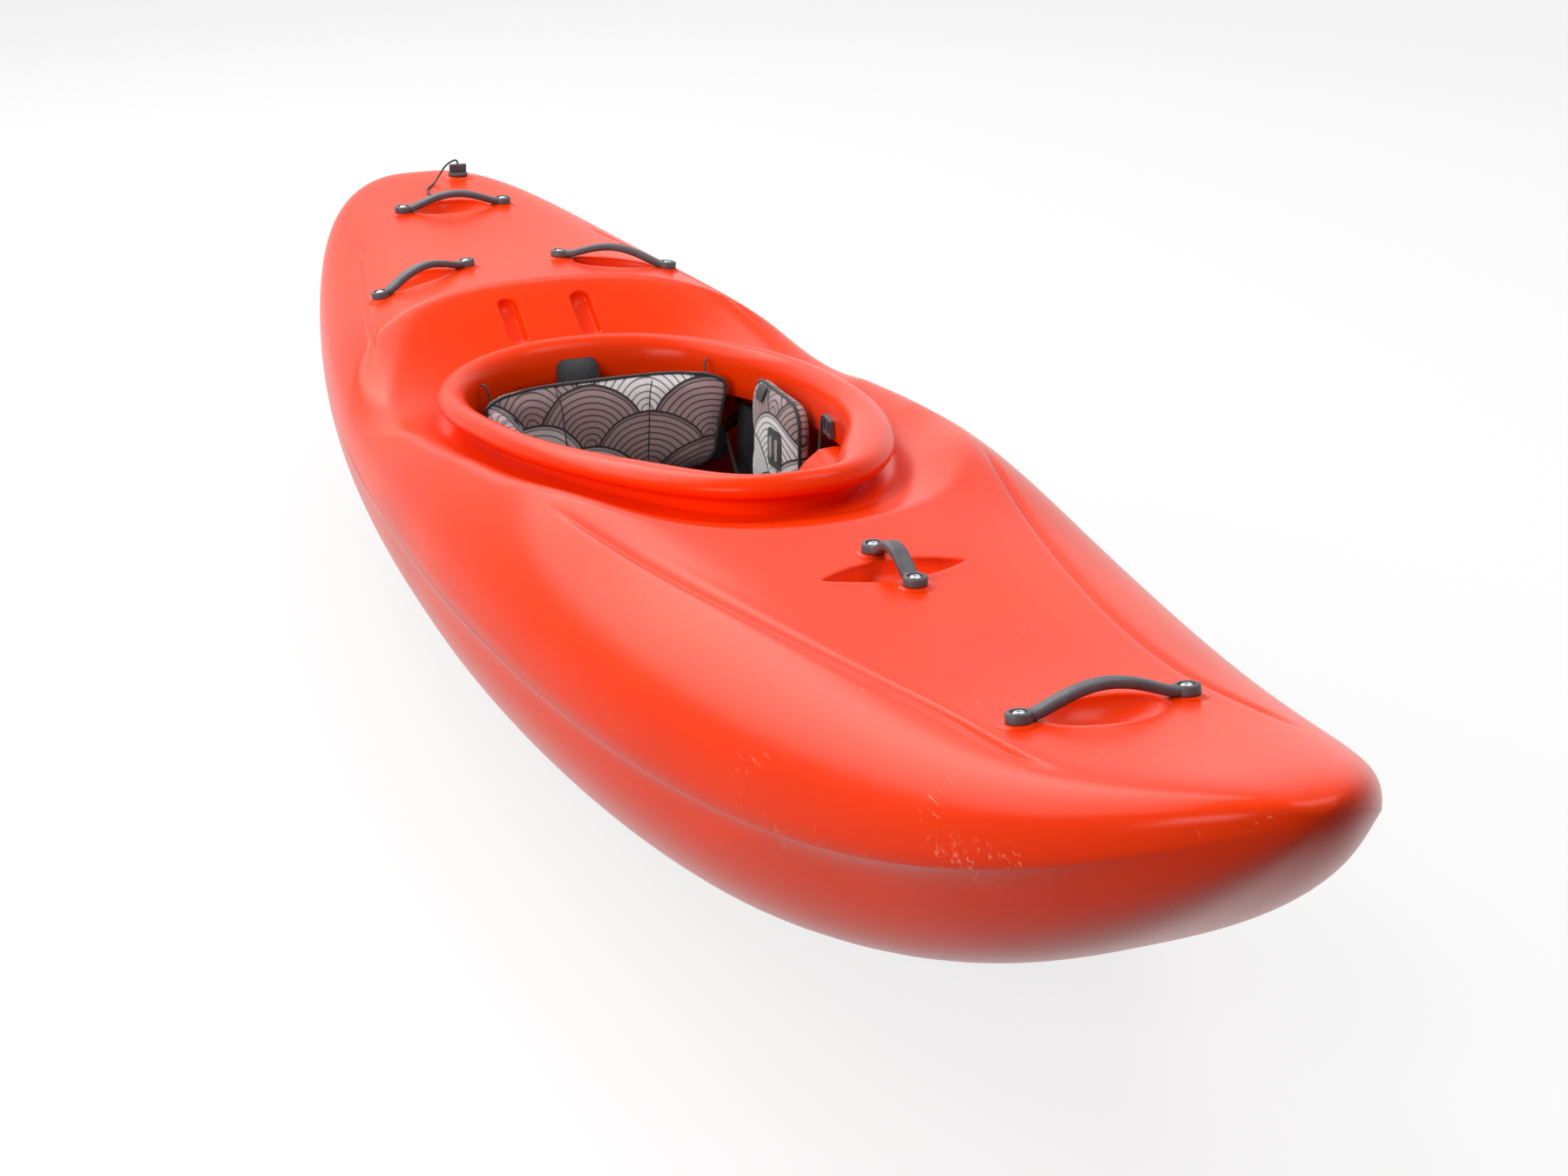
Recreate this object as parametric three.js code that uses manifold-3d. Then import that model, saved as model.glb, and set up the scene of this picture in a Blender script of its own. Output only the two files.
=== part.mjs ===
// A whitewater kayak: a moulded shell with a cockpit rim, carry handles and adjustable outfitting inside.
// Millimetres, X towards the bow, Y to the paddler's left, Z up, origin on the ground under the middle.
import * as THREE from 'three';
import Module from 'manifold-3d';
import { mergeVertices } from 'three/addons/utils/BufferGeometryUtils.js';

const wasm = await Module();
wasm.setup();

// Clearances shared by all pieces
const GAP = 0.3;
const OVERRUN = 20;

// Hull
const HULL_LENGTH = 2740;
const HULL_BEAM = 684;
const WIDEST_X = 24;
const WALL = 5;
const FLOOR_FLAT = 6;
const MID_SHEER_HEIGHT = 209;
const BOW_SHEER_HEIGHT = 438;
const STERN_SHEER_HEIGHT = 343;
const BOW_BOTTOM_RISE = 330;
const STERN_BOTTOM_RISE = 162;
const MID_CROWN = 146;
const BOW_CROWN = 107;
const STERN_CROWN = 38;
const HALF_LENGTH = HULL_LENGTH / 2;
const HALF_BEAM = HULL_BEAM / 2;

// How each end draws in: taper of the plan, its power, and how blunt the end is
const BOW_TAPER_SHARE = 0.66;
const BOW_TAPER_POWER = 1.8;
const BOW_BLUNT_POWER = 13;
const BOW_BLUNT_ROOT = 1.86;
const STERN_TAPER_SHARE = 0.615;
const STERN_TAPER_POWER = 2.26;
const STERN_BLUNT_POWER = 18;
const STERN_BLUNT_ROOT = 2.3;
const SHEER_POWER = 3.7;
const BOW_CLOSE_POWER = 3.6;
const STERN_CLOSE_POWER = 8.7;
const BILGE_Y_POWER = 0.656;
const BILGE_Z_POWER = 1.09;
const DECK_Z_POWER = 0.79;
const MID_DECK_Y_POWER = 0.64;
const BOW_DECK_Y_POWER = 0.49;
const STERN_DECK_Y_POWER = 0.51;

// Shoulder line of the deck: share of the half length, then share of the local half beam
const SHOULDER_SHARES = [
  [-1, 0.7], [-0.74, 0.72], [-0.56, 0.77], [-0.38, 0.83], [-0.28, 0.9], [-0.21, 0.91], [-0.07, 0.85],
  [0.16, 0.755], [0.27, 0.687], [0.45, 0.58], [0.61, 0.515], [0.72, 0.52], [0.85, 0.65], [1, 0.75],
];

// Knee humps in front of the cockpit and the low deck beside its rear half
const KNEE_HUMP_RISE = 20;
const KNEE_HUMP_X = 182;
const KNEE_HUMP_Y = 222;
const KNEE_HUMP_LENGTH = 190;
const KNEE_HUMP_WIDTH = 80;
const SIDE_DIP_DEPTH = 16;
const SIDE_DIP_X = -340;
const SIDE_DIP_Y = 296;
const SIDE_DIP_LENGTH = 220;
const SIDE_DIP_WIDTH = 80;

// Cockpit rim: outline of its outer edge, and its height along the boat
const RIM_X = -94;
const RIM_HALF_LENGTH = 444;
const RIM_HALF_WIDTH = 233;
const RIM_EGG_SHARE = 0.235;
const RIM_REAR_POWER = 0.915;
const RIM_FRONT_POWER = 0.84;
const RIM_HEIGHT = 340;
const RIM_PITCH_RISE = 39;
const RIM_PITCH_BEND = 15;
const RIM_SIDE_DROP = 24;
const RIM_ABOVE_DISH = 34;
const LIP_WIDTH = 38;
const LIP_CROWN = 13;
const LIP_BELOW = 15;
const NECK_DEPTH = 50;
const NECK_THICKNESS = 12;
const HOOK_REACH = 22;
const HOOK_TURN = 0.85;
const HOOK_SPREAD = 0.42;
const DISH_SIDE_WIDTH = 60;
const DISH_REAR_WIDTH = 150;
const DISH_FRONT_WIDTH = 84;
const DISH_POWER = 1.2;

// How finely the hull is cut into flats
const STATIONS = 38;
const BOTTOM_ROWS = 4;
const FLOOR_EDGE_TURN = 1.43;
const SIDE_ROWS = 3;
const DECK_ROWS = 5;
const RIM_STEPS = 30;

// Recesses moulded in the deck behind the cockpit, and notches in the rim's rear inner wall
const SLOT_BEHIND_RIM = 82;
const SLOT_X = RIM_X - RIM_HALF_LENGTH - SLOT_BEHIND_RIM;
const SLOT_Y = 51;
const SLOT_LENGTH = 78;
const SLOT_WIDTH = 24;
const SLOT_DEPTH = 13;
const SLOT_PITCH = 0.56;
const NOTCH_Y = 27;
const NOTCH_WIDTH = 12;
const NOTCH_LENGTH = 26;
const NOTCH_DEPTH = 6;

// Carry handles
const HANDLE_SPAN = 154;
const CENTER_HANDLE_SPAN = 105;
const HANDLE_BAR_WIDTH = 13;
const HANDLE_BAR_THICKNESS = 10;
const HANDLE_RISE = 21;
const HANDLE_PAD_RADIUS = 12;
const HANDLE_PAD_HEIGHT = 9;
const HANDLE_RECESS_RADIUS = 7.5;
const HANDLE_RECESS_DEPTH = 3.5;
const BOSS_RADIUS = 14;
const BOSS_DEPTH = 26;
const BOSS_PROUD = 1.5;
const SCOOP_DEPTH = 22;
const SCOOP_REACH = 44;
const CENTER_SCOOP_LENGTH = 150;
const CENTER_SCOOP_WIDTH = 56;

// Bolts
const BOLT_RADIUS = 3;
const BOLT_HEAD_RADIUS = 6;
const BOLT_HEAD_HEIGHT = 3.5;
const HANDLE_BOLT_LENGTH = 22;

// Where the handles stand: middle of each on the deck, and how it is turned
const BOW_HANDLE_SHARE = 0.7511;
const CENTER_HANDLE_SHARE = 0.4248;
const STERN_HANDLE_SHARE = -0.8277;
const SIDE_HANDLE_SHARE = -0.5577;
const BOW_HANDLE_X = HALF_LENGTH * BOW_HANDLE_SHARE;
const CENTER_HANDLE_X = HALF_LENGTH * CENTER_HANDLE_SHARE;
const STERN_HANDLE_X = HALF_LENGTH * STERN_HANDLE_SHARE;
const SIDE_HANDLE_X = HALF_LENGTH * SIDE_HANDLE_SHARE;
const SIDE_HANDLE_Y = 136;
const SIDE_HANDLE_TURN = 0.455;

// Drain plug and its cord
const PLUG_SHARE = -0.9533;
const PLUG_X = HALF_LENGTH * PLUG_SHARE;
const PLUG_Y = 52;
const PLUG_HEAD_RADIUS = 15;
const PLUG_HEAD_HEIGHT = 9;
const PLUG_GRIP_WIDTH = 7;
const PLUG_GRIP_HEIGHT = 9;
const PLUG_STEM_RADIUS = 9;
const PLUG_STEM_LENGTH = 16;
const PLUG_COLLAR_RADIUS = 19;
const CORD_DIAMETER = 3;

// Seat
const SEAT_BEHIND_RIM_MIDDLE = 306;
const SEAT_REAR_X = RIM_X - SEAT_BEHIND_RIM_MIDDLE;
const SEAT_LENGTH = 380;
const SEAT_RIM_CLEARANCE = 3;
const NECK_INSET = 3;
const SEAT_HALF_WIDTH = RIM_HALF_WIDTH - LIP_WIDTH - NECK_INSET - SEAT_RIM_CLEARANCE;
const SEAT_HEIGHT = 62;
const SEAT_FRONT_RISE = 24;
const SEAT_WING_HEIGHT = 162;
const SEAT_FRONT_WING_HEIGHT = 44;
const SEAT_THICKNESS = 5;
const SEAT_FOOT_Y = 110;
const SEAT_FOOT_WIDTH = 26;
const SEAT_FOOT_LENGTH = 170;
const SEAT_SLIDE_TRAVEL = 30;
const RAIL_WIDTH = 34;
const RAIL_HEIGHT = 38;
const SEAT_BOLT_SPACING = 110;
const SEAT_PAD_THICKNESS = 18;

// Hip pads, which stand on the seat's wings
const HIP_PAD_AHEAD_OF_SEAT = 212;
const HIP_PAD_X = SEAT_REAR_X + HIP_PAD_AHEAD_OF_SEAT;
const HIP_PAD_LENGTH = 150;
const HIP_PAD_BELOW_RIM = 44;
const HIP_PAD_HEIGHT = 162;
const HIP_PAD_TOP = RIM_HEIGHT - HIP_PAD_BELOW_RIM;
const HIP_PAD_BOTTOM = HIP_PAD_TOP - HIP_PAD_HEIGHT;
const HIP_PAD_THICKNESS = 30;

// Backband
const BACKBAND_AHEAD_OF_SEAT = 55;
const BACKBAND_SIDE_CLEARANCE = 17;
const BACKBAND_BELOW_RIM = 56;
const BACKBAND_HEIGHT = 142;
const BACKBAND_X = SEAT_REAR_X + BACKBAND_AHEAD_OF_SEAT;
const BACKBAND_WIDTH = 2 * (RIM_HALF_WIDTH - LIP_WIDTH - NECK_INSET - BACKBAND_SIDE_CLEARANCE);
const BACKBAND_TOP = RIM_HEIGHT - BACKBAND_BELOW_RIM;
const BACKBAND_BOTTOM = BACKBAND_TOP - BACKBAND_HEIGHT;
const BACKBAND_THICKNESS = 26;
const BACKBAND_SHELL_GAP = 1.2;
const BACKBAND_STAND = BACKBAND_THICKNESS / 2 + BACKBAND_SHELL_GAP;
const BACKBAND_BOW = 40;
const BACKBAND_LEAN = 10;
const STRAP_WIDTH = 20;
const STRAP_THICKNESS = 2.5;

// Thigh braces under the front of the rim
const BRACE_AHEAD_OF_RIM_MIDDLE = 56;
const BRACE_REAR_X = RIM_X + BRACE_AHEAD_OF_RIM_MIDDLE;
const BRACE_LENGTH = 258;
const BRACE_INNER_SHARE = 0.55;
const BRACE_INNER_Y = RIM_HALF_WIDTH * BRACE_INNER_SHARE;
const BRACE_WIDTH = 122;
const BRACE_THICKNESS = 5;
const BRACE_HOOK_DROP = 34;
const BRACE_TRAVEL = 25;

// Foam walls that hold the deck up, and the foot plates ahead of the paddler
const PILLAR_THICKNESS = 56;
const PILLAR_REACH_SHARE = 0.865;
const PILLAR_NOSE_REACH = 76;
const PILLAR_BELOW_RIM = 10;
const BOW_PILLAR_BEHIND_FEET = 170;
const STERN_PILLAR_FRONT_X = RIM_X - RIM_HALF_LENGTH + PILLAR_NOSE_REACH;
const STERN_PILLAR_REAR_X = -HALF_LENGTH * PILLAR_REACH_SHARE;
const STERN_PILLAR_LIP_HEIGHT = RIM_HEIGHT - RIM_PITCH_RISE - RIM_PITCH_BEND - PILLAR_BELOW_RIM;
const BOW_PILLAR_FRONT_X = HALF_LENGTH * PILLAR_REACH_SHARE;
const PILLAR_NOSE_RADIUS = 40;
const FOOT_PLATE_SHARE = 0.4672;
const FOOT_PLATE_X = HALF_LENGTH * FOOT_PLATE_SHARE;
const BOW_PILLAR_REAR_X = FOOT_PLATE_X - BOW_PILLAR_BEHIND_FEET;
const FOOT_PLATE_THICKNESS = 6;
const FOOT_PLATE_LEAN = 0.3;
const FOOT_PLATE_HEIGHT = 170;
const FOOT_PAD_THICKNESS = 14;
const FOOT_TRAVEL = 60;

// Details of the rim, the seat, the braces and the foot plates
const MERGE_DISTANCE = 0.001;
const NOTCH_PITCH = 0.6;
const SCOOP_OVERLAP = 3;
const SCOOP_LIFT = 8;
const SLOPE_REACH = 20;
const SEAT_REAR_LIP = 26;
const HIP_PAD_CLEARANCE = 1.2;
const HIP_PAD_NECK_CLEARANCE = 4.4;
const HIP_PAD_BACK_Y = RIM_HALF_WIDTH - LIP_WIDTH - NECK_INSET - HIP_PAD_NECK_CLEARANCE;
const SEAT_FOOT_INSET = 60;
const SEAT_BOLT_LENGTH = 40;
const SEAT_PAD_LENGTH = 230;
const SEAT_PAD_WIDTH = 190;
const RAIL_END = 10;
const BACKBAND_PIVOT_ABOVE = 34;
const BACKBAND_PIVOT_HEIGHT = BACKBAND_BOTTOM + BACKBAND_PIVOT_ABOVE;
const BACKBAND_NARROW_SHARE = 0.17;
const BACKBAND_SHELL_MARGIN = 8;
const BACKBAND_SHELL_THICKNESS = 3;
const BACKBAND_EAR_INSET = 12;
const BACKBAND_EAR_Y = BACKBAND_WIDTH / 2 - BACKBAND_EAR_INSET;
const BACKBAND_EAR_THICKNESS = 5;
const BACKBAND_EAR_HEIGHT = 44;
const ADJUSTER_DIAMETER = 4;
const HANGER_TURN = 2.42;
const HANGER_DROP = 14;
const STRAP_ANCHOR_BEHIND = 200;
const STRAP_ANCHOR_X = SEAT_REAR_X - STRAP_ANCHOR_BEHIND;

const BRACE_BOLT_TURNS = [0.95, 1.35];
const BRACE_BOLT_GRIP = 20;
const BRACE_CLEARANCE = 3;
const BRACE_HEAD_CLEARANCE = 2.6;
const BRACE_SWEEP = 22;
const BRACE_LIP_START_SHARE = 0.35;
const BRACE_HOOK_LENGTH_SHARE = 0.667;
const BRACE_HOOK_POWER = 1.5;
const BRACE_WALL_CLEARANCE = 6;
const BRACE_PAD_OUT = 32;
const BRACE_PAD_LENGTH = 170;
const BRACE_PAD_WIDTH = 56;
const BRACE_PAD_THICKNESS = 10;
const FOOT_PLATE_LOW_Z = 98;
const FOOT_PLATE_INNER_Y = 36;
const FOOT_PLATE_LAP = 6;
const FOOT_PAD_MARGIN = 14;
const FOOT_RAIL_BEAM_SHARE = 0.7395;
const FOOT_RAIL_Z = 150;
const FOOT_RAIL_THICKNESS = 8;
const FOOT_RAIL_HEIGHT = 26;
const FOOT_BRACKET_LENGTH = 22;
const FOOT_CARRIAGE_LENGTH = 60;
const FOOT_CARRIAGE_WIDTH = 50;
const FOOT_BOLT_FORWARD = 18;
const FOOT_BOLT_LENGTH = 62;
const BUCKLE_TURN = 1.5;
const BUCKLE_LENGTH = 34;
const BUCKLE_HEIGHT = 22;
const BUCKLE_THICKNESS = 6;
const BUCKLE_DROP = 32;
const BUCKLE_BAR = 5;

// Shapes given as shares
const DISH_REAR_FACING_SHARES = [-0.35, -1];
const DISH_FRONT_FACING_SHARES = [0.2, 0.8];
const HANDLE_FOOT_SHARE = 0.62;
const HANDLE_TOP_SHARE = 0.69;
const BOLT_DOME_SHARE = 0.72;
const PLUG_GRIP_SHARE = 0.9;
const SEAT_RISE_SHARE = 0.6;
const SEAT_LIP_SHARE = 0.13;
const SEAT_WING_FADE_SHARES = [0.6, 0.92];
const SEAT_SIDE_POWER = 2.6;
const SEAT_WING_POWER = 4;
const SEAT_EDGE_POWER = 3;
const SEAT_PAD_MIDDLE_SHARE = 0.52;

// Outlines given as shares, and how finely the small pieces are cut into flats
const LIP_SHARES = [
  [0, 0], [-0.08, 0.6], [-0.3, 1], [-0.62, 0.92], [-0.88, 0.4], [-1, -0.5], [-0.93, -1],
];
const CUSHION_PROFILE_SHARES = [[0.55, 0.97], [0.84, 0.84], [0.97, 0.5], [1, 0.3], [0.93, 0]];
const CUSHION_FRONT_SHARE = 1;
const CUSHION_CORNER_POWER = 0.42;
const BACKBAND_CORNER_POWER = 0.36;
const CUSHION_DRAW_SHARE = 0.035;
const CUSHION_SIDES = 24;
const ROUND_SIDES = 12;
const SCOOP_SIDES = 12;
const SLOT_SEGMENTS = 4;
const BOLT_SIDES = 6;
const HANDLE_SEGMENTS = 3;
const SEAT_COLUMNS = 9;
const SEAT_ROWS = 14;
const STRAP_STEPS = 10;
const BACKBAND_COLUMNS = 4;
const BACKBAND_ROWS = 12;
const FOOT_PLATE_STEPS = 2;
const BRACE_COLUMNS = 6;
const BRACE_ROWS = 7;
const PILLAR_SEGMENTS = 6;
const CORD_SEGMENTS = 3;
const CORD_STEP_SHARE = 4;
const CORD_MOST_STEPS = 60;

function smooth(from, to, value) {
  const t = Math.min(Math.max((value - from) / (to - from), 0), 1);
  return t * t * (3 - 2 * t);
}

function bell(distance, width) {
  return Math.exp(-((distance / width) ** 2));
}

// Reads a smooth curve through pairs of [place, value]
function readCurve(pairs, place) {
  let i = 0;
  while (i < pairs.length - 2 && place > pairs[i + 1][0]) i += 1;
  const [x0, y0] = pairs[i];
  const [x1, y1] = pairs[i + 1];
  const slope = (j) => {
    const a = pairs[Math.max(j - 1, 0)];
    const b = pairs[Math.min(j + 1, pairs.length - 1)];
    return (b[1] - a[1]) / (b[0] - a[0]);
  };
  const span = x1 - x0;
  const t = Math.min(Math.max((place - x0) / span, 0), 1);
  const t2 = t * t;
  const t3 = t2 * t;
  return (2 * t3 - 3 * t2 + 1) * y0 + (t3 - 2 * t2 + t) * span * slope(i)
    + (3 * t2 - 2 * t3) * y1 + (t3 - t2) * span * slope(i + 1);
}

// Section of the hull at x: half beam, sheer height, depth below the sheer, crown above it
function section(x, inset) {
  const bow = x > WIDEST_X;
  const reach = bow ? HALF_LENGTH - WIDEST_X - inset : HALF_LENGTH + WIDEST_X - inset;
  const u = Math.min(Math.abs(x - WIDEST_X) / reach, 1);
  const taper = bow ? BOW_TAPER_SHARE * u ** BOW_TAPER_POWER : STERN_TAPER_SHARE * u ** STERN_TAPER_POWER;
  const blunt = bow
    ? (1 - u ** BOW_BLUNT_POWER) ** (1 / BOW_BLUNT_ROOT)
    : (1 - u ** STERN_BLUNT_POWER) ** (1 / STERN_BLUNT_ROOT);
  const close = Math.sqrt(1 - u ** (bow ? BOW_CLOSE_POWER : STERN_CLOSE_POWER));
  const endSheer = bow ? BOW_SHEER_HEIGHT : STERN_SHEER_HEIGHT;
  const endRise = bow ? BOW_BOTTOM_RISE : STERN_BOTTOM_RISE;
  const midDepth = MID_SHEER_HEIGHT + FLOOR_FLAT;
  const endCrown = bow ? BOW_CROWN : STERN_CROWN;
  const endPower = bow ? BOW_DECK_Y_POWER : STERN_DECK_Y_POWER;
  return {
    beam: (HALF_BEAM * (1 - taper) - inset) * blunt,
    sheer: MID_SHEER_HEIGHT + (endSheer - MID_SHEER_HEIGHT) * u ** SHEER_POWER,
    depth: (midDepth + (endSheer - endRise - midDepth) * u * u - inset) * close,
    crown: (MID_CROWN + (endCrown - MID_CROWN) * u * u - inset) * close,
    deckPower: MID_DECK_Y_POWER + (endPower - MID_DECK_Y_POWER) * u * u,
    shoulderShare: readCurve(SHOULDER_SHARES, x / HALF_LENGTH),
  };
}

// Outline of the rim's outer edge at a turn round the cockpit, zero at the front, moved outwards by grow
function rimOutline(turn, grow) {
  const c = Math.cos(turn);
  const s = Math.sin(turn);
  const power = RIM_REAR_POWER + (RIM_FRONT_POWER - RIM_REAR_POWER) * ((1 + c) / 2) ** 2;
  const across = Math.sign(s) * Math.abs(s) ** power;
  const along = Math.sign(c) * Math.abs(c) ** power;
  return new THREE.Vector2(
    RIM_X + (RIM_HALF_LENGTH + grow) * along,
    (RIM_HALF_WIDTH + grow) * across * (1 - RIM_EGG_SHARE * c),
  );
}

// Unit direction of the rim's outline at a turn
function rimTangent(turn) {
  const step = Math.PI / RIM_STEPS / 2;
  return rimOutline(turn + step, 0).sub(rimOutline(turn - step, 0)).normalize();
}

function rimHeight(x, y) {
  const u = (x - RIM_X) / RIM_HALF_LENGTH;
  const sideDrop = RIM_SIDE_DROP * (y / RIM_HALF_WIDTH) ** 2;
  return RIM_HEIGHT + RIM_PITCH_RISE * u - RIM_PITCH_BEND * u * u - sideDrop;
}

const rimPoints = Array.from({ length: RIM_STEPS * 2 }, (_, i) => rimOutline((Math.PI * i) / RIM_STEPS, 0));

// Distance outside the rim's outline, zero inside it
function outsideRim(x, y) {
  let nearest = Infinity;
  let inside = false;
  rimPoints.forEach((a, i) => {
    const b = rimPoints[(i + 1) % rimPoints.length];
    const along = b.clone().sub(a);
    const t = ((x - a.x) * along.x + (y - a.y) * along.y) / along.lengthSq();
    const clamped = Math.min(Math.max(t, 0), 1);
    nearest = Math.min(nearest, Math.hypot(x - a.x - along.x * clamped, y - a.y - along.y * clamped));
    const crosses = a.y > y !== b.y > y && x < a.x + ((y - a.y) * along.x) / along.y;
    if (crosses) inside = !inside;
  });
  return inside ? 0 : nearest;
}

// Deck height after the knee humps, the side dips and the dish around the cockpit
function shapeDeck(x, y, z, inset) {
  const side = Math.abs(y);
  let height = z;
  const hump = bell(x - KNEE_HUMP_X, KNEE_HUMP_LENGTH) * bell(side - KNEE_HUMP_Y, KNEE_HUMP_WIDTH);
  const dip = bell(x - SIDE_DIP_X, SIDE_DIP_LENGTH) * bell(side - SIDE_DIP_Y, SIDE_DIP_WIDTH);
  height += KNEE_HUMP_RISE * hump - SIDE_DIP_DEPTH * dip;
  const facing = (x - RIM_X) / Math.hypot(x - RIM_X, y, 1);
  const width = DISH_SIDE_WIDTH
    + (DISH_REAR_WIDTH - DISH_SIDE_WIDTH) * smooth(...DISH_REAR_FACING_SHARES, facing)
    + (DISH_FRONT_WIDTH - DISH_SIDE_WIDTH) * smooth(...DISH_FRONT_FACING_SHARES, facing);
  const away = Math.min(outsideRim(x, y) / width, 1);
  const floor = rimHeight(x, y) - RIM_ABOVE_DISH - inset;
  const share = Math.min(floor - height, 0) * (1 - away) ** DISH_POWER;
  return height + share;
}

// Half section from the keel over the sheer and the shoulder to the middle of the deck
function halfSection(x, inset) {
  const s = section(x, inset);
  const points = [];
  for (let i = -1; i <= BOTTOM_ROWS; i += 1) {
    const angle = i === 0 ? FLOOR_EDGE_TURN : (Math.PI / 2) * (1 - Math.max(i, 0) / BOTTOM_ROWS);
    const y = i < 0 ? 0 : s.beam * Math.cos(angle) ** BILGE_Y_POWER;
    const z = s.sheer - s.depth * Math.sin(angle) ** BILGE_Z_POWER;
    points.push([y, Math.max(z, inset)]);
  }
  const shoulder = Math.acos(s.shoulderShare ** (1 / s.deckPower));
  for (let i = 1; i <= SIDE_ROWS + DECK_ROWS; i += 1) {
    const last = i === SIDE_ROWS + DECK_ROWS;
    const angle = i <= SIDE_ROWS
      ? (shoulder * i) / SIDE_ROWS
      : shoulder + ((Math.PI / 2 - shoulder) * (i - SIDE_ROWS)) / DECK_ROWS;
    const y = last ? 0 : s.beam * Math.cos(angle) ** s.deckPower;
    const z = s.sheer + s.crown * Math.sin(angle) ** DECK_Z_POWER;
    points.push([y, shapeDeck(x, y, z, inset)]);
  }
  return points;
}

function stationPlaces(inset) {
  const places = [];
  for (let i = 1; i < STATIONS; i += 1) {
    const t = Math.sin((Math.PI / 2) * (-1 + (2 * i) / STATIONS));
    const side = Math.sign(t) * WIDEST_X;
    places.push(WIDEST_X + t * (HALF_LENGTH - inset - side));
  }
  return places;
}

// Closed surface of the hull, drawn in by inset
function hullGeometry(inset) {
  const positions = [];
  const indices = [];
  const rings = stationPlaces(inset).map((x) => {
    const half = halfSection(x, inset);
    const other = half.slice(1, -1).reverse().map(([y, z]) => [-y, z]);
    return [...half, ...other].map(([y, z]) => {
      positions.push(x, y, z);
      return positions.length / 3 - 1;
    });
  });
  const around = rings[0].length;
  for (let i = 0; i + 1 < rings.length; i += 1) {
    for (let j = 0; j < around; j += 1) {
      const k = (j + 1) % around;
      indices.push(rings[i][j], rings[i + 1][k], rings[i + 1][j]);
      indices.push(rings[i][j], rings[i][k], rings[i + 1][k]);
    }
  }
  const tip = (x, height, ring, forward) => {
    positions.push(x, 0, height);
    const centre = positions.length / 3 - 1;
    for (let j = 0; j < around; j += 1) {
      const k = (j + 1) % around;
      indices.push(centre, ring[forward ? j : k], ring[forward ? k : j]);
    }
  };
  tip(-HALF_LENGTH + inset, STERN_SHEER_HEIGHT, rings[0], false);
  tip(HALF_LENGTH - inset, BOW_SHEER_HEIGHT, rings.at(-1), true);
  return buffer(positions, indices);
}

function buffer(positions, indices) {
  const geometry = new THREE.BufferGeometry();
  geometry.setAttribute('position', new THREE.Float32BufferAttribute(positions, 3));
  geometry.setIndex(indices);
  return geometry;
}

// Turns a closed geometry into a solid that can be joined and cut
function solid(geometry) {
  const bare = geometry.clone();
  bare.deleteAttribute('normal');
  bare.deleteAttribute('uv');
  const merged = mergeVertices(bare, MERGE_DISTANCE);
  return new wasm.Manifold(new wasm.Mesh({
    numProp: 3,
    vertProperties: new Float32Array(merged.attributes.position.array),
    triVerts: new Uint32Array(merged.index.array),
  }));
}

function geometryOf(body) {
  const { vertProperties, triVerts } = body.getMesh();
  return buffer(Array.from(vertProperties), Array.from(triVerts));
}

// Closed ring made by carrying a section round the cockpit: the section gives [outward, up] for a turn
function rimRing(sectionAt) {
  const positions = [];
  const indices = [];
  const count = RIM_STEPS * 2;
  let size = 0;
  for (let i = 0; i < count; i += 1) {
    const turn = (Math.PI * i) / RIM_STEPS;
    const here = rimOutline(turn, 0);
    const tangent = rimTangent(turn);
    const height = rimHeight(here.x, here.y);
    const points = sectionAt(turn);
    size = points.length;
    points.forEach(([out, up]) => {
      positions.push(here.x + tangent.y * out, here.y - tangent.x * out, height + up);
    });
  }
  for (let i = 0; i < count; i += 1) {
    const next = (i + 1) % count;
    for (let j = 0; j < size; j += 1) {
      const k = (j + 1) % size;
      indices.push(i * size + j, next * size + j, next * size + k);
      indices.push(i * size + j, next * size + k, i * size + k);
    }
  }
  return buffer(positions, indices);
}

// Height of the bare deck over a point of the plan
function deckHeight(x, y, inset = 0) {
  const s = section(x, inset);
  const c = Math.min(Math.abs(y) / s.beam, 1) ** (1 / s.deckPower);
  return shapeDeck(x, y, s.sheer + s.crown * (1 - c * c) ** (DECK_Z_POWER / 2), inset);
}

// Small solids and their placing
function box([x0, x1], [y0, y1], [z0, z1]) {
  const geometry = new THREE.BoxGeometry(x1 - x0, y1 - y0, z1 - z0);
  return geometry.translate((x0 + x1) / 2, (y0 + y1) / 2, (z0 + z1) / 2);
}

function cylinder(radius, from, to, sides = ROUND_SIDES) {
  const geometry = new THREE.CylinderGeometry(radius, radius, to - from, sides);
  return geometry.rotateX(Math.PI / 2).translate(0, 0, (from + to) / 2);
}

function ellipsoid(along, across, up) {
  const ball = new THREE.SphereGeometry(1, SCOOP_SIDES, SCOOP_SIDES / 2);
  return ball.rotateX(Math.PI / 2).scale(along, across, up);
}

// Flat-topped slab with round ends, lying along X, its top at zero
function stadium(length, width, depth) {
  const shape = new THREE.Shape();
  const straight = (length - width) / 2;
  shape.absarc(straight, 0, width / 2, -Math.PI / 2, Math.PI / 2);
  shape.absarc(-straight, 0, width / 2, Math.PI / 2, (3 * Math.PI) / 2);
  shape.closePath();
  const slab = new THREE.ExtrudeGeometry(shape, { depth, bevelEnabled: false, curveSegments: SLOT_SEGMENTS });
  return slab.translate(0, 0, -depth);
}

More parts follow.
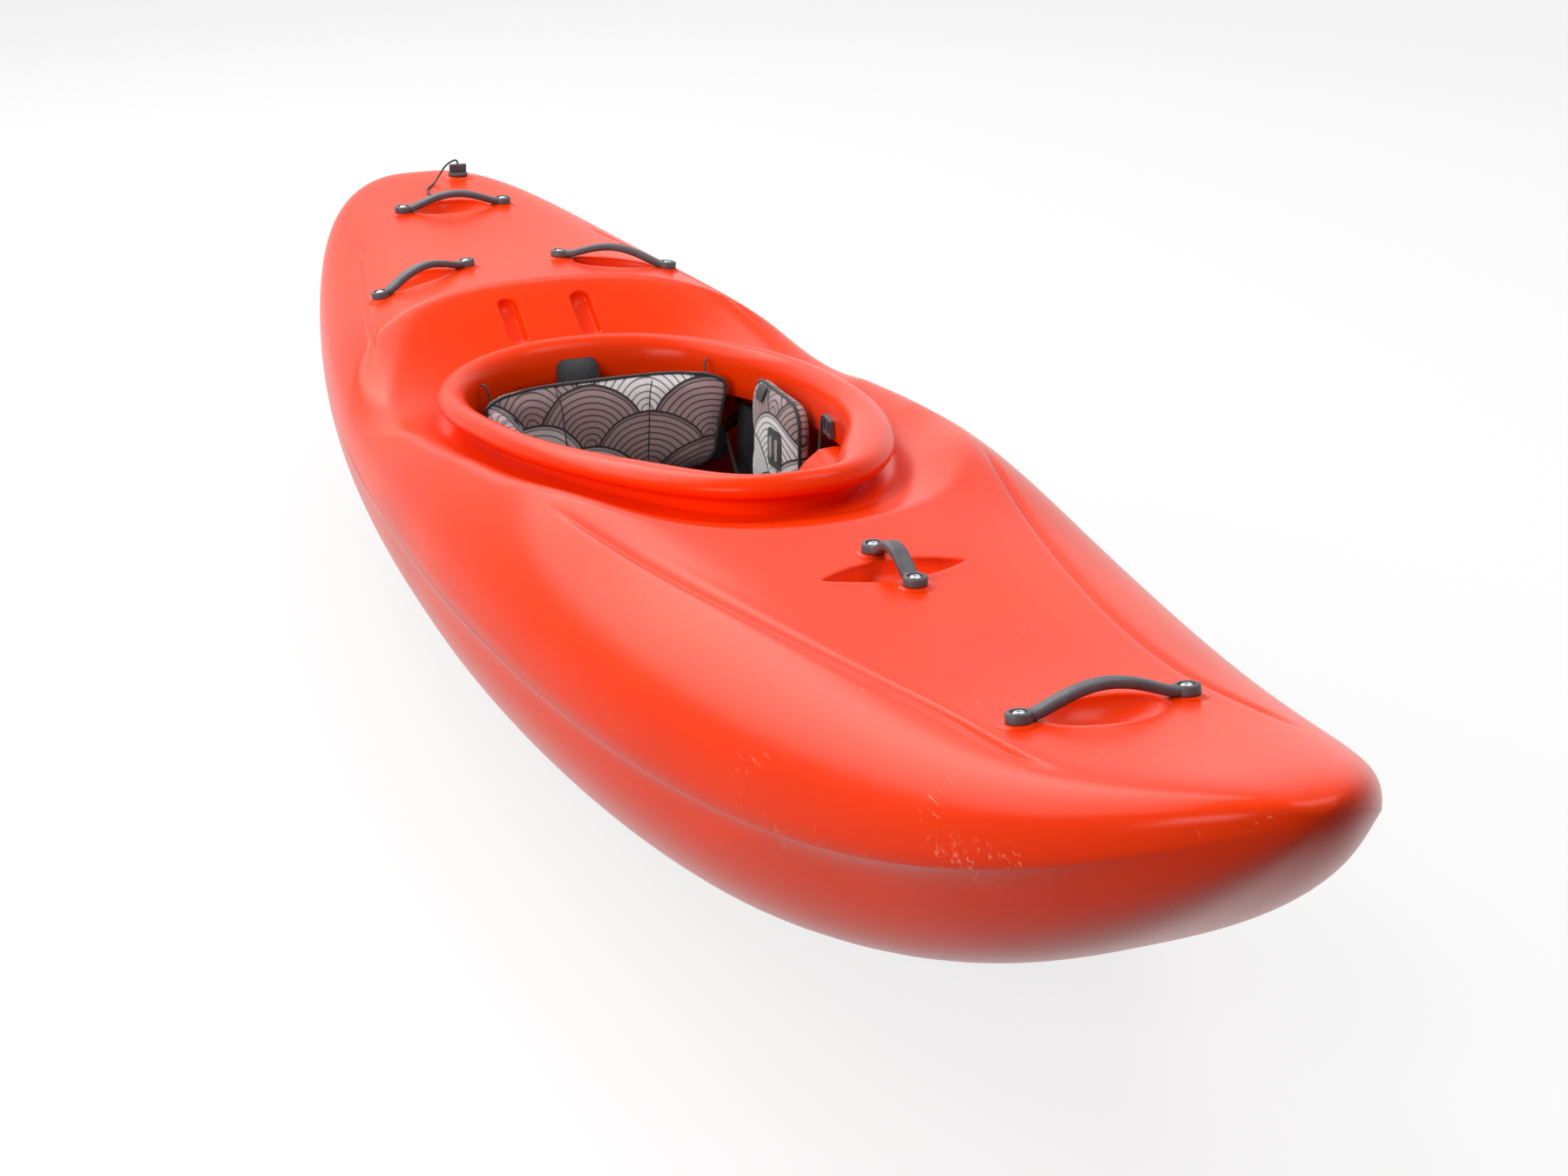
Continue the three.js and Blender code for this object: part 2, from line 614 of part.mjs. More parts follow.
// Closed solid between two surfaces that share their edges' order
function thickSheet(columns, rows, front, back) {
  const positions = [];
  const indices = [];
  const stride = rows + 1;
  [front, back].forEach((surface) => {
    for (let i = 0; i <= columns; i += 1) {
      for (let j = 0; j <= rows; j += 1) positions.push(...surface(i / columns, (2 * j) / rows - 1));
    }
  });
  const at = (side, i, j) => side * (columns + 1) * stride + i * stride + j;
  const quad = (a, b, c, d) => indices.push(a, b, c, a, c, d);
  for (let i = 0; i < columns; i += 1) {
    for (let j = 0; j < rows; j += 1) {
      quad(at(0, i, j), at(0, i + 1, j), at(0, i + 1, j + 1), at(0, i, j + 1));
      quad(at(1, i, j), at(1, i, j + 1), at(1, i + 1, j + 1), at(1, i + 1, j));
    }
    quad(at(0, i + 1, 0), at(0, i, 0), at(1, i, 0), at(1, i + 1, 0));
    quad(at(0, i, rows), at(0, i + 1, rows), at(1, i + 1, rows), at(1, i, rows));
  }
  for (let j = 0; j < rows; j += 1) {
    quad(at(0, 0, j), at(0, 0, j + 1), at(1, 0, j + 1), at(1, 0, j));
    quad(at(0, columns, j + 1), at(0, columns, j), at(1, columns, j), at(1, columns, j + 1));
  }
  return buffer(positions, indices);
}

// Cushion: a rounded outline with drawn-in sides and a crowned front, put in place by toWorld(a, b, depth)
function cushion(width, height, thickness, corner, toWorld) {
  const positions = [];
  const indices = [];
  const rings = CUSHION_PROFILE_SHARES.map(([reach, depth]) => {
    const ring = [];
    for (let i = 0; i < CUSHION_SIDES; i += 1) {
      const angle = (2 * Math.PI * i) / CUSHION_SIDES;
      const c = Math.cos(angle);
      const s = Math.sin(angle);
      const a = Math.sign(c) * Math.abs(c) ** corner;
      const b = Math.sign(s) * Math.abs(s) ** corner;
      const drawIn = 1 - CUSHION_DRAW_SHARE * (1 - Math.abs(a * b));
      const half = (reach * drawIn) / 2;
      positions.push(...toWorld(a * half * width, b * half * height, depth * thickness));
      ring.push(positions.length / 3 - 1);
    }
    return ring;
  });
  const cap = (depth, ring, flip) => {
    positions.push(...toWorld(0, 0, depth * thickness));
    const centre = positions.length / 3 - 1;
    ring.forEach((point, i) => {
      const next = ring[(i + 1) % ring.length];
      indices.push(centre, flip ? next : point, flip ? point : next);
    });
  };
  for (let i = 0; i + 1 < rings.length; i += 1) {
    rings[i].forEach((point, j) => {
      const k = (j + 1) % CUSHION_SIDES;
      indices.push(point, rings[i + 1][j], rings[i + 1][k], point, rings[i + 1][k], rings[i][k]);
    });
  }
  cap(CUSHION_FRONT_SHARE, rings[0], false);
  cap(0, rings.at(-1), true);
  return buffer(positions, indices);
}

function outwards(geometry) {
  const body = solid(geometry);
  if (body.volume() > 0) return geometry;
  const index = geometry.index.array;
  for (let i = 0; i < index.length; i += 3) [index[i], index[i + 1]] = [index[i + 1], index[i]];
  return geometry;
}

// Round cord through hand-chosen points
function cordGeometry(points, diameter) {
  const path = new THREE.CatmullRomCurve3(points.map((p) => new THREE.Vector3(...p)));
  const section8 = new THREE.Shape();
  section8.absarc(0, 0, diameter / 2, 0, 2 * Math.PI);
  const steps = Math.max(Math.round(path.getLength() / (CORD_STEP_SHARE * diameter)), 2);
  return new THREE.ExtrudeGeometry(section8, {
    steps: Math.min(steps, CORD_MOST_STEPS), extrudePath: path, curveSegments: CORD_SEGMENTS,
  });
}

const materials = {
  hull: plastic(0xe8380d, 0.42),
  handle: plastic(0x2e2d31, 0.6),
  steel: new THREE.MeshStandardMaterial({ color: 0xb9bcc0, roughness: 0.3, metalness: 1 }),
  aluminium: new THREE.MeshStandardMaterial({ color: 0x8f9296, roughness: 0.45, metalness: 1 }),
  seat: plastic(0x3b3c40, 0.55),
  rubber: plastic(0x17171a, 0.75),
  foam: plastic(0x2a2b2e, 0.95),
  fabric: plastic(0x6f5d5c, 0.95),
  webbing: plastic(0x1c1c1e, 0.85),
  cord: plastic(0x141416, 0.8),
};

function plastic(color, roughness) {
  return new THREE.MeshStandardMaterial({ color, roughness, metalness: 0 });
}

const kayak = new THREE.Group();

function addPiece(name, shape, material, matrix) {
  const geometry = shape instanceof THREE.BufferGeometry ? shape : geometryOf(shape);
  const mesh = new THREE.Mesh(geometry, material);
  mesh.name = name;
  if (matrix) mesh.applyMatrix4(matrix);
  kayak.add(mesh);
}

// A place on the deck: along is the direction of the piece's own X, the top of its boss is at zero
function deckFrame(x, y, turn, span) {
  const along = new THREE.Vector2(Math.sin(turn), Math.cos(turn));
  const point = (a, b) => {
    const px = x + along.x * a + along.y * b;
    const py = y + along.y * a - along.x * b;
    return new THREE.Vector3(px, py, deckHeight(px, py));
  };
  const half = span / 2;
  const first = point(-half, 0);
  const last = point(half, 0);
  const ahead = point(half, SLOPE_REACH).add(point(-half, SLOPE_REACH));
  const behind = point(half, -SLOPE_REACH).add(point(-half, -SLOPE_REACH));
  const xAxis = last.clone().sub(first).normalize();
  const across = behind.sub(ahead).normalize();
  const zAxis = xAxis.clone().cross(across).normalize();
  const yAxis = zAxis.clone().cross(xAxis);
  const origin = first.add(last).multiplyScalar(0.5).addScaledVector(zAxis, BOSS_PROUD);
  return new THREE.Matrix4().makeBasis(xAxis, yAxis, zAxis).setPosition(origin);
}

function placed(geometry, matrix) {
  return solid(geometry.clone().applyMatrix4(matrix));
}

const handles = [
  {
    name: 'bow_handle',
    frame: deckFrame(BOW_HANDLE_X, 0, 0, HANDLE_SPAN),
    span: HANDLE_SPAN,
    ends: ['port', 'starboard'],
  },
  {
    name: 'bow_center_handle',
    frame: deckFrame(CENTER_HANDLE_X, 0, Math.PI / 2, CENTER_HANDLE_SPAN),
    span: CENTER_HANDLE_SPAN,
    ends: ['fore', 'aft'],
  },
  {
    name: 'stern_handle',
    frame: deckFrame(STERN_HANDLE_X, 0, 0, HANDLE_SPAN),
    span: HANDLE_SPAN,
    ends: ['port', 'starboard'],
  },
  {
    name: 'stern_port_handle',
    frame: deckFrame(SIDE_HANDLE_X, SIDE_HANDLE_Y, SIDE_HANDLE_TURN, HANDLE_SPAN),
    span: HANDLE_SPAN,
    ends: ['outer', 'inner'],
  },
  {
    name: 'stern_starboard_handle',
    frame: deckFrame(SIDE_HANDLE_X, -SIDE_HANDLE_Y, Math.PI - SIDE_HANDLE_TURN, HANDLE_SPAN),
    span: HANDLE_SPAN,
    ends: ['outer', 'inner'],
  },
];
const plugFrame = deckFrame(PLUG_X, PLUG_Y, 0, PLUG_COLLAR_RADIUS);

function slotFrame(side) {
  const at = new THREE.Matrix4().makeTranslation(SLOT_X, side * SLOT_Y, deckHeight(SLOT_X, SLOT_Y));
  return at.multiply(new THREE.Matrix4().makeRotationY(SLOT_PITCH));
}

// Recesses in the deck: scoops under the handles and the two slots, grown all round by grow
function recesses(grow) {
  const scoops = handles.map(({ frame, span, name }) => {
    const center = name === 'bow_center_handle';
    const along = center ? CENTER_SCOOP_WIDTH / 2 : span / 2 - BOSS_RADIUS + SCOOP_OVERLAP;
    const across = center ? CENTER_SCOOP_LENGTH / 2 : SCOOP_REACH;
    const bowl = ellipsoid(along + grow, across + grow, SCOOP_DEPTH + SCOOP_LIFT + grow);
    return placed(bowl.translate(0, 0, SCOOP_LIFT), frame);
  });
  const slots = [1, -1].map((side) => {
    const slab = stadium(SLOT_LENGTH + 2 * grow, SLOT_WIDTH + 2 * grow, SLOT_DEPTH + OVERRUN + grow);
    return placed(slab.translate(0, 0, OVERRUN), slotFrame(side));
  });
  return wasm.Manifold.union([...scoops, ...slots]);
}

// Solid bosses under the handle ends and round the drain plug
function bosses(grow) {
  const ends = handles.flatMap(({ frame, span }) => [1, -1].map((side) => {
    const boss = cylinder(BOSS_RADIUS + grow, -BOSS_DEPTH - grow, 0);
    return placed(boss.translate((side * span) / 2, 0, 0), frame);
  }));
  const collar = placed(cylinder(PLUG_COLLAR_RADIUS + grow, -BOSS_DEPTH / 2 - grow, 0), plugFrame);
  return wasm.Manifold.union([...ends, collar]);
}

function seatsAbove() {
  const ends = handles.flatMap(({ frame, span }) => [1, -1].map((side) => {
    const clear = cylinder(BOSS_RADIUS + BOSS_PROUD, 0, OVERRUN);
    return placed(clear.translate((side * span) / 2, 0, 0), frame);
  }));
  const collar = placed(cylinder(PLUG_COLLAR_RADIUS + BOSS_PROUD, 0, OVERRUN), plugFrame);
  return wasm.Manifold.union([...ends, collar]);
}

const boltHoleRadius = BOLT_RADIUS + GAP;

function holesBelow() {
  const ends = handles.flatMap(({ frame, span }) => [1, -1].map((side) => {
    const hole = cylinder(boltHoleRadius, -HANDLE_BOLT_LENGTH, OVERRUN, BOLT_SIDES);
    return placed(hole.translate((side * span) / 2, 0, 0), frame);
  }));
  const stemHole = placed(cylinder(PLUG_STEM_RADIUS + GAP, -BOSS_DEPTH, OVERRUN), plugFrame);
  return wasm.Manifold.union([...ends, stemHole]);
}

// Hollow inside the shell, with a stand-off from its wall
function cavity(standOff) {
  const inset = WALL + standOff;
  return solid(hullGeometry(inset)).subtract(recesses(inset)).subtract(bosses(standOff));
}

function hookShare(turn) {
  return bell(turn - HOOK_TURN, HOOK_SPREAD) + bell(turn - (2 * Math.PI - HOOK_TURN), HOOK_SPREAD);
}

// Section of the rolled lip and the neck under it, as [outward, up] from the rim's outer edge
function rimSection(turn) {
  const width = LIP_WIDTH + HOOK_REACH * hookShare(turn);
  const inner = -LIP_WIDTH - NECK_INSET;
  const outer = inner + NECK_THICKNESS;
  return [
    ...LIP_SHARES.map(([out, up]) => [out * width, up > 0 ? up * LIP_CROWN : -up * -LIP_BELOW]),
    [inner, -NECK_DEPTH / 2],
    [inner, -NECK_DEPTH],
    [outer, -NECK_DEPTH],
    [outer, -LIP_BELOW],
  ];
}

// Section of the space that the neck takes, with a gap round it
function neckClearance() {
  const inner = -LIP_WIDTH - NECK_INSET - GAP;
  const outer = inner + NECK_THICKNESS + 2 * GAP;
  return [[inner, 0], [inner, -NECK_DEPTH - GAP], [outer, -NECK_DEPTH - GAP], [outer, 0]];
}

function cockpitHole() {
  const outline = Array.from({ length: RIM_STEPS * 2 }, (_, i) => {
    const turn = (Math.PI * i) / RIM_STEPS;
    const tangent = rimTangent(turn);
    const inwards = new THREE.Vector2(-tangent.y, tangent.x).multiplyScalar(LIP_WIDTH);
    return rimOutline(turn, 0).add(inwards);
  });
  const column = { depth: RIM_HEIGHT, bevelEnabled: false };
  const hole = new THREE.ExtrudeGeometry(new THREE.Shape(outline), column);
  return solid(hole.translate(0, 0, RIM_HEIGHT / 2));
}

function makeHullShell() {
  const notches = [1, -1].map((side) => {
    const at = new THREE.Matrix4().makeTranslation(
      RIM_X - RIM_HALF_LENGTH + LIP_WIDTH, side * NOTCH_Y, rimHeight(RIM_X - RIM_HALF_LENGTH, 0),
    );
    const groove = stadium(NOTCH_LENGTH, NOTCH_WIDTH, NOTCH_DEPTH + OVERRUN).translate(0, 0, OVERRUN);
    return placed(groove, at.multiply(new THREE.Matrix4().makeRotationY(NOTCH_PITCH)));
  });
  const outside = solid(hullGeometry(0)).subtract(recesses(0)).subtract(seatsAbove());
  const inside = solid(hullGeometry(WALL)).subtract(recesses(WALL)).subtract(bosses(0));
  return outside.add(bosses(0))
    .subtract(inside)
    .subtract(cockpitHole())
    .add(solid(outwards(rimRing(rimSection))))
    .subtract(holesBelow())
    .subtract(braceBoltHoles())
    .subtract(wasm.Manifold.union(notches));
}

// Carry handles and their bolts
function handleGeometry(span) {
  const half = span / 2;
  const middle = GAP + HANDLE_PAD_HEIGHT / 2;
  const rise = HANDLE_RISE;
  const thick = HANDLE_BAR_THICKNESS / 2;
  const side = new THREE.Shape();
  side.moveTo(-half, middle - thick + GAP);
  side.splineThru([
    new THREE.Vector2(-half * HANDLE_FOOT_SHARE, rise * HANDLE_FOOT_SHARE - thick),
    new THREE.Vector2(0, rise - thick),
    new THREE.Vector2(half * HANDLE_FOOT_SHARE, rise * HANDLE_FOOT_SHARE - thick),
    new THREE.Vector2(half, middle - thick + GAP),
  ]);
  side.lineTo(half, middle + thick - GAP);
  side.splineThru([
    new THREE.Vector2(half * HANDLE_TOP_SHARE, rise * HANDLE_TOP_SHARE + thick),
    new THREE.Vector2(0, rise + thick),
    new THREE.Vector2(-half * HANDLE_TOP_SHARE, rise * HANDLE_TOP_SHARE + thick),
    new THREE.Vector2(-half, middle + thick - GAP),
  ]);
  side.closePath();
  const bar = new THREE.ExtrudeGeometry(side, {
    depth: HANDLE_BAR_WIDTH, bevelEnabled: false, curveSegments: HANDLE_SEGMENTS,
  });
  bar.rotateX(Math.PI / 2).translate(0, HANDLE_BAR_WIDTH / 2, 0);
  const top = GAP + HANDLE_PAD_HEIGHT;
  let body = solid(bar);
  [1, -1].forEach((end) => {
    const x = end * half;
    body = body.add(solid(cylinder(HANDLE_PAD_RADIUS, GAP, top).translate(x, 0, 0)));
  });
  const recess = cylinder(HANDLE_RECESS_RADIUS, top - HANDLE_RECESS_DEPTH, top + OVERRUN);
  const boltHole = cylinder(boltHoleRadius, -OVERRUN, top, BOLT_SIDES);
  [1, -1].forEach((end) => {
    const x = end * half;
    body = body
      .subtract(solid(recess.clone().translate(x, 0, 0)))
      .subtract(solid(boltHole.clone().translate(x, 0, 0)));
  });
  return body;
}

// Bolt with a domed head, its head's underside at zero and its shank down
function boltGeometry(length) {
  const profile = [
    [0, -length], [BOLT_RADIUS, -length], [BOLT_RADIUS, 0], [BOLT_HEAD_RADIUS, 0],
    [BOLT_HEAD_RADIUS * BOLT_DOME_SHARE, BOLT_HEAD_HEIGHT], [0, BOLT_HEAD_HEIGHT],
  ];
  const lathe = new THREE.LatheGeometry(profile.map(([x, y]) => new THREE.Vector2(x, y)), BOLT_SIDES);
  return outwards(mergeVertices(bareOf(lathe.rotateX(Math.PI / 2)), MERGE_DISTANCE));
}

function bareOf(geometry) {
  geometry.deleteAttribute('normal');
  geometry.deleteAttribute('uv');
  return geometry;
}

function makeHandles() {
  const seat = GAP + HANDLE_PAD_HEIGHT - HANDLE_RECESS_DEPTH + GAP;
  handles.forEach(({ name, frame, span, ends }) => {
    addPiece(name, handleGeometry(span), materials.handle, frame);
    ends.forEach((end, i) => {
      const at = new THREE.Matrix4().makeTranslation((i === 0 ? span : -span) / 2, 0, seat);
      const boltFrame = frame.clone().multiply(at);
      addPiece(`${name}_bolt_${end}`, boltGeometry(HANDLE_BOLT_LENGTH), materials.steel, boltFrame);
    });
  });
}

// Drain plug with its grip, and the cord that keeps it on the stern handle
function makeDrainPlug() {
  const gripHalf = PLUG_HEAD_RADIUS * PLUG_GRIP_SHARE;
  const gripTop = PLUG_HEAD_HEIGHT + PLUG_GRIP_HEIGHT;
  const head = solid(cylinder(PLUG_HEAD_RADIUS, GAP, PLUG_HEAD_HEIGHT));
  const stem = solid(cylinder(PLUG_STEM_RADIUS, -PLUG_STEM_LENGTH, PLUG_HEAD_HEIGHT / 2));
  const grip = solid(box([-gripHalf, gripHalf], [-PLUG_GRIP_WIDTH / 2, PLUG_GRIP_WIDTH / 2],
    [PLUG_HEAD_HEIGHT / 2, gripTop]));
  addPiece('drain_plug', head.add(stem).add(grip), materials.rubber, plugFrame);
  const start = new THREE.Vector3(0, 0, gripTop + 2 * GAP).applyMatrix4(plugFrame);
  const bar = new THREE.Vector3(0, HANDLE_BAR_WIDTH / 2 + CORD_DIAMETER, HANDLE_RISE);
  bar.applyMatrix4(handles.find(({ name }) => name === 'stern_handle').frame);
  const low = (x, y) => [x, y, deckHeight(x, y) + CORD_DIAMETER];
  const points = [
    start.toArray(), [start.x, start.y, start.z + 6], [start.x + 14, start.y - 22, start.z + 2],
    low(-1270, 6), low(-1236, -14), low(-1204, -16), low(-1180, -8),
    [bar.x - 14, bar.y, bar.z - 3], bar.toArray(),
  ];
  addPiece('drain_plug_cord', cordGeometry(points, CORD_DIAMETER), materials.cord);
}

// Seat: a pan with raised wings, on two feet that stand on floor rails
function seatFloor(u) {
  return SEAT_HEIGHT + SEAT_FRONT_RISE * smooth(SEAT_RISE_SHARE, 1, u);
}

function seatRearLip(u) {
  return SEAT_REAR_LIP * (1 - Math.min(u / SEAT_LIP_SHARE, 1)) ** 2;
}

function seatPoint(u, v) {
  const side = Math.abs(v);
  const wingRise = SEAT_WING_HEIGHT - SEAT_FRONT_WING_HEIGHT;
  const wing = SEAT_FRONT_WING_HEIGHT + wingRise * (1 - smooth(...SEAT_WING_FADE_SHARES, u));
  const y = SEAT_HALF_WIDTH * Math.sign(v) * (1 - (1 - side) ** SEAT_SIDE_POWER);
  const floor = seatFloor(u) + seatRearLip(u) * (1 - side * side);
  return [SEAT_REAR_X + SEAT_LENGTH * u, y, floor + wing * side ** SEAT_WING_POWER];
}

function seatUnderside(u, v) {
  const [x, y, z] = seatPoint(u, v);
  const share = Math.abs(v) ** SEAT_EDGE_POWER;
  return [x, y + SEAT_THICKNESS * Math.sign(v) * share, z - SEAT_THICKNESS * (1 - share)];
}

const seatFootFrontX = SEAT_REAR_X + SEAT_FOOT_INSET + SEAT_FOOT_LENGTH;
const seatFootMiddleX = seatFootFrontX - SEAT_FOOT_LENGTH / 2;
const seatBoltPlaces = [1, -1].flatMap((side) => [1, -1].map((end) => ({
  name: `seat_bolt_${side > 0 ? 'port' : 'starboard'}_${end > 0 ? 'fore' : 'aft'}`,
  x: seatFootMiddleX + (end * SEAT_BOLT_SPACING) / 2,
  y: side * SEAT_FOOT_Y,
})));

function makeSeat() {
  let pan = solid(outwards(thickSheet(SEAT_COLUMNS, SEAT_ROWS, seatPoint, seatUnderside)));
  [1, -1].forEach((side) => {
    const y = side * SEAT_FOOT_Y;
    const foot = box([seatFootFrontX - SEAT_FOOT_LENGTH, seatFootFrontX],
      [y - SEAT_FOOT_WIDTH / 2, y + SEAT_FOOT_WIDTH / 2],
      [RAIL_HEIGHT + GAP, SEAT_HEIGHT - SEAT_THICKNESS / 2]);
    pan = pan.add(solid(foot));
  });
  seatBoltPlaces.forEach(({ x, y }) => {
    const hole = solid(cylinder(boltHoleRadius, 0, SEAT_HEIGHT + OVERRUN, BOLT_SIDES).translate(x, y, 0));
    const headSeat = cylinder(BOLT_HEAD_RADIUS + 2 * GAP, SEAT_HEIGHT, SEAT_HEIGHT + OVERRUN, BOLT_SIDES);
    pan = pan.subtract(hole).subtract(solid(headSeat.translate(x, y, 0)));
  });
  addPiece('seat_pan', pan, materials.seat);
  seatBoltPlaces.forEach(({ name, x, y }) => {
    const at = new THREE.Matrix4().makeTranslation(x, y, SEAT_HEIGHT + GAP);
    addPiece(name, boltGeometry(SEAT_BOLT_LENGTH), materials.steel, at);
  });
  const padMiddleX = SEAT_REAR_X + SEAT_LENGTH * SEAT_PAD_MIDDLE_SHARE;
  const toWorld = (a, b, depth) => {
    const x = padMiddleX + a;
    return [x, b, seatFloor((x - SEAT_REAR_X) / SEAT_LENGTH) + GAP * 5 + depth];
  };
  const pad = cushion(SEAT_PAD_LENGTH, SEAT_PAD_WIDTH, SEAT_PAD_THICKNESS, CUSHION_CORNER_POWER, toWorld);
  addPiece('seat_pad', outwards(pad), materials.fabric);
}

function makeSeatRails(hollow) {
  const reach = SEAT_FOOT_LENGTH / 2 + SEAT_SLIDE_TRAVEL + RAIL_END;
  const slotReach = SEAT_BOLT_SPACING / 2 + SEAT_SLIDE_TRAVEL + BOLT_RADIUS + GAP;
  [1, -1].forEach((side) => {
    const y = side * SEAT_FOOT_Y;
    const bar = solid(box([seatFootMiddleX - reach, seatFootMiddleX + reach],
      [y - RAIL_WIDTH / 2, y + RAIL_WIDTH / 2], [0, RAIL_HEIGHT])).intersect(hollow);
    const slot = stadium(2 * slotReach, 2 * BOLT_RADIUS + 4 * GAP, SEAT_BOLT_LENGTH)
      .translate(seatFootMiddleX, y, RAIL_HEIGHT + OVERRUN);
    addPiece(`seat_rail_${side > 0 ? 'port' : 'starboard'}`, bar.subtract(solid(slot)), materials.aluminium);
  });
}

// Inside face of the seat's wing at a height, beside the hips
function wingInside(z) {
  const rise = Math.min(Math.max((z - SEAT_HEIGHT) / SEAT_WING_HEIGHT, 0), 1);
  return SEAT_HALF_WIDTH * (1 - (1 - rise ** (1 / SEAT_WING_POWER)) ** SEAT_SIDE_POWER);
}

function makeHipPads() {
  const middle = (HIP_PAD_TOP + HIP_PAD_BOTTOM) / 2;
  [1, -1].forEach((side) => {
    const toWorld = (a, b, depth) => {
      const z = middle + b;
      const backY = Math.min(wingInside(z) - HIP_PAD_CLEARANCE, HIP_PAD_BACK_Y);
      return [HIP_PAD_X + a, side * (backY - depth), z];
    };
    const pad = cushion(HIP_PAD_LENGTH, HIP_PAD_HEIGHT, HIP_PAD_THICKNESS, CUSHION_CORNER_POWER, toWorld);
    addPiece(`hip_pad_${side > 0 ? 'port' : 'starboard'}`, outwards(pad), materials.fabric);
  });
}

// Backband: a bowed, leaning pad hung on straps, pulled forward by two adjuster cords
function backbandX(y, z) {
  const bend = BACKBAND_BOW * (1 - (2 * y / BACKBAND_WIDTH) ** 2);
  return BACKBAND_X - bend - (BACKBAND_LEAN * (z - BACKBAND_PIVOT_HEIGHT)) / (BACKBAND_TOP - BACKBAND_BOTTOM);
}

function backbandEdge(z) {
  const drop = (BACKBAND_TOP - z) / (BACKBAND_TOP - BACKBAND_BOTTOM);
  return (BACKBAND_WIDTH / 2) * (1 - BACKBAND_NARROW_SHARE * drop);
}

const earInnerY = backbandEdge(BACKBAND_PIVOT_HEIGHT) - 2 * BACKBAND_SHELL_MARGIN;
const earX = backbandX(earInnerY, BACKBAND_PIVOT_HEIGHT) - BACKBAND_STAND - BACKBAND_SHELL_THICKNESS;

function makeBackband() {
  const middle = (BACKBAND_TOP + BACKBAND_BOTTOM) / 2;
  const height = BACKBAND_TOP - BACKBAND_BOTTOM;
  const pad = cushion(BACKBAND_WIDTH, height, BACKBAND_THICKNESS, BACKBAND_CORNER_POWER, (a, b, depth) => {
    const z = middle + b;
    const y = (a * backbandEdge(z) * 2) / BACKBAND_WIDTH;
    return [backbandX(y, z) - BACKBAND_THICKNESS / 2 + depth, y, z];
  });
  addPiece('backband', outwards(pad), materials.fabric);
  const front = (u, v) => {
    const z = BACKBAND_BOTTOM + BACKBAND_SHELL_MARGIN + (height - 2 * BACKBAND_SHELL_MARGIN) * u;
    const y = v * (backbandEdge(z) - BACKBAND_SHELL_MARGIN);
    return [backbandX(y, z) - BACKBAND_STAND, y, z];
  };
  const back = (u, v) => {
    const [x, y, z] = front(u, v);
    return [x - BACKBAND_SHELL_THICKNESS, y, z];
  };
  let shell = solid(outwards(thickSheet(BACKBAND_COLUMNS, BACKBAND_ROWS, front, back)));
  [1, -1].forEach((side) => {
    const y = side > 0 ? [earInnerY, BACKBAND_EAR_Y] : [-BACKBAND_EAR_Y, -earInnerY];
    const ear = box([earX - BACKBAND_EAR_THICKNESS / 2, earX + BACKBAND_EAR_THICKNESS / 2], y,
      [BACKBAND_PIVOT_HEIGHT - BACKBAND_EAR_HEIGHT / 2, BACKBAND_PIVOT_HEIGHT + BACKBAND_EAR_HEIGHT / 2]);
    shell = shell.add(solid(ear));
  });
  addPiece('backband_shell', shell, materials.rubber);
}

// Thigh braces: plates under the deck beside the rim's front, hung on bolts in slots
const braceBoltPlaces = [1, -1].flatMap((side) => BRACE_BOLT_TURNS.map((turn, i) => {
  const here = rimOutline(turn, 0);
  const tangent = rimTangent(turn);
  const out = -LIP_WIDTH - NECK_INSET + NECK_THICKNESS / 2;
  const x = here.x + tangent.y * out;
  const y = here.y - tangent.x * out;
  return {
    name: `thigh_brace_bolt_${side > 0 ? 'port' : 'starboard'}_${i === 0 ? 'fore' : 'aft'}`,
    side,
    x,
    y: side * y,
    neckBottom: rimHeight(here.x, here.y) - NECK_DEPTH,
  };
}));

function braceBoltHoles() {
  return wasm.Manifold.union(braceBoltPlaces.map(({ x, y, neckBottom }) => {
    const holeTop = neckBottom + BRACE_BOLT_GRIP + GAP;
    return solid(cylinder(boltHoleRadius, neckBottom - OVERRUN, holeTop, BOLT_SIDES).translate(x, y, 0));
  }));
}

const [frontBrace, rearBrace] = braceBoltPlaces;
const braceSlope = (frontBrace.neckBottom - rearBrace.neckBottom) / (frontBrace.x - rearBrace.x);
function braceTop(x) {
  return rearBrace.neckBottom - BRACE_CLEARANCE + braceSlope * (x - rearBrace.x);
}

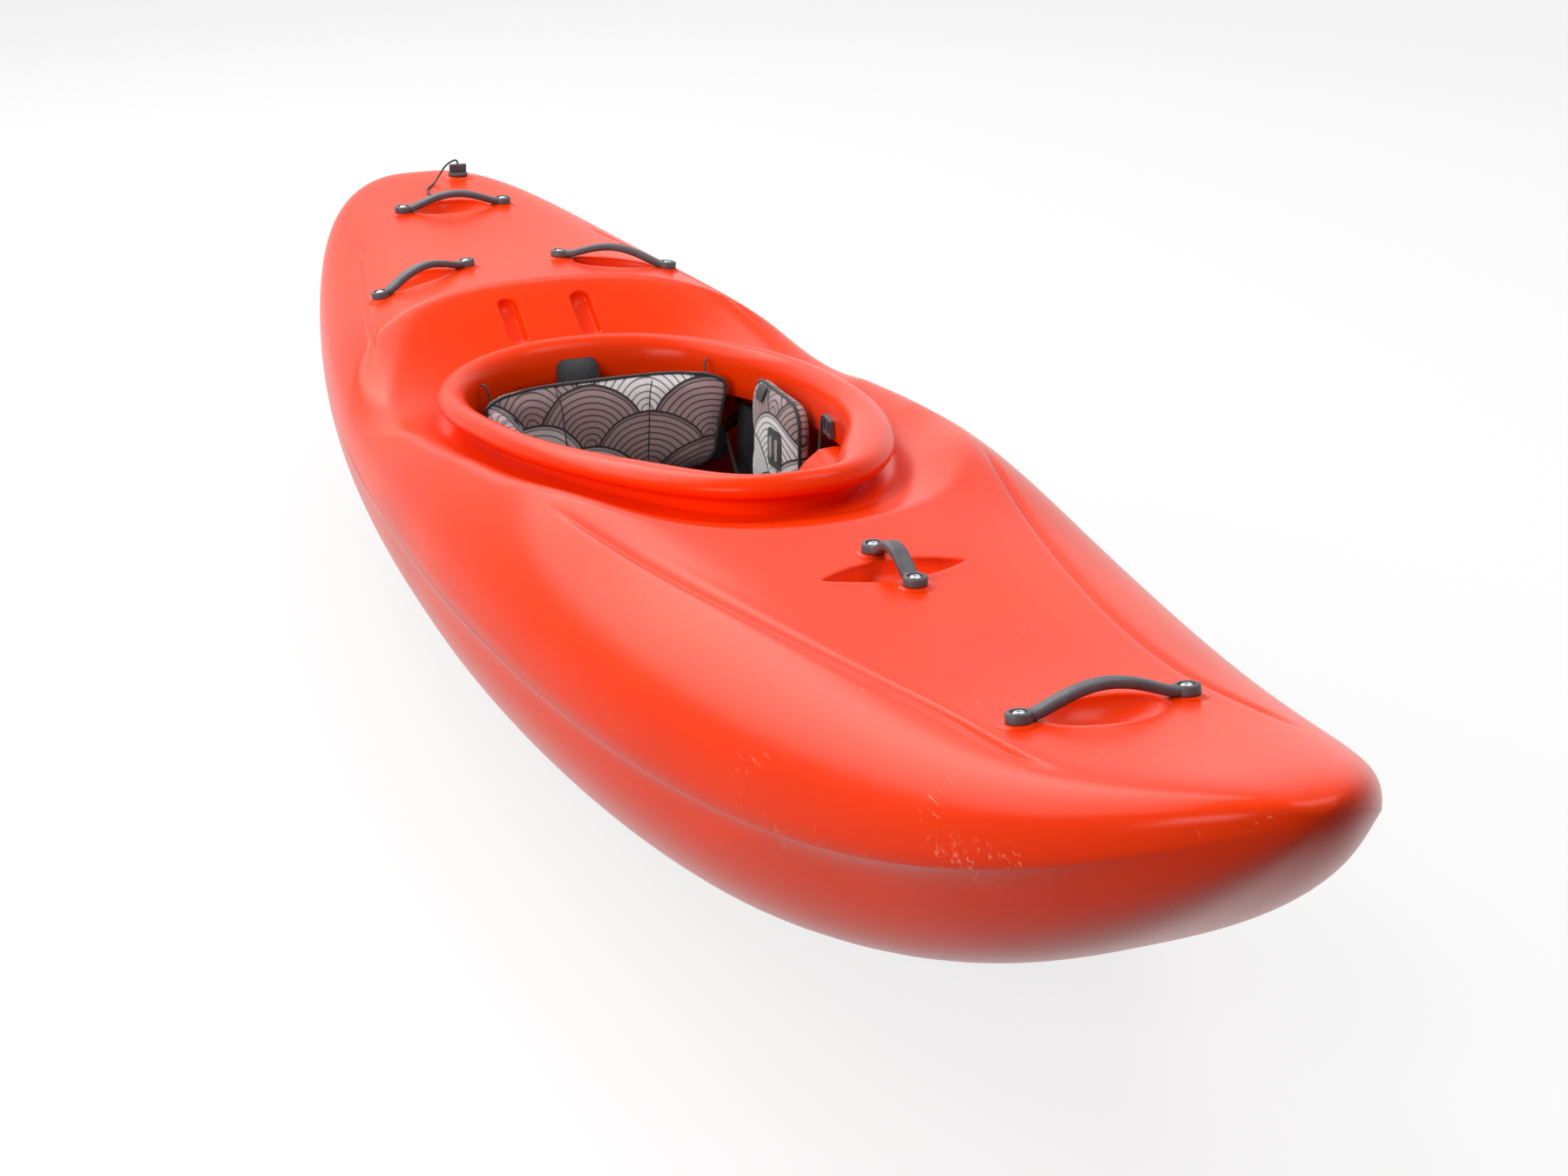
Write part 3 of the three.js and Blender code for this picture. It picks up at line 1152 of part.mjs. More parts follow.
function makeThighBraces(hollow) {
  [1, -1].forEach((side) => {
    const edge = (u, v) => {
      const x = BRACE_REAR_X + BRACE_LENGTH * u;
      const inner = BRACE_INNER_Y - BRACE_SWEEP * u;
      const y = inner + (BRACE_WIDTH * (v + 1)) / 2;
      const lip = Math.max(-v - BRACE_LIP_START_SHARE, 0) / (1 - BRACE_LIP_START_SHARE);
      const fade = Math.max(1 - u / BRACE_HOOK_LENGTH_SHARE, 0);
      return { x, y, drop: BRACE_HOOK_DROP * lip ** BRACE_HOOK_POWER * fade };
    };
    const top = (u, v) => {
      const { x, y, drop } = edge(u, v);
      return [x, side * y, braceTop(x) - drop];
    };
    const under = (u, v) => {
      const { x, y, drop } = edge(u, v);
      return [x, side * y, braceTop(x) - drop - BRACE_THICKNESS];
    };
    let plate = solid(outwards(thickSheet(BRACE_COLUMNS, BRACE_ROWS, top, under))).intersect(hollow);
    const mine = braceBoltPlaces.filter((place) => place.side === side);
    mine.forEach(({ x, y }) => {
      const slotLength = 2 * (BRACE_TRAVEL + BOLT_RADIUS + 2 * GAP);
      const slot = stadium(slotLength, 2 * BOLT_RADIUS + 4 * GAP, 4 * OVERRUN);
      plate = plate.subtract(solid(slot.translate(x, y, braceTop(x) + 2 * OVERRUN)));
    });
    const label = side > 0 ? 'port' : 'starboard';
    addPiece(`thigh_brace_${label}`, plate, materials.seat);
    const padY = BRACE_INNER_Y + BRACE_WIDTH / 2 + BRACE_PAD_OUT;
    const padSize = [BRACE_PAD_LENGTH, BRACE_PAD_WIDTH, BRACE_PAD_THICKNESS];
    const padX = BRACE_REAR_X + BRACE_LENGTH / 2;
    const toWorld = (a, b, depth) => {
      const x = padX + a;
      return [x, side * (padY + b), braceTop(x) - BRACE_THICKNESS - 2 * GAP - depth];
    };
    const pad = cushion(...padSize, CUSHION_CORNER_POWER, toWorld);
    addPiece(`thigh_pad_${label}`, solid(outwards(pad)).intersect(hollow), materials.foam);
    mine.forEach(({ name, x, y, neckBottom }) => {
      const tilt = Math.abs(braceSlope) * BOLT_HEAD_RADIUS;
      const head = braceTop(x) - BRACE_THICKNESS - BRACE_HEAD_CLEARANCE - tilt;
      const length = neckBottom + BRACE_BOLT_GRIP - head;
      const flip = new THREE.Matrix4().makeRotationX(Math.PI).setPosition(x, y, head);
      addPiece(name, boltGeometry(length), materials.steel, flip);
    });
  });
}

// Foam walls fore and aft
function pillarSolid(outline) {
  const slab = new THREE.ExtrudeGeometry(outline, {
    depth: PILLAR_THICKNESS, bevelEnabled: false, curveSegments: PILLAR_SEGMENTS,
  });
  return solid(slab.rotateX(Math.PI / 2).translate(0, PILLAR_THICKNESS / 2, 0));
}

function makePillars(hollow) {
  const height = BOW_SHEER_HEIGHT + BOW_CROWN;
  const bow = new THREE.Shape();
  bow.moveTo(BOW_PILLAR_REAR_X, 0);
  bow.lineTo(BOW_PILLAR_FRONT_X, 0);
  bow.lineTo(BOW_PILLAR_FRONT_X, height);
  bow.lineTo(BOW_PILLAR_REAR_X, height);
  bow.closePath();
  addPiece('bow_pillar', pillarSolid(bow).intersect(hollow), materials.foam);
  const neckX = RIM_X - RIM_HALF_LENGTH + LIP_WIDTH + NECK_INSET + 2 * GAP;
  const neckZ = rimHeight(RIM_X - RIM_HALF_LENGTH, 0) - NECK_DEPTH - 2 * GAP;
  const behindNeckX = neckX - NECK_THICKNESS - 4 * GAP;
  const radius = PILLAR_NOSE_RADIUS;
  const stern = new THREE.Shape();
  stern.moveTo(STERN_PILLAR_REAR_X, 0);
  stern.lineTo(STERN_PILLAR_FRONT_X, 0);
  stern.lineTo(STERN_PILLAR_FRONT_X, STERN_PILLAR_LIP_HEIGHT - radius);
  stern.quadraticCurveTo(STERN_PILLAR_FRONT_X, STERN_PILLAR_LIP_HEIGHT, neckX, STERN_PILLAR_LIP_HEIGHT);
  stern.lineTo(neckX, neckZ);
  stern.lineTo(behindNeckX, neckZ);
  stern.lineTo(behindNeckX, height);
  stern.lineTo(STERN_PILLAR_REAR_X, height);
  stern.closePath();
  const inCockpit = solid(box([neckX, 0], [-PILLAR_THICKNESS, PILLAR_THICKNESS],
    [MID_SHEER_HEIGHT, STERN_PILLAR_LIP_HEIGHT + OVERRUN]));
  const full = pillarSolid(stern);
  const neck = solid(outwards(rimRing(neckClearance)));
  const body = full.intersect(hollow).add(full.intersect(inCockpit)).subtract(neck);
  addPiece('stern_pillar', body, materials.foam);
}

// Foot plates on side rails ahead of the paddler
function makeFootrests(hollow) {
  const railY = section(FOOT_PLATE_X, 0).beam * FOOT_RAIL_BEAM_SHARE;
  const plateWidth = railY - FOOT_CARRIAGE_WIDTH + FOOT_PLATE_LAP - FOOT_PLATE_INNER_Y;
  const boltZ = FOOT_RAIL_Z + FOOT_RAIL_HEIGHT / 2;
  [1, -1].forEach((side) => {
    const label = side > 0 ? 'port' : 'starboard';
    const span = ([a, b]) => (side > 0 ? [a, b] : [-b, -a]);
    const railReach = FOOT_TRAVEL + FOOT_CARRIAGE_LENGTH / 2 + RAIL_END;
    const rail = solid(box([FOOT_PLATE_X - railReach, FOOT_PLATE_X + railReach],
      span([railY, railY + FOOT_RAIL_THICKNESS]), [FOOT_RAIL_Z, FOOT_RAIL_Z + FOOT_RAIL_HEIGHT]));
    const brackets = [1, -1].map((end) => {
      const x = FOOT_PLATE_X + end * railReach;
      const reach = end > 0 ? [x - FOOT_BRACKET_LENGTH, x] : [x, x + FOOT_BRACKET_LENGTH];
      return solid(box(reach, span([railY + FOOT_RAIL_THICKNESS / 2, HALF_BEAM]),
        [FOOT_RAIL_Z, FOOT_RAIL_Z + FOOT_RAIL_HEIGHT])).intersect(hollow);
    });
    const slot = stadium(2 * (FOOT_TRAVEL + BOLT_RADIUS + GAP), 2 * BOLT_RADIUS + 4 * GAP, HALF_BEAM)
      .rotateX(Math.PI / 2)
      .translate(FOOT_PLATE_X + FOOT_BOLT_FORWARD, side > 0 ? 0 : -HALF_BEAM, boltZ);
    const slotted = wasm.Manifold.union([rail, ...brackets]).subtract(solid(outwards(slot)));
    addPiece(`foot_rail_${label}`, slotted, materials.aluminium);
    const lean = Math.tan(FOOT_PLATE_LEAN);
    const plateTop = (u, v) => {
      const z = FOOT_PLATE_LOW_Z + FOOT_PLATE_HEIGHT * u;
      const y = FOOT_PLATE_INNER_Y + (plateWidth * (v + 1)) / 2;
      return [FOOT_PLATE_X + lean * (z - FOOT_RAIL_Z), side * y, z];
    };
    const plateBack = (u, v) => {
      const [x, y, z] = plateTop(u, v);
      return [x + FOOT_PLATE_THICKNESS, y, z];
    };
    const carriageHalf = FOOT_CARRIAGE_LENGTH / 2;
    const carriage = solid(box([FOOT_PLATE_X - carriageHalf, FOOT_PLATE_X + carriageHalf],
      span([railY - FOOT_CARRIAGE_WIDTH, railY - GAP]), [FOOT_RAIL_Z, FOOT_RAIL_Z + FOOT_RAIL_HEIGHT]));
    const boltHole = cylinder(boltHoleRadius, -FOOT_CARRIAGE_WIDTH, FOOT_CARRIAGE_WIDTH, BOLT_SIDES)
      .rotateX(Math.PI / 2)
      .translate(FOOT_PLATE_X + FOOT_BOLT_FORWARD, side * railY, boltZ);
    const sheet = solid(outwards(thickSheet(FOOT_PLATE_STEPS, FOOT_PLATE_STEPS, plateTop, plateBack)));
    addPiece(`foot_plate_${label}`, sheet.add(carriage).subtract(solid(boltHole)), materials.seat);
    const padWidth = plateWidth - FOOT_PAD_MARGIN;
    const padHeight = FOOT_PLATE_HEIGHT - FOOT_PAD_MARGIN;
    const padY = FOOT_PLATE_INNER_Y + plateWidth / 2;
    const padToWorld = (a, b, depth) => {
      const z = FOOT_PLATE_LOW_Z + FOOT_PLATE_HEIGHT / 2 + b;
      return [FOOT_PLATE_X + lean * (z - FOOT_RAIL_Z) - 3 * GAP - depth, side * (padY + a), z];
    };
    const pad = cushion(padWidth, padHeight, FOOT_PAD_THICKNESS, CUSHION_CORNER_POWER, padToWorld);
    addPiece(`foot_pad_${label}`, outwards(pad), materials.foam);
    const head = railY - FOOT_CARRIAGE_WIDTH - GAP;
    const turn = new THREE.Matrix4().makeRotationX((side * Math.PI) / 2)
      .setPosition(FOOT_PLATE_X + FOOT_BOLT_FORWARD, side * head, boltZ);
    addPiece(`foot_bolt_${label}`, boltGeometry(FOOT_BOLT_LENGTH), materials.steel, turn);
  });
}

// Soft lines that hang and pull the backband
function makeLines(hollow) {
  [1, -1].forEach((side) => {
    const label = side > 0 ? 'port' : 'starboard';
    const wallPoint = (turn, off) => {
      const here = rimOutline(turn, 0);
      const tangent = rimTangent(turn);
      const out = -LIP_WIDTH - NECK_INSET - off;
      return {
        x: here.x + tangent.y * out,
        y: side * (here.y - tangent.x * out),
        z: rimHeight(here.x, here.y),
        turn: side * Math.atan2(-tangent.y, -tangent.x),
      };
    };
    const lock = wallPoint(BUCKLE_TURN, BUCKLE_THICKNESS / 2 + GAP * 3);
    const lockZ = lock.z - BUCKLE_DROP;
    const frame = new THREE.Matrix4().makeRotationZ(lock.turn).setPosition(lock.x, lock.y, lockZ);
    let buckle = solid(box([-BUCKLE_LENGTH / 2, BUCKLE_LENGTH / 2],
      [-BUCKLE_THICKNESS / 2, BUCKLE_THICKNESS / 2], [-BUCKLE_HEIGHT / 2, BUCKLE_HEIGHT / 2]));
    [1, -1].forEach((end) => {
      const x = (end * BUCKLE_LENGTH) / 4;
      buckle = buckle.subtract(solid(box([x - BUCKLE_BAR, x + BUCKLE_BAR], [-OVERRUN, OVERRUN],
        [-BUCKLE_HEIGHT / 3, BUCKLE_HEIGHT / 3])));
    });
    addPiece(`cord_lock_${label}`, buckle, materials.handle, frame);
    const cordRadius = ADJUSTER_DIAMETER / 2;
    const cordY = side * (BACKBAND_EAR_Y + GAP + cordRadius);
    const lockFootX = lock.x - BUCKLE_LENGTH / 2 - ADJUSTER_DIAMETER;
    const underPad = HIP_PAD_BOTTOM - 3.5 * ADJUSTER_DIAMETER;
    const padRearX = HIP_PAD_X - HIP_PAD_LENGTH / 2;
    const padFrontX = HIP_PAD_X + HIP_PAD_LENGTH / 2;
    const earZ = BACKBAND_PIVOT_HEIGHT + BACKBAND_EAR_HEIGHT / 4;
    const cord = [
      [earX, cordY, earZ],
      [earX + BACKBAND_EAR_HEIGHT, cordY, (earZ + 2 * underPad) / 3],
      [padRearX - ADJUSTER_DIAMETER, cordY - side * cordRadius, underPad + ADJUSTER_DIAMETER],
      [HIP_PAD_X, cordY - side * cordRadius, underPad],
      [padFrontX + 3 * ADJUSTER_DIAMETER, cordY, underPad + 2 * ADJUSTER_DIAMETER],
      [lockFootX + cordRadius, (2 * cordY + lock.y) / 3, (2 * underPad + lockZ) / 3],
      [lockFootX + cordRadius, (cordY + 2 * lock.y) / 3, (underPad + 2 * lockZ) / 3],
      [lockFootX, lock.y, lockZ],
    ];
    addPiece(`adjuster_cord_${label}`, cordGeometry(cord, ADJUSTER_DIAMETER), materials.cord);
    const strap = solid(outwards(mergeVertices(bareOf(strapGeometry(side)), MERGE_DISTANCE)));
    addPiece(`backband_strap_${label}`, strap.intersect(hollow), materials.webbing);
    const topZ = BACKBAND_TOP - 4 * BACKBAND_SHELL_MARGIN;
    const cornerY = backbandEdge(topZ) - 3 * BACKBAND_SHELL_MARGIN;
    const cornerX = backbandX(cornerY, topZ) - BACKBAND_THICKNESS / 2 - BACKBAND_SHELL_THICKNESS - 8 * GAP;
    const hole = wallPoint(HANGER_TURN, CORD_DIAMETER / 2);
    const hanger = [
      [cornerX, side * cornerY, topZ], [cornerX - 8, side * cornerY, topZ + 1],
      [hole.x + 8, hole.y - side * 4, hole.z - HANGER_DROP], [hole.x, hole.y, hole.z - HANGER_DROP],
    ];
    addPiece(`backband_hanger_${label}`, cordGeometry(hanger, CORD_DIAMETER), materials.cord);
  });
}

// Flat webbing from the backband's ear to the side of the hull
function strapGeometry(side) {
  const z = BACKBAND_PIVOT_HEIGHT - BACKBAND_EAR_HEIGHT / 4;
  const path = new THREE.CatmullRomCurve3([
    [earX, BACKBAND_EAR_Y + GAP + STRAP_THICKNESS / 2, z],
    [earX - STRAP_WIDTH, BACKBAND_EAR_Y + 2 * STRAP_THICKNESS, z],
    [SEAT_REAR_X - 1.5 * STRAP_WIDTH, BACKBAND_EAR_Y + 5 * STRAP_THICKNESS, z],
    [SEAT_REAR_X - 4 * STRAP_WIDTH, BACKBAND_EAR_Y + 16 * STRAP_THICKNESS, z],
    [STRAP_ANCHOR_X, HALF_BEAM, z],
  ].map(([x, y, height]) => new THREE.Vector3(x, side * y, height)));
  const flat = new THREE.Shape();
  flat.moveTo(-STRAP_WIDTH / 2, -STRAP_THICKNESS / 2);
  flat.lineTo(STRAP_WIDTH / 2, -STRAP_THICKNESS / 2);
  flat.lineTo(STRAP_WIDTH / 2, STRAP_THICKNESS / 2);
  flat.lineTo(-STRAP_WIDTH / 2, STRAP_THICKNESS / 2);
  flat.closePath();
  return new THREE.ExtrudeGeometry(flat, { steps: STRAP_STEPS, extrudePath: path });
}

const hollow = cavity(GAP);
addPiece('hull_shell', makeHullShell(), materials.hull);
makeHandles();
makeDrainPlug();
makeSeat();
makeSeatRails(hollow);
makeHipPads();
makeBackband();
makeThighBraces(cavity(BRACE_WALL_CLEARANCE));
makePillars(hollow);
makeFootrests(hollow);
makeLines(hollow);

export default kayak;
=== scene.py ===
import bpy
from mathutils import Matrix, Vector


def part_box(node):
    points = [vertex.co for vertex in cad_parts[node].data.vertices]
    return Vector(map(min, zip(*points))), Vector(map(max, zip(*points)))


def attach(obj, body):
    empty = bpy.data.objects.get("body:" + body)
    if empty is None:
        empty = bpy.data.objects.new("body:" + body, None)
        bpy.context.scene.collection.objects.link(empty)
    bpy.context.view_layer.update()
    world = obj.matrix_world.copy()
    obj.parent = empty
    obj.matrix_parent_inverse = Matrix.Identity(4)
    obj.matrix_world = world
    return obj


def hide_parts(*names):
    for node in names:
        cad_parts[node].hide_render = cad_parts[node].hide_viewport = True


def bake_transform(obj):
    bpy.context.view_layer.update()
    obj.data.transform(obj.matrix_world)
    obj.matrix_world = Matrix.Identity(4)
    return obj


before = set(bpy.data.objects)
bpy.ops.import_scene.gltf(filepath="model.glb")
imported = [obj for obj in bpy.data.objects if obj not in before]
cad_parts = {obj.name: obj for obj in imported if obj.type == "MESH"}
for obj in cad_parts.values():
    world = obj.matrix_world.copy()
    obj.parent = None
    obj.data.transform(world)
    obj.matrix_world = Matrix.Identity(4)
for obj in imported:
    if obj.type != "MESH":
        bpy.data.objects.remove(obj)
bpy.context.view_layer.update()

import math
from functools import partial

import bmesh
import bpy
import numpy as np
from bpy.props import FloatProperty, FloatVectorProperty, PointerProperty
from mathutils import Matrix, Vector
from mathutils.bvhtree import BVHTree

bl_info = {
    "name": "Whitewater kayak",
    "version": (1, 0, 0),
    "blender": (4, 5, 0),
    "location": "View3D > Sidebar > Kayak",
    "description": "Dresses the packed kayak with its moulded shell, handles, outfitting and finishes",
    "category": "Object",
}

# Shapes are worked out in millimetres, and the meshes are in metres
MM = 0.001
WELD_DISTANCE = 0.02
AXIS_RADIUS = 0.0001

# Hull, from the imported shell's box
hull_low, hull_high = (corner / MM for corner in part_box("hull_shell"))
HALF_LENGTH = hull_high.x
HALF_BEAM = hull_high.y
WIDEST_X = 24
WALL = 5
FLOOR_FLAT = 6
MID_SHEER_HEIGHT = 209
BOW_SHEER_HEIGHT = 438
STERN_SHEER_HEIGHT = 343
BOW_BOTTOM_RISE = 330
STERN_BOTTOM_RISE = 162
MID_CROWN = 146
BOW_CROWN = 107
STERN_CROWN = 38

# How each end draws in, and the powers of the section's curves
BOW_TAPER_SHARE = 0.66
BOW_TAPER_POWER = 1.8
BOW_BLUNT_POWER = 13
BOW_BLUNT_ROOT = 1.86
STERN_TAPER_SHARE = 0.615
STERN_TAPER_POWER = 2.26
STERN_BLUNT_POWER = 18
STERN_BLUNT_ROOT = 2.3
SHEER_POWER = 3.7
BOW_CLOSE_POWER = 3.6
STERN_CLOSE_POWER = 8.7
BILGE_Y_POWER = 0.656
BILGE_Z_POWER = 1.09
DECK_Z_POWER = 0.79
MID_DECK_Y_POWER = 0.64
BOW_DECK_Y_POWER = 0.49
STERN_DECK_Y_POWER = 0.51

# Shoulder line of the deck: share of the half length, then share of the local half beam
SHOULDER_SHARES = (
    (-1, 0.7), (-0.74, 0.72), (-0.56, 0.77), (-0.38, 0.83), (-0.28, 0.9), (-0.21, 0.91), (-0.07, 0.85),
    (0.16, 0.755), (0.27, 0.687), (0.45, 0.58), (0.61, 0.515), (0.72, 0.52), (0.85, 0.65), (1, 0.75),
)

# Knee humps in front of the cockpit and the low deck beside its rear half
KNEE_HUMP_RISE = 20
KNEE_HUMP_X = 182
KNEE_HUMP_Y = 222
KNEE_HUMP_LENGTH = 190
KNEE_HUMP_WIDTH = 80
SIDE_DIP_DEPTH = 16
SIDE_DIP_X = -340
SIDE_DIP_Y = 296
SIDE_DIP_LENGTH = 220
SIDE_DIP_WIDTH = 80

# Crease along the shoulder: where it starts and ends at bow and stern, how far it fades, groove and ridge
CREASE_SPANS = ((217, 1180), (-1030, -500))
CREASE_FADE = 110
GROOVE_DEPTH = 4
GROOVE_WIDTH = 3.4
RIDGE_RISE = 0.5
RIDGE_WIDTH = 9
RIDGE_INSIDE = 12

# Chine: the hull turns in under its widest line towards the bow
CHINE_TUCK = 19
CHINE_DEPTH = 17
CHINE_START_X = 680
CHINE_FULL_X = 1060
EDGE_TUCK = 5
EDGE_START_X = -700
EDGE_FULL_X = 100

# Chips and scuffs along the widest line of the bow
WEAR_ABOVE_EDGE = 4
WEAR_WIDTH = 16
WEAR_SPAN = (200, 900)

# Cockpit rim
RIM_X = -94
RIM_HALF_LENGTH = 444
RIM_HALF_WIDTH = 233
RIM_EGG_SHARE = 0.235
RIM_REAR_POWER = 0.915
RIM_FRONT_POWER = 0.84
RIM_HEIGHT = 340
RIM_PITCH_RISE = 39
RIM_PITCH_BEND = 15
RIM_SIDE_DROP = 24
RIM_ABOVE_DISH = 34
LIP_WIDTH = 38
LIP_CROWN = 13
LIP_BELOW = 15
LIP_SHARES = (
    (-0.012, -0.42), (0.012, -0.2), (0.01, 0.05), (-0.02, 0.3), (-0.08, 0.6), (-0.17, 0.84), (-0.3, 1),
    (-0.46, 1.02), (-0.62, 0.9), (-0.76, 0.66), (-0.88, 0.33), (-0.96, -0.1), (-1.02, -0.7), (-1.06, -1.4),
)
LIP_FILLET = ((0, -8), (2, -2), (7, 2))
LIP_UNDERSIDE = ((-12, 3.5), (-4, 5.5))
NECK_DEPTH = 50
NECK_THICKNESS = 12
NECK_INSET = 3
NECK_ROUND = 2
NECK_START_SHARE = 0.6
HOOK_REACH = 22
HOOK_TURN = 0.85
HOOK_SPREAD = 0.42
DISH_SIDE_WIDTH = 60
DISH_REAR_WIDTH = 150
DISH_FRONT_WIDTH = 84
DISH_POWER = 1.2
DISH_REAR_FACING_SHARES = (-0.35, -1)
DISH_FRONT_FACING_SHARES = (0.2, 0.8)
OPENING_INSIDE_RIM = 30

# Slots behind the cockpit
SLOT_X = RIM_X - RIM_HALF_LENGTH - 82
SLOT_Y = 51
SLOT_LENGTH = 84
SLOT_WIDTH = 27
SLOT_DEPTH = 15
SLOT_FRAME_SHARE = 0.6
SLOT_POWERS = (6, 0.5)
SLOT_ROUND = 0.9

# Carry handles
HANDLE_SPAN = 154
CENTER_HANDLE_SPAN = 105
BAR_HALF_WIDTH = 6.5
BAR_HALF_THICKNESS = 5
BAR_SPREAD = 2
BAR_NARROW_SPAN_SHARES = (0.8, 1)
BAR_NARROW_SHARE = 0.2
BAR_END_HALF_THICKNESS = 4.65
BAR_THIN_SPAN_SHARES = (0.7, 1)
BAR_ROUND_POWER = 0.62
BAR_STEPS = 61
BAR_ROUND_STEPS = 32
HANDLE_RISE = 21
HANDLE_ARCH_POWER = 1.4
PAD_RADIUS = 12
PAD_HEIGHT = 9
PAD_ROUND = 2
PAD_EDGE = 0.6
PAD_LIP = 0.5
PAD_SHOULDER = 0.7
RECESS_RADIUS = 7.5
RECESS_DEPTH = 3.5
BOSS_RADIUS = 14
BOSS_PROUD = 1.5
FRAME_REACH = 20
BOW_HANDLE_X = HALF_LENGTH * 0.7511
CENTER_HANDLE_X = HALF_LENGTH * 0.4248
STERN_HANDLE_X = HALF_LENGTH * -0.8277
SIDE_HANDLE_X = HALF_LENGTH * -0.5577
SIDE_HANDLE_Y = 136
SIDE_HANDLE_TURN = 0.455
SCOOP_DEPTH = 22
SCOOP_POWERS = (2.2, 0.62)
RECESS_ROUND = 1.3
MOUND_SHARES = np.array([0.02, 0.5, 0.8, 0.93, 1.0, 1.05, 1.12, 1.22, 1.4])
MOUND_FILLET_SHARES = (0.95, 1.3)
CUT_MARGIN = 0.5
LINING_CUT_MARGIN = 2
LINING_RIM_MARGIN = 4
BOLT_HEAD_RADIUS = 6
BOLT_HEAD_HEIGHT = 3.5
SOCKET_RADIUS = 2.4
BOLT_DOME = ((0.2, 1.6), (1, 2.6), (2.2, 3.2))
BOLT_STEPS = 36
WASHER_WIDTH = 0.9
WASHER_HEIGHT = 0.7
SOCKET_DEPTH = 1.8
SOCKET_EDGE = (0.3, 0.2)
SOCKET_FLAT_SHARE = 0.9
GAP = 0.3

# Camera, fitted to the photograph
CAMERA_AZIMUTH = math.radians(-20.42)
CAMERA_ELEVATION = math.radians(20.97)
CAMERA_ROLL = math.radians(-0.70)
CAMERA_FOCAL_LENGTH = 64.145
CAMERA_PLACE = (2.919, -0.984, 1.307)
CAMERA_REACH = 60
SENSOR_WIDTH = 36

# Stage: floor, lamps and the light of the room
FLOOR_SIZE = 24000
FLOOR_DROP = 0.4
FLOOR_GLOW_SHARE = 0.8
ROOM_LIGHT = 0.1
SKY_LIGHT = 0.5
SKY_SPAN_SHARES = (0.3, 0.95)
LAMP_AIM = (0, 0, 0.2)
LAMPS = (
    ("sky_panel", (-2.66, -1.26, 3.0), (5.0, 2.6), 150),
    ("top_lamp", (0.6, 1.5, 3.4), (2.0, 1.4), 42),
    ("side_lamp", (1.7, -3.3, 1.75), (2.2, 1.1), 72),
)

# Drain plug
PLUG_X = HALF_LENGTH * -0.9533
PLUG_Y = 52
PLUG_COLLAR_RADIUS = 19
PLUG_HEAD_RADIUS = 15
PLUG_HEAD_HEIGHT = 9
PLUG_HEAD_CURVE = ((0, 0.45), (0.7, 0.55), (2.4, 0.6), (4, 0.66), (PLUG_HEAD_RADIUS, 0.66))
PLUG_EDGE = 1.2
PLUG_STEPS = 144
PLUG_FLUTES = 24
PLUG_FLUTE_SHARE = 0.022
PLUG_GRIP_SIZE = (27, 7, 12.5)
PLUG_GRIP_CORNER = 3.4
PLUG_GRIP_EDGE = 1.5
PLUG_GRIP_BOTTOM = 5.4
PLUG_GRIP_RISE = 9.6
PLUG_STEM = ((0, -15.5), (7.6, -15.5), (8.6, -14.5), (8.6, 0), (8.6, 1), (0, 1))
DRAIN_CORD_DIAMETER = 3

# Patterns of the finishes: sizes in metres, as the materials read them
SHELL_SPECULAR_LEVEL = 0.1
SHELL_NOISES = ((320 * MM, 1, 0.55), (70 * MM, 3, 0.55), (6 * MM, 4, 0.7), (3.2 * MM, 2, 0.55))
STREAK_TURNS = (0.1, 0.2, 0.35)
STREAK_SCALES = (16, 420, 300)
BOW_WEAR_SPAN = (0.6, 1.1)
BOTTOM_WEAR_SPAN = (0.12, 0.02)
PEEL_HEIGHT = 0.6 * MM
SCRATCH_DEPTH = 0.4 * MM
PEBBLE_SIZE = 1.1 * MM
PEBBLE_HEIGHT = 0.2 * MM
NYLON_CLOUD_SIZE = 18 * MM
PIT_SIZE = 0.8 * MM
METAL_DEPTH = 0.1 * MM
DRAWN_SCALES = (20, 1200, 1200)
FOAM_CELL_SIZE = 2 * MM
FOAM_CELL_DEPTH = 0.5 * MM
KNIT_SIZE = 1.3 * MM
THREAD_DEPTH = 0.4 * MM
PRINT_SHIFT = 13 * MM
WOBBLE_SIZE = 70 * MM
WOBBLE_REACH = 16 * MM
SOFT = {"interpolation_type": "SMOOTHSTEP"}
COLOUR = {"data_type": "RGBA"}

# Fineness of the fine surfaces
STATION_COUNT = 404
END_STATIONS = 14
END_REACH = 40
DECK_ROWS = 50
SIDE_ROWS = 22
BOTTOM_ANGLE_ROWS = 24
FLOOR_ROWS = 10
ROW_CROWDING = 1.35
TURN_CROWDING = 1.5
FLOOR_TURN = 0.62 * math.pi / 2
END_CROWDING_SHARE = 0.28
LINING_STATIONS = 150
LINING_ROWS = (30, 8, 8, 5)
RIM_STEPS = 360
RIM_SEGMENTS = 240
ROUND_STEPS = 48
PATH_STEPS = 24
DISTANCE_BATCH = 20000


def linear(code):
    """An sRGB hex value as Blender's linear colour."""
    shares = [int(code[i:i + 2], 16) / 255 for i in (1, 3, 5)]
    return (*[s / 12.92 if s <= 0.04045 else ((s + 0.055) / 1.055) ** 2.4 for s in shares], 1.0)


def smooth(start, end, value):
    """Zero before start, one after end, and a smooth step between them."""
    t = np.clip((value - start) / (end - start), 0, 1)
    return t * t * (3 - 2 * t)


def bell(distance, width):
    """A bell curve: one at distance zero, falling away over the width."""
    return np.exp(-((distance / width) ** 2))


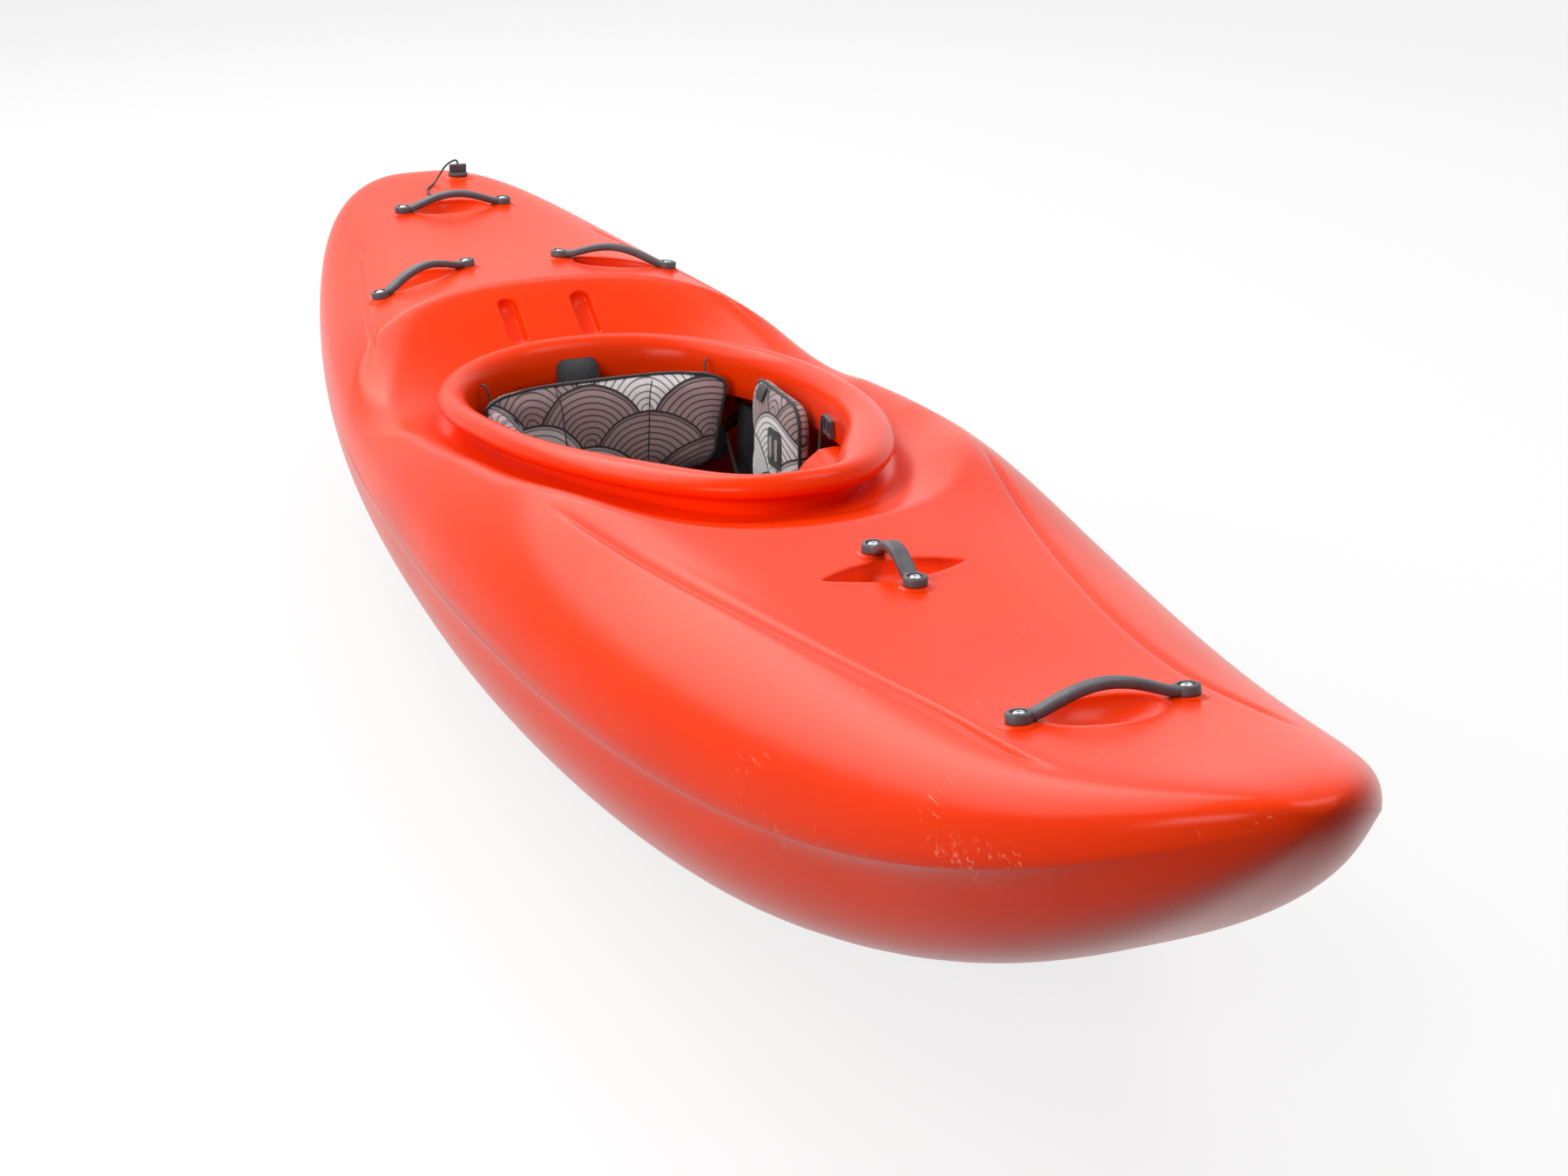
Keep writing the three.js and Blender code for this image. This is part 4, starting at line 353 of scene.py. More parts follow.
def read_curve(pairs, place):
    """A smooth curve through pairs of place and value, with a slope taken from each pair's two neighbours."""
    xs, ys = np.array(pairs, float).T
    before = np.maximum(np.arange(len(xs)) - 1, 0)
    after = np.minimum(np.arange(len(xs)) + 1, len(xs) - 1)
    slopes = (ys[after] - ys[before]) / (xs[after] - xs[before])
    i = np.searchsorted(xs[1:-1], place, side="left")
    span = xs[i + 1] - xs[i]
    t = np.clip((place - xs[i]) / span, 0, 1)
    first = (2 * t ** 3 - 3 * t ** 2 + 1) * ys[i] + (t ** 3 - 2 * t ** 2 + t) * span * slopes[i]
    return first + (3 * t ** 2 - 2 * t ** 3) * ys[i + 1] + (t ** 3 - t ** 2) * span * slopes[i + 1]


def section(x, inset=0.0):
    """Half beam, sheer height, depth, crown, deck power and shoulder share of the hull at stations x.

    With u the share of the way from the widest station to the end, the beam falls as one minus a power of u,
    the sheer rises as a power of u, and depth and crown pass from their middle to their end values with u
    squared.
    """
    bow = x > WIDEST_X
    reach = np.where(bow, HALF_LENGTH - WIDEST_X, HALF_LENGTH + WIDEST_X) - inset
    u = np.minimum(np.abs(x - WIDEST_X) / reach, 1)
    taper = np.where(bow, BOW_TAPER_SHARE * u ** BOW_TAPER_POWER, STERN_TAPER_SHARE * u ** STERN_TAPER_POWER)
    bow_blunt = (1 - u ** BOW_BLUNT_POWER) ** (1 / BOW_BLUNT_ROOT)
    stern_blunt = (1 - u ** STERN_BLUNT_POWER) ** (1 / STERN_BLUNT_ROOT)
    close = np.sqrt(1 - u ** np.where(bow, BOW_CLOSE_POWER, STERN_CLOSE_POWER))
    end_sheer = np.where(bow, BOW_SHEER_HEIGHT, STERN_SHEER_HEIGHT)
    end_rise = np.where(bow, BOW_BOTTOM_RISE, STERN_BOTTOM_RISE)
    end_crown = np.where(bow, BOW_CROWN, STERN_CROWN)
    end_power = np.where(bow, BOW_DECK_Y_POWER, STERN_DECK_Y_POWER)
    mid_depth = MID_SHEER_HEIGHT + FLOOR_FLAT
    beam = (HALF_BEAM * (1 - taper) - inset) * np.where(bow, bow_blunt, stern_blunt)
    sheer = MID_SHEER_HEIGHT + (end_sheer - MID_SHEER_HEIGHT) * u ** SHEER_POWER
    depth = (mid_depth + (end_sheer - end_rise - mid_depth) * u * u - inset) * close
    crown = (MID_CROWN + (end_crown - MID_CROWN) * u * u - inset) * close
    power = MID_DECK_Y_POWER + (end_power - MID_DECK_Y_POWER) * u * u
    return beam, sheer, depth, crown, power, read_curve(SHOULDER_SHARES, x / HALF_LENGTH)


def rim_outline(turn):
    """Outer edge of the rim: a superellipse, narrower ahead of its middle, at turns from its front."""
    c, s = np.cos(turn), np.sin(turn)
    power = RIM_REAR_POWER + (RIM_FRONT_POWER - RIM_REAR_POWER) * ((1 + c) / 2) ** 2
    across = np.sign(s) * np.abs(s) ** power
    along = np.sign(c) * np.abs(c) ** power
    return RIM_X + RIM_HALF_LENGTH * along, RIM_HALF_WIDTH * (1 - RIM_EGG_SHARE * c) * across


def rim_outwards(turn):
    """Unit direction out of the rim's outline: its tangent turned a quarter turn."""
    step = math.pi / RIM_SEGMENTS
    x1, y1 = rim_outline(turn + step)
    x0, y0 = rim_outline(turn - step)
    length = np.hypot(x1 - x0, y1 - y0)
    return (y1 - y0) / length, (x0 - x1) / length


def rim_height(x, y):
    """Height of the rim: a slope towards the bow with a bend, less a square of the way to the side."""
    u = (x - RIM_X) / RIM_HALF_LENGTH
    side = y / RIM_HALF_WIDTH
    return RIM_HEIGHT + RIM_PITCH_RISE * u - RIM_PITCH_BEND * u * u - RIM_SIDE_DROP * side ** 2


def outline_distance(ax, ay, x, y, reach):
    """Distance from a closed outline, below zero inside it: the least distance to its straight pieces.

    Points further than the reach from the outline's box are given the reach itself.
    """
    bx, by = np.roll(ax, -1), np.roll(ay, -1)
    px, py = np.ravel(x).astype(float), np.ravel(y).astype(float)
    close_x = (px > ax.min() - reach) & (px < ax.max() + reach)
    near = np.flatnonzero(close_x & (py > ay.min() - reach) & (py < ay.max() + reach))
    result = np.full(px.shape, float(reach))
    dx, dy = bx - ax, by - ay
    for part in np.array_split(near, max(len(near) // DISTANCE_BATCH, 1)):
        qx, qy = px[part, None], py[part, None]
        t = np.clip(((qx - ax) * dx + (qy - ay) * dy) / (dx * dx + dy * dy), 0, 1)
        distance = np.hypot(qx - ax - dx * t, qy - ay - dy * t).min(1)
        crosses = (ay > qy) != (by > qy)
        meets = qx < ax + (qy - ay) * dx / np.where(crosses, dy, 1)
        inside = (crosses & meets).sum(1) % 2 == 1
        result[part] = np.where(inside, -distance, distance)
    return result.reshape(np.shape(x))


def rim_distance(x, y):
    """Distance from the rim's outline, below zero inside it."""
    turns = np.linspace(0, 2 * np.pi, RIM_SEGMENTS, endpoint=False)
    return outline_distance(*rim_outline(turns), x, y, 2 * DISH_REAR_WIDTH)


def crease_fade(x):
    """One along the creases of bow and stern, falling to zero at their ends."""
    fades = [smooth(a, a + CREASE_FADE, x) * smooth(b, b - CREASE_FADE, x) for a, b in CREASE_SPANS]
    return sum(fades)


def deck_shape(x, y, z, inset=0.0):
    """Deck height with knee humps, side dips and shoulder creases, and the dish pressed in round the rim."""
    side = np.abs(y)
    hump = bell(x - KNEE_HUMP_X, KNEE_HUMP_LENGTH) * bell(side - KNEE_HUMP_Y, KNEE_HUMP_WIDTH)
    dip = bell(x - SIDE_DIP_X, SIDE_DIP_LENGTH) * bell(side - SIDE_DIP_Y, SIDE_DIP_WIDTH)
    height = z + KNEE_HUMP_RISE * hump - SIDE_DIP_DEPTH * dip
    beam, *_, share = section(x, inset)
    from_shoulder = side - share * beam
    groove = GROOVE_DEPTH * bell(from_shoulder, GROOVE_WIDTH)
    ridge = RIDGE_RISE * bell(from_shoulder + RIDGE_INSIDE, RIDGE_WIDTH)
    height = height + crease_fade(x) * (ridge - groove)
    facing = (x - RIM_X) / np.maximum(np.hypot(x - RIM_X, y), 1)
    width = DISH_SIDE_WIDTH + (DISH_REAR_WIDTH - DISH_SIDE_WIDTH) * smooth(*DISH_REAR_FACING_SHARES, facing)
    width = width + (DISH_FRONT_WIDTH - DISH_SIDE_WIDTH) * smooth(*DISH_FRONT_FACING_SHARES, facing)
    away = np.minimum(np.maximum(rim_distance(x, y), 0) / width, 1)
    floor = rim_height(x, y) - RIM_ABOVE_DISH - inset
    return height + np.minimum(floor - height, 0) * (1 - away) ** DISH_POWER


def deck_height(x, y):
    """Height of the finished deck over points of the plan."""
    beam, sheer, _, crown, power, _ = section(x)
    c = np.minimum(np.abs(y) / beam, 1) ** (1 / power)
    return deck_shape(x, y, sheer + crown * (1 - c * c) ** (DECK_Z_POWER / 2))


def stations(count, inset=0.0):
    """Places along the hull, closer towards the ends, and at each end by the square of a count of steps."""
    s = np.linspace(-1, 1, count)
    crowded = (1 - END_CROWDING_SHARE) * s + END_CROWDING_SHARE * np.sin(s * np.pi / 2)
    middle = crowded * (HALF_LENGTH - inset - END_REACH)
    left = END_REACH * (np.arange(1, END_STATIONS) / END_STATIONS) ** 2
    return np.concatenate([-HALF_LENGTH + inset + left, middle, HALF_LENGTH - inset - left[::-1]])


def hull_rings(x, deck_rows, side_rows, angle_rows, floor_rows, inset=0.0):
    """Closed sections of the hull, one row of points for each station.

    From the keel: even in y over the floor, then by angle up to the sheer, and then over the shoulder to the
    middle of the deck, with points crowded at the shoulder. Below the sheer, y is a power of the angle's
    cosine and z a power of its sine; above it the deck has powers of its own.
    """
    beam, sheer, depth, crown, power, share = (v[:, None] for v in section(x, inset))
    turn = (np.arange(angle_rows) / angle_rows)[::-1] ** TURN_CROWDING * FLOOR_TURN
    floor_edge = np.cos(FLOOR_TURN) ** BILGE_Y_POWER
    floor_share = np.linspace(0, floor_edge, floor_rows + 1)
    angle = np.concatenate([np.arccos(floor_share ** (1 / BILGE_Y_POWER)), turn])[None, :]
    fall = depth * np.sin(angle) ** BILGE_Z_POWER
    low_y = beam * np.cos(angle) ** BILGE_Y_POWER
    slim = np.minimum(beam / HALF_BEAM * 2, 1) * (low_y / np.maximum(beam, 1)) ** 2
    tuck = CHINE_TUCK * smooth(CHINE_START_X, CHINE_FULL_X, x)[:, None] * (1 - np.exp(-fall / CHINE_DEPTH))
    edge = EDGE_TUCK * smooth(EDGE_START_X, EDGE_FULL_X, x)[:, None]
    edge = edge * fall / CHINE_DEPTH * np.exp(1 - fall / CHINE_DEPTH)
    low_y = low_y - np.maximum(tuck, edge) * slim
    low_y[:, 0] = 0
    low_z = np.maximum(sheer - fall, inset)
    shoulder = np.arccos(share ** (1 / power))
    k = 1 - (1 - np.arange(1, side_rows + 1)[None, :] / side_rows) ** ROW_CROWDING
    side_angle = shoulder * k
    d = (np.arange(1, deck_rows + 1)[None, :] / deck_rows) ** ROW_CROWDING
    deck_share = share * (1 - d)
    deck_angle = np.arccos(np.clip(deck_share, 0, 1) ** (1 / power))
    up = np.concatenate([side_angle, deck_angle], axis=1)
    high_y = beam * np.cos(up) ** power
    high_y[:, -1] = 0
    high_z = sheer + crown * np.sin(up) ** DECK_Z_POWER
    high_z = deck_shape(np.broadcast_to(x[:, None], high_y.shape), high_y, high_z, inset)
    y = np.concatenate([low_y, high_y], axis=1)
    z = np.concatenate([low_z, high_z], axis=1)
    y = np.concatenate([y, -y[:, -2:0:-1]], axis=1)
    z = np.concatenate([z, z[:, -2:0:-1]], axis=1)
    return np.stack([np.broadcast_to(x[:, None], y.shape), y, z], axis=2)


def grid_faces(rows, columns, close_rows=False, close_columns=False):
    """Corner numbers of the cells of a grid of points."""
    i = np.arange(rows if close_rows else rows - 1)[:, None]
    j = np.arange(columns if close_columns else columns - 1)[None, :]
    i1, j1 = (i + 1) % rows, (j + 1) % columns
    corners = (i * columns + j, i1 * columns + j, i1 * columns + j1, i * columns + j1)
    return np.stack(np.broadcast_arrays(*corners), axis=-1).reshape(-1, 4)


def fan_faces(ring, centre):
    """Triangles from a centre to the points of a closed ring."""
    return np.stack([np.full(len(ring), centre), ring, np.roll(ring, -1)], axis=1)


def joined(surfaces):
    """Several surfaces, each points and a list of face arrays, as one."""
    points, faces, count = [], [], 0
    for surface_points, surface_faces in surfaces:
        points.append(surface_points)
        faces += [f + count for f in surface_faces]
        count += len(surface_points)
    return np.concatenate(points), faces


def volume(points, faces):
    """Signed volume inside a surface: the sum of the solids from the origin to its triangles."""
    total = 0.0
    for face in faces:
        for k in range(1, face.shape[1] - 1):
            a, b, c = points[face[:, 0]], points[face[:, k]], points[face[:, k + 1]]
            total += np.einsum("ij,ij->", a, np.cross(b, c)) / 6
    return total


def outwards(surface):
    """The same surface with its faces turned to point out."""
    points, faces = surface
    centred = points - points.mean(0)
    if volume(centred, faces) < 0:
        return points, [f[:, ::-1] for f in faces]
    return points, faces


def make_mesh(name, points, faces):
    """A mesh from points in millimetres and arrays of faces."""
    mesh = bpy.data.meshes.new(name)
    loops = np.concatenate([f.ravel() for f in faces])
    sizes = np.concatenate([np.full(len(f), f.shape[1]) for f in faces])
    mesh.vertices.add(len(points))
    mesh.vertices.foreach_set("co", (points * MM).astype(np.float32).ravel())
    mesh.loops.add(len(loops))
    mesh.loops.foreach_set("vertex_index", loops.astype(np.int32))
    mesh.polygons.add(len(sizes))
    mesh.polygons.foreach_set("loop_start", np.concatenate([[0], np.cumsum(sizes)[:-1]]).astype(np.int32))
    mesh.update(calc_edges=True)
    mesh.validate()
    mesh.polygons.foreach_set("use_smooth", np.ones(len(mesh.polygons), bool))
    return mesh


def add_piece(name, surfaces, material, body, replaces=(), sharp=40):
    """One object from surfaces, with its finish by name, riding on a body and standing for CAD nodes."""
    mesh = make_mesh(name, *joined(surfaces))
    piece = bpy.data.objects.new(name, mesh)
    bpy.context.scene.collection.objects.link(piece)
    weld_points(mesh)
    mesh.set_sharp_from_angle(angle=math.radians(sharp))
    mesh.materials.append(finish(material))
    if body:
        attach(piece, body)
    if replaces:
        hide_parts(*replaces)
    return piece


def weld_points(mesh):
    """Merges points that lie closer together than the weld distance."""
    work = bmesh.new()
    work.from_mesh(mesh)
    bmesh.ops.remove_doubles(work, verts=work.verts, dist=WELD_DISTANCE * MM)
    work.to_mesh(mesh)
    work.free()


def lathe(profile, count=ROUND_STEPS):
    """A profile of radius and height turned round Z, with its ends on the axis closed."""
    profile = np.array(profile, float)
    turn = np.linspace(0, 2 * np.pi, count, endpoint=False)
    radius = np.maximum(profile[:, 0], AXIS_RADIUS)[:, None]
    x, y = radius * np.cos(turn), radius * np.sin(turn)
    points = np.stack([x, y, np.broadcast_to(profile[:, 1][:, None], x.shape)], axis=2).reshape(-1, 3)
    return points, [grid_faces(len(profile), count, close_columns=True)]


def superellipse(count, power):
    """Unit outline whose points are the cosine and sine of a turn raised to a power."""
    turn = np.linspace(0, 2 * np.pi, count, endpoint=False)
    c, s = np.cos(turn), np.sin(turn)
    return np.sign(c) * np.abs(c) ** power, np.sign(s) * np.abs(s) ** power


def placed(surface, matrix):
    """A surface moved by a 4 by 4 matrix."""
    points, faces = surface
    return points @ matrix[:3, :3].T + matrix[:3, 3], faces


def deck_frame(x, y, turn, span):
    """Frame of a fitting on the deck: X along it, Z off the deck, its origin just above the deck's skin."""
    along = np.array([math.sin(turn), math.cos(turn)])

    def point(a, b):
        px = x + along[0] * a + along[1] * b
        py = y + along[1] * a - along[0] * b
        return np.array([px, py, deck_height(np.array([px]), np.array([py]))[0]])

    half = span / 2
    first, last = point(-half, 0), point(half, 0)
    ahead = point(half, FRAME_REACH) + point(-half, FRAME_REACH)
    behind = point(half, -FRAME_REACH) + point(-half, -FRAME_REACH)
    x_axis = (last - first) / np.linalg.norm(last - first)
    z_axis = np.cross(x_axis, behind - ahead)
    z_axis = z_axis / np.linalg.norm(z_axis)
    matrix = np.eye(4)
    matrix[:3, 0] = x_axis
    matrix[:3, 1] = np.cross(z_axis, x_axis)
    matrix[:3, 2] = z_axis
    matrix[:3, 3] = (first + last) / 2 + z_axis * BOSS_PROUD
    return matrix


def tube(path, radius, count=12, closed=False):
    """A round section carried along a path, kept from twisting by the least turn from point to point."""
    path = np.array(path, float)
    ahead = np.roll(path, -1, 0) - np.roll(path, 1, 0)
    if not closed:
        ahead[0], ahead[-1] = path[1] - path[0], path[-1] - path[-2]
    ahead = ahead / np.linalg.norm(ahead, axis=1)[:, None]
    start = np.cross(ahead[0], (0, 0, 1) if abs(ahead[0][2]) < 0.9 else (0, 1, 0))
    sides = [start / np.linalg.norm(start)]
    for direction in ahead[1:]:
        side = sides[-1] - direction * np.dot(sides[-1], direction)
        sides.append(side / np.linalg.norm(side))
    side = np.array(sides)
    up = np.cross(side, ahead)
    turn = np.linspace(0, 2 * np.pi, count, endpoint=False)
    ring = side[:, None, :] * np.cos(turn)[None, :, None] + up[:, None, :] * np.sin(turn)[None, :, None]
    points = (path[:, None, :] + ring * radius).reshape(-1, 3)
    faces = [grid_faces(len(path), count, closed, True)]
    if not closed:
        points = np.concatenate([points, path[:1], path[-1:]])
        last = (len(path) - 1) * count
        faces += [fan_faces(np.arange(count), len(points) - 2)[:, ::-1]]
        faces += [fan_faces(np.arange(last, last + count), len(points) - 1)]
    return points, faces


def smooth_path(points, count):
    """A centripetal Catmull-Rom curve through given points, sampled evenly along its length.

    Each stretch is a cubic whose end slopes weigh the neighbouring stretches by the roots of their lengths.
    """
    points = np.array(points, float)
    padded = np.concatenate([2 * points[:1] - points[1:2], points, 2 * points[-1:] - points[-2:-1]])
    p0, p1, p2, p3 = (padded[k:len(padded) - 3 + k, None, :] for k in range(4))
    stretches = (p1 - p0, p2 - p1, p3 - p2)
    before, here, after = (np.linalg.norm(s, axis=2, keepdims=True) ** 0.5 for s in stretches)
    slope1 = here * ((p1 - p0) / before - (p2 - p0) / (before + here) + (p2 - p1) / here)
    slope2 = here * ((p2 - p1) / here - (p3 - p1) / (here + after) + (p3 - p2) / after)
    t = np.linspace(0, 1, PATH_STEPS, endpoint=False)[None, :, None]
    curve = (2 * t ** 3 - 3 * t ** 2 + 1) * p1 + (t ** 3 - 2 * t ** 2 + t) * slope1
    curve = curve + (3 * t ** 2 - 2 * t ** 3) * p2 + (t ** 3 - t ** 2) * slope2
    curve = np.concatenate([curve.reshape(-1, 3), points[-1:]])
    length = np.concatenate([[0], np.cumsum(np.linalg.norm(np.diff(curve, axis=0), axis=1))])
    places = np.linspace(0, length[-1], count)
    return np.stack([np.interp(places, length, curve[:, k]) for k in range(3)], axis=1)


# Frame and bolt spacing of each handle
HANDLES = {
    "bow_handle": (deck_frame(BOW_HANDLE_X, 0, 0, HANDLE_SPAN), HANDLE_SPAN),
    "bow_center_handle": (
        deck_frame(CENTER_HANDLE_X, 0, math.pi / 2, CENTER_HANDLE_SPAN), CENTER_HANDLE_SPAN),
    "stern_handle": (deck_frame(STERN_HANDLE_X, 0, 0, HANDLE_SPAN), HANDLE_SPAN),
}
SIDE_TURNS = (("port", 1, SIDE_HANDLE_TURN), ("starboard", -1, math.pi - SIDE_HANDLE_TURN))
for side_name, sign, side_turn in SIDE_TURNS:
    side_frame = deck_frame(SIDE_HANDLE_X, sign * SIDE_HANDLE_Y, side_turn, HANDLE_SPAN)
    HANDLES[f"stern_{side_name}_handle"] = (side_frame, HANDLE_SPAN)
HANDLE_ENDS = {
    "bow_handle": ("port", "starboard"),
    "bow_center_handle": ("fore", "aft"),
    "stern_handle": ("port", "starboard"),
    "stern_port_handle": ("outer", "inner"),
    "stern_starboard_handle": ("outer", "inner"),
}

# Scoops under the handles: reach ahead of and behind the bar
SCOOP_REACHES = {
    "bow_handle": (46, 40),
    "stern_handle": (30, 44),
    "stern_port_handle": (46, 14),
    "stern_starboard_handle": (46, 14),
}
PLUG_FRAME = deck_frame(PLUG_X, PLUG_Y, 0, PLUG_COLLAR_RADIUS)
SCOOP_HALF_LENGTH = HANDLE_SPAN / 2 - BOSS_RADIUS * MOUND_SHARES[-1]
CENTER_SCOOP_HALF_LENGTH = 75
CENTER_SCOOP_HALF_WIDTH = 28
FLANGE_REACH = 13
FLANGE_LIFT = 0.12
SCOOP_SHARES = np.array([0.12, 0.28, 0.42, 0.55, 0.66, 0.76, 0.84, 0.9, 0.945, 0.975, 0.99, 1.0])
FLANGE_SHARES = np.array([0.06, 0.14, 0.26, 0.42, 0.66, 1.0])


def ellipse_outline(half_length, ahead, behind, count=120):
    """Two half ellipses that share their long axis, with their own reaches on either side."""
    turn = np.linspace(0, 2 * np.pi, count, endpoint=False)
    reach = np.where(np.sin(turn) > 0, behind, ahead)
    return np.stack([half_length * np.cos(turn), reach * np.sin(turn)], axis=1)


def eye_outline(half_length, half_width, count=120):
    """Two parabolas that meet in points at both ends of the long axis, which lies across the fitting."""
    s = np.linspace(-1, 1, count // 2, endpoint=False)
    bulge = half_width * (1 - s ** 2)
    one = np.stack([bulge, half_length * s], axis=1)
    return np.concatenate([one, -one])


def stadium_outline(length, width, count=96):
    """A rectangle with round ends: points turned round a half circle at each end of the straight."""
    turn = np.linspace(-np.pi / 2, np.pi / 2, count // 2)
    straight = (length - width) / 2
    one = np.stack([straight + width / 2 * np.cos(turn), width / 2 * np.sin(turn)], axis=1)
    return np.concatenate([one, -one])


def on_deck(matrix, plan):
    """Points of the deck's skin over places a, b in a fitting's plane."""
    flat = matrix[:3, 3] + plan[..., :1] * matrix[:3, 0] + plan[..., 1:] * matrix[:3, 1]
    return np.stack([flat[..., 0], flat[..., 1], deck_height(flat[..., 0], flat[..., 1])], axis=-1)


def recess(matrix, outline, depth, floor_power, wall_power, round_edge=RECESS_ROUND):
    """A recess moulded in the deck, with a flange that lies on the skin round it.

    At a share k of the way from the middle to the outline, the skin is sunk by the depth times
    one minus k to the floor power, to the wall power, and the edge is rounded by a falling exponential.
    """
    ahead = np.roll(outline, -1, 0) - np.roll(outline, 1, 0)
    ahead = ahead / np.linalg.norm(ahead, axis=1)[:, None]
    out = np.stack([ahead[:, 1], -ahead[:, 0]], axis=1)
    if (out * outline).sum() < 0:
        out = -out
    inner = outline[None] * SCOOP_SHARES[:, None, None]
    outer = outline[None] + out[None] * (FLANGE_REACH * FLANGE_SHARES)[:, None, None]
    plan = np.concatenate([inner, outer])
    k = SCOOP_SHARES
    sink = (depth - round_edge) * (1 - k ** floor_power) ** wall_power + round_edge
    flange = round_edge * np.exp(-FLANGE_SHARES * FLANGE_REACH / round_edge) - FLANGE_LIFT
    drop = np.concatenate([sink, flange])
    skin = on_deck(matrix, plan)
    points = skin - matrix[:3, 2] * drop[:, None, None]
    middle = on_deck(matrix, np.zeros((1, 2))) - matrix[:3, 2] * depth
    rings, count = points.shape[:2]
    centre = rings * count
    all_points = np.concatenate([points.reshape(-1, 3), middle])
    faces = [grid_faces(rings, count, close_columns=True), fan_faces(np.arange(count), centre)[:, ::-1]]
    normal = np.cross(points[1, 0] - points[0, 0], points[0, 1] - points[0, 0])
    if normal @ matrix[:3, 2] < 0:
        return all_points, faces
    return all_points, [f[:, ::-1] for f in faces]


def scoop_outlines():
    """Outline of each handle's scoop, by handle."""
    outlines = {n: ellipse_outline(SCOOP_HALF_LENGTH, *SCOOP_REACHES[n]) for n in SCOOP_REACHES}
    outlines["bow_center_handle"] = eye_outline(CENTER_SCOOP_HALF_LENGTH, CENTER_SCOOP_HALF_WIDTH)
    return outlines


def slot_frame(side):
    """Frame of a slot behind the cockpit: on the deck, with X down the slope to the rim."""
    return deck_frame(SLOT_X, side * SLOT_Y, math.pi / 2, SLOT_LENGTH * SLOT_FRAME_SHARE)


def mound(matrix, place, radius):
    """A round boss on the deck: flat inside its radius, with a fillet down to the skin."""
    reaches = MOUND_SHARES * radius
    count = ROUND_STEPS
    turn = np.linspace(0, 2 * np.pi, count, endpoint=False)
    plan = np.stack([place + reaches[:, None] * np.cos(turn), reaches[:, None] * np.sin(turn)], axis=2)
    skin = on_deck(matrix, plan)
    height = (skin - matrix[:3, 3]) @ matrix[:3, 2]
    blend = smooth(*MOUND_FILLET_SHARES, MOUND_SHARES)[:, None]
    lift = FLANGE_LIFT * 2 * blend - height * (1 - blend)
    points = (skin + matrix[:3, 2] * lift[..., None]).reshape(-1, 3)
    faces = grid_faces(len(reaches), count, close_columns=True)
    normal = np.cross(points[count] - points[0], points[1] - points[0])
    return points, [faces if normal @ matrix[:3, 2] < 0 else faces[:, ::-1]]


def inside_outline(matrix, outline, x, y, margin):
    """Whether points of the plan lie inside a fitting's outline, grown by a margin, as seen from above."""
    basis = np.linalg.inv(np.stack([matrix[:2, 0], matrix[:2, 1]], axis=1))
    local = (np.stack([x, y], axis=-1) - matrix[:2, 3]) @ basis.T
    return outline_distance(*outline.T, local[..., 0], local[..., 1], FLANGE_REACH + abs(margin)) < margin


def recess_places():
    """Frame and outline of every recess in the deck."""
    places = [(HANDLES[n][0], outline) for n, outline in scoop_outlines().items()]
    slot = stadium_outline(SLOT_LENGTH, SLOT_WIDTH)
    return places + [(slot_frame(side), slot) for side in (1, -1)]


def open_faces(rings, inset, rim_margin, cut_margin):
    """Cells between the hull's sections, without those over the cockpit and the recesses."""
    faces = grid_faces(len(rings), rings.shape[1], close_columns=True)
    x, y, z = rings[..., 0], rings[..., 1], rings[..., 2]
    above = z > section(x, inset)[1]
    cockpit = above & (rim_distance(x, y) < rim_margin - OPENING_INSIDE_RIM)
    drop = np.all(cockpit.ravel()[faces], axis=1)
    for matrix, outline in recess_places():
        hit = above & inside_outline(matrix, outline, x, y, cut_margin)
        drop |= np.any(hit.ravel()[faces], axis=1)
    return faces[~drop]


def hull_surface():
    """Outside of the hull: its sections joined up, closed at both tips, open at the cockpit and recesses."""
    rings = hull_rings(stations(STATION_COUNT), DECK_ROWS, SIDE_ROWS, BOTTOM_ANGLE_ROWS, FLOOR_ROWS)
    count = rings.shape[1]
    faces = open_faces(rings, 0, 0, CUT_MARGIN)
    tips = np.array([[-HALF_LENGTH, 0, STERN_SHEER_HEIGHT], [HALF_LENGTH, 0, BOW_SHEER_HEIGHT]])
    points = np.concatenate([rings.reshape(-1, 3), tips])
    first = np.arange(count)
    last = first + (len(rings) - 1) * count
    return points, [faces, fan_faces(first, len(points) - 2), fan_faces(last, len(points) - 1)[:, ::-1]]


def hull_lining():
    """Inside face of the hull's wall, in coarser sections, open at the cockpit and recesses."""
    rings = hull_rings(stations(LINING_STATIONS, WALL), *LINING_ROWS, WALL)
    return rings.reshape(-1, 3), [open_faces(rings, WALL, LINING_RIM_MARGIN, LINING_CUT_MARGIN)]


def rim_profile():
    """Section of the rolled lip and its neck as outward and upward places, the lip's in shares of its width.

    The lip starts at its outer edge, which is rounded under, rises over its crown and falls to the neck.
    """
    inner = -LIP_WIDTH - NECK_INSET
    outer = inner + NECK_THICKNESS
    neck = [
        (inner, -NECK_DEPTH * NECK_START_SHARE), (inner, NECK_ROUND - NECK_DEPTH),
        (inner + NECK_ROUND, -NECK_DEPTH), (outer - NECK_ROUND, -NECK_DEPTH),
        (outer, NECK_ROUND - NECK_DEPTH),
    ]
    neck += [(outer + out, up - LIP_BELOW) for out, up in LIP_FILLET]
    neck += [(out, up - LIP_BELOW) for out, up in LIP_UNDERSIDE]
    return np.array(LIP_SHARES), np.array(neck)


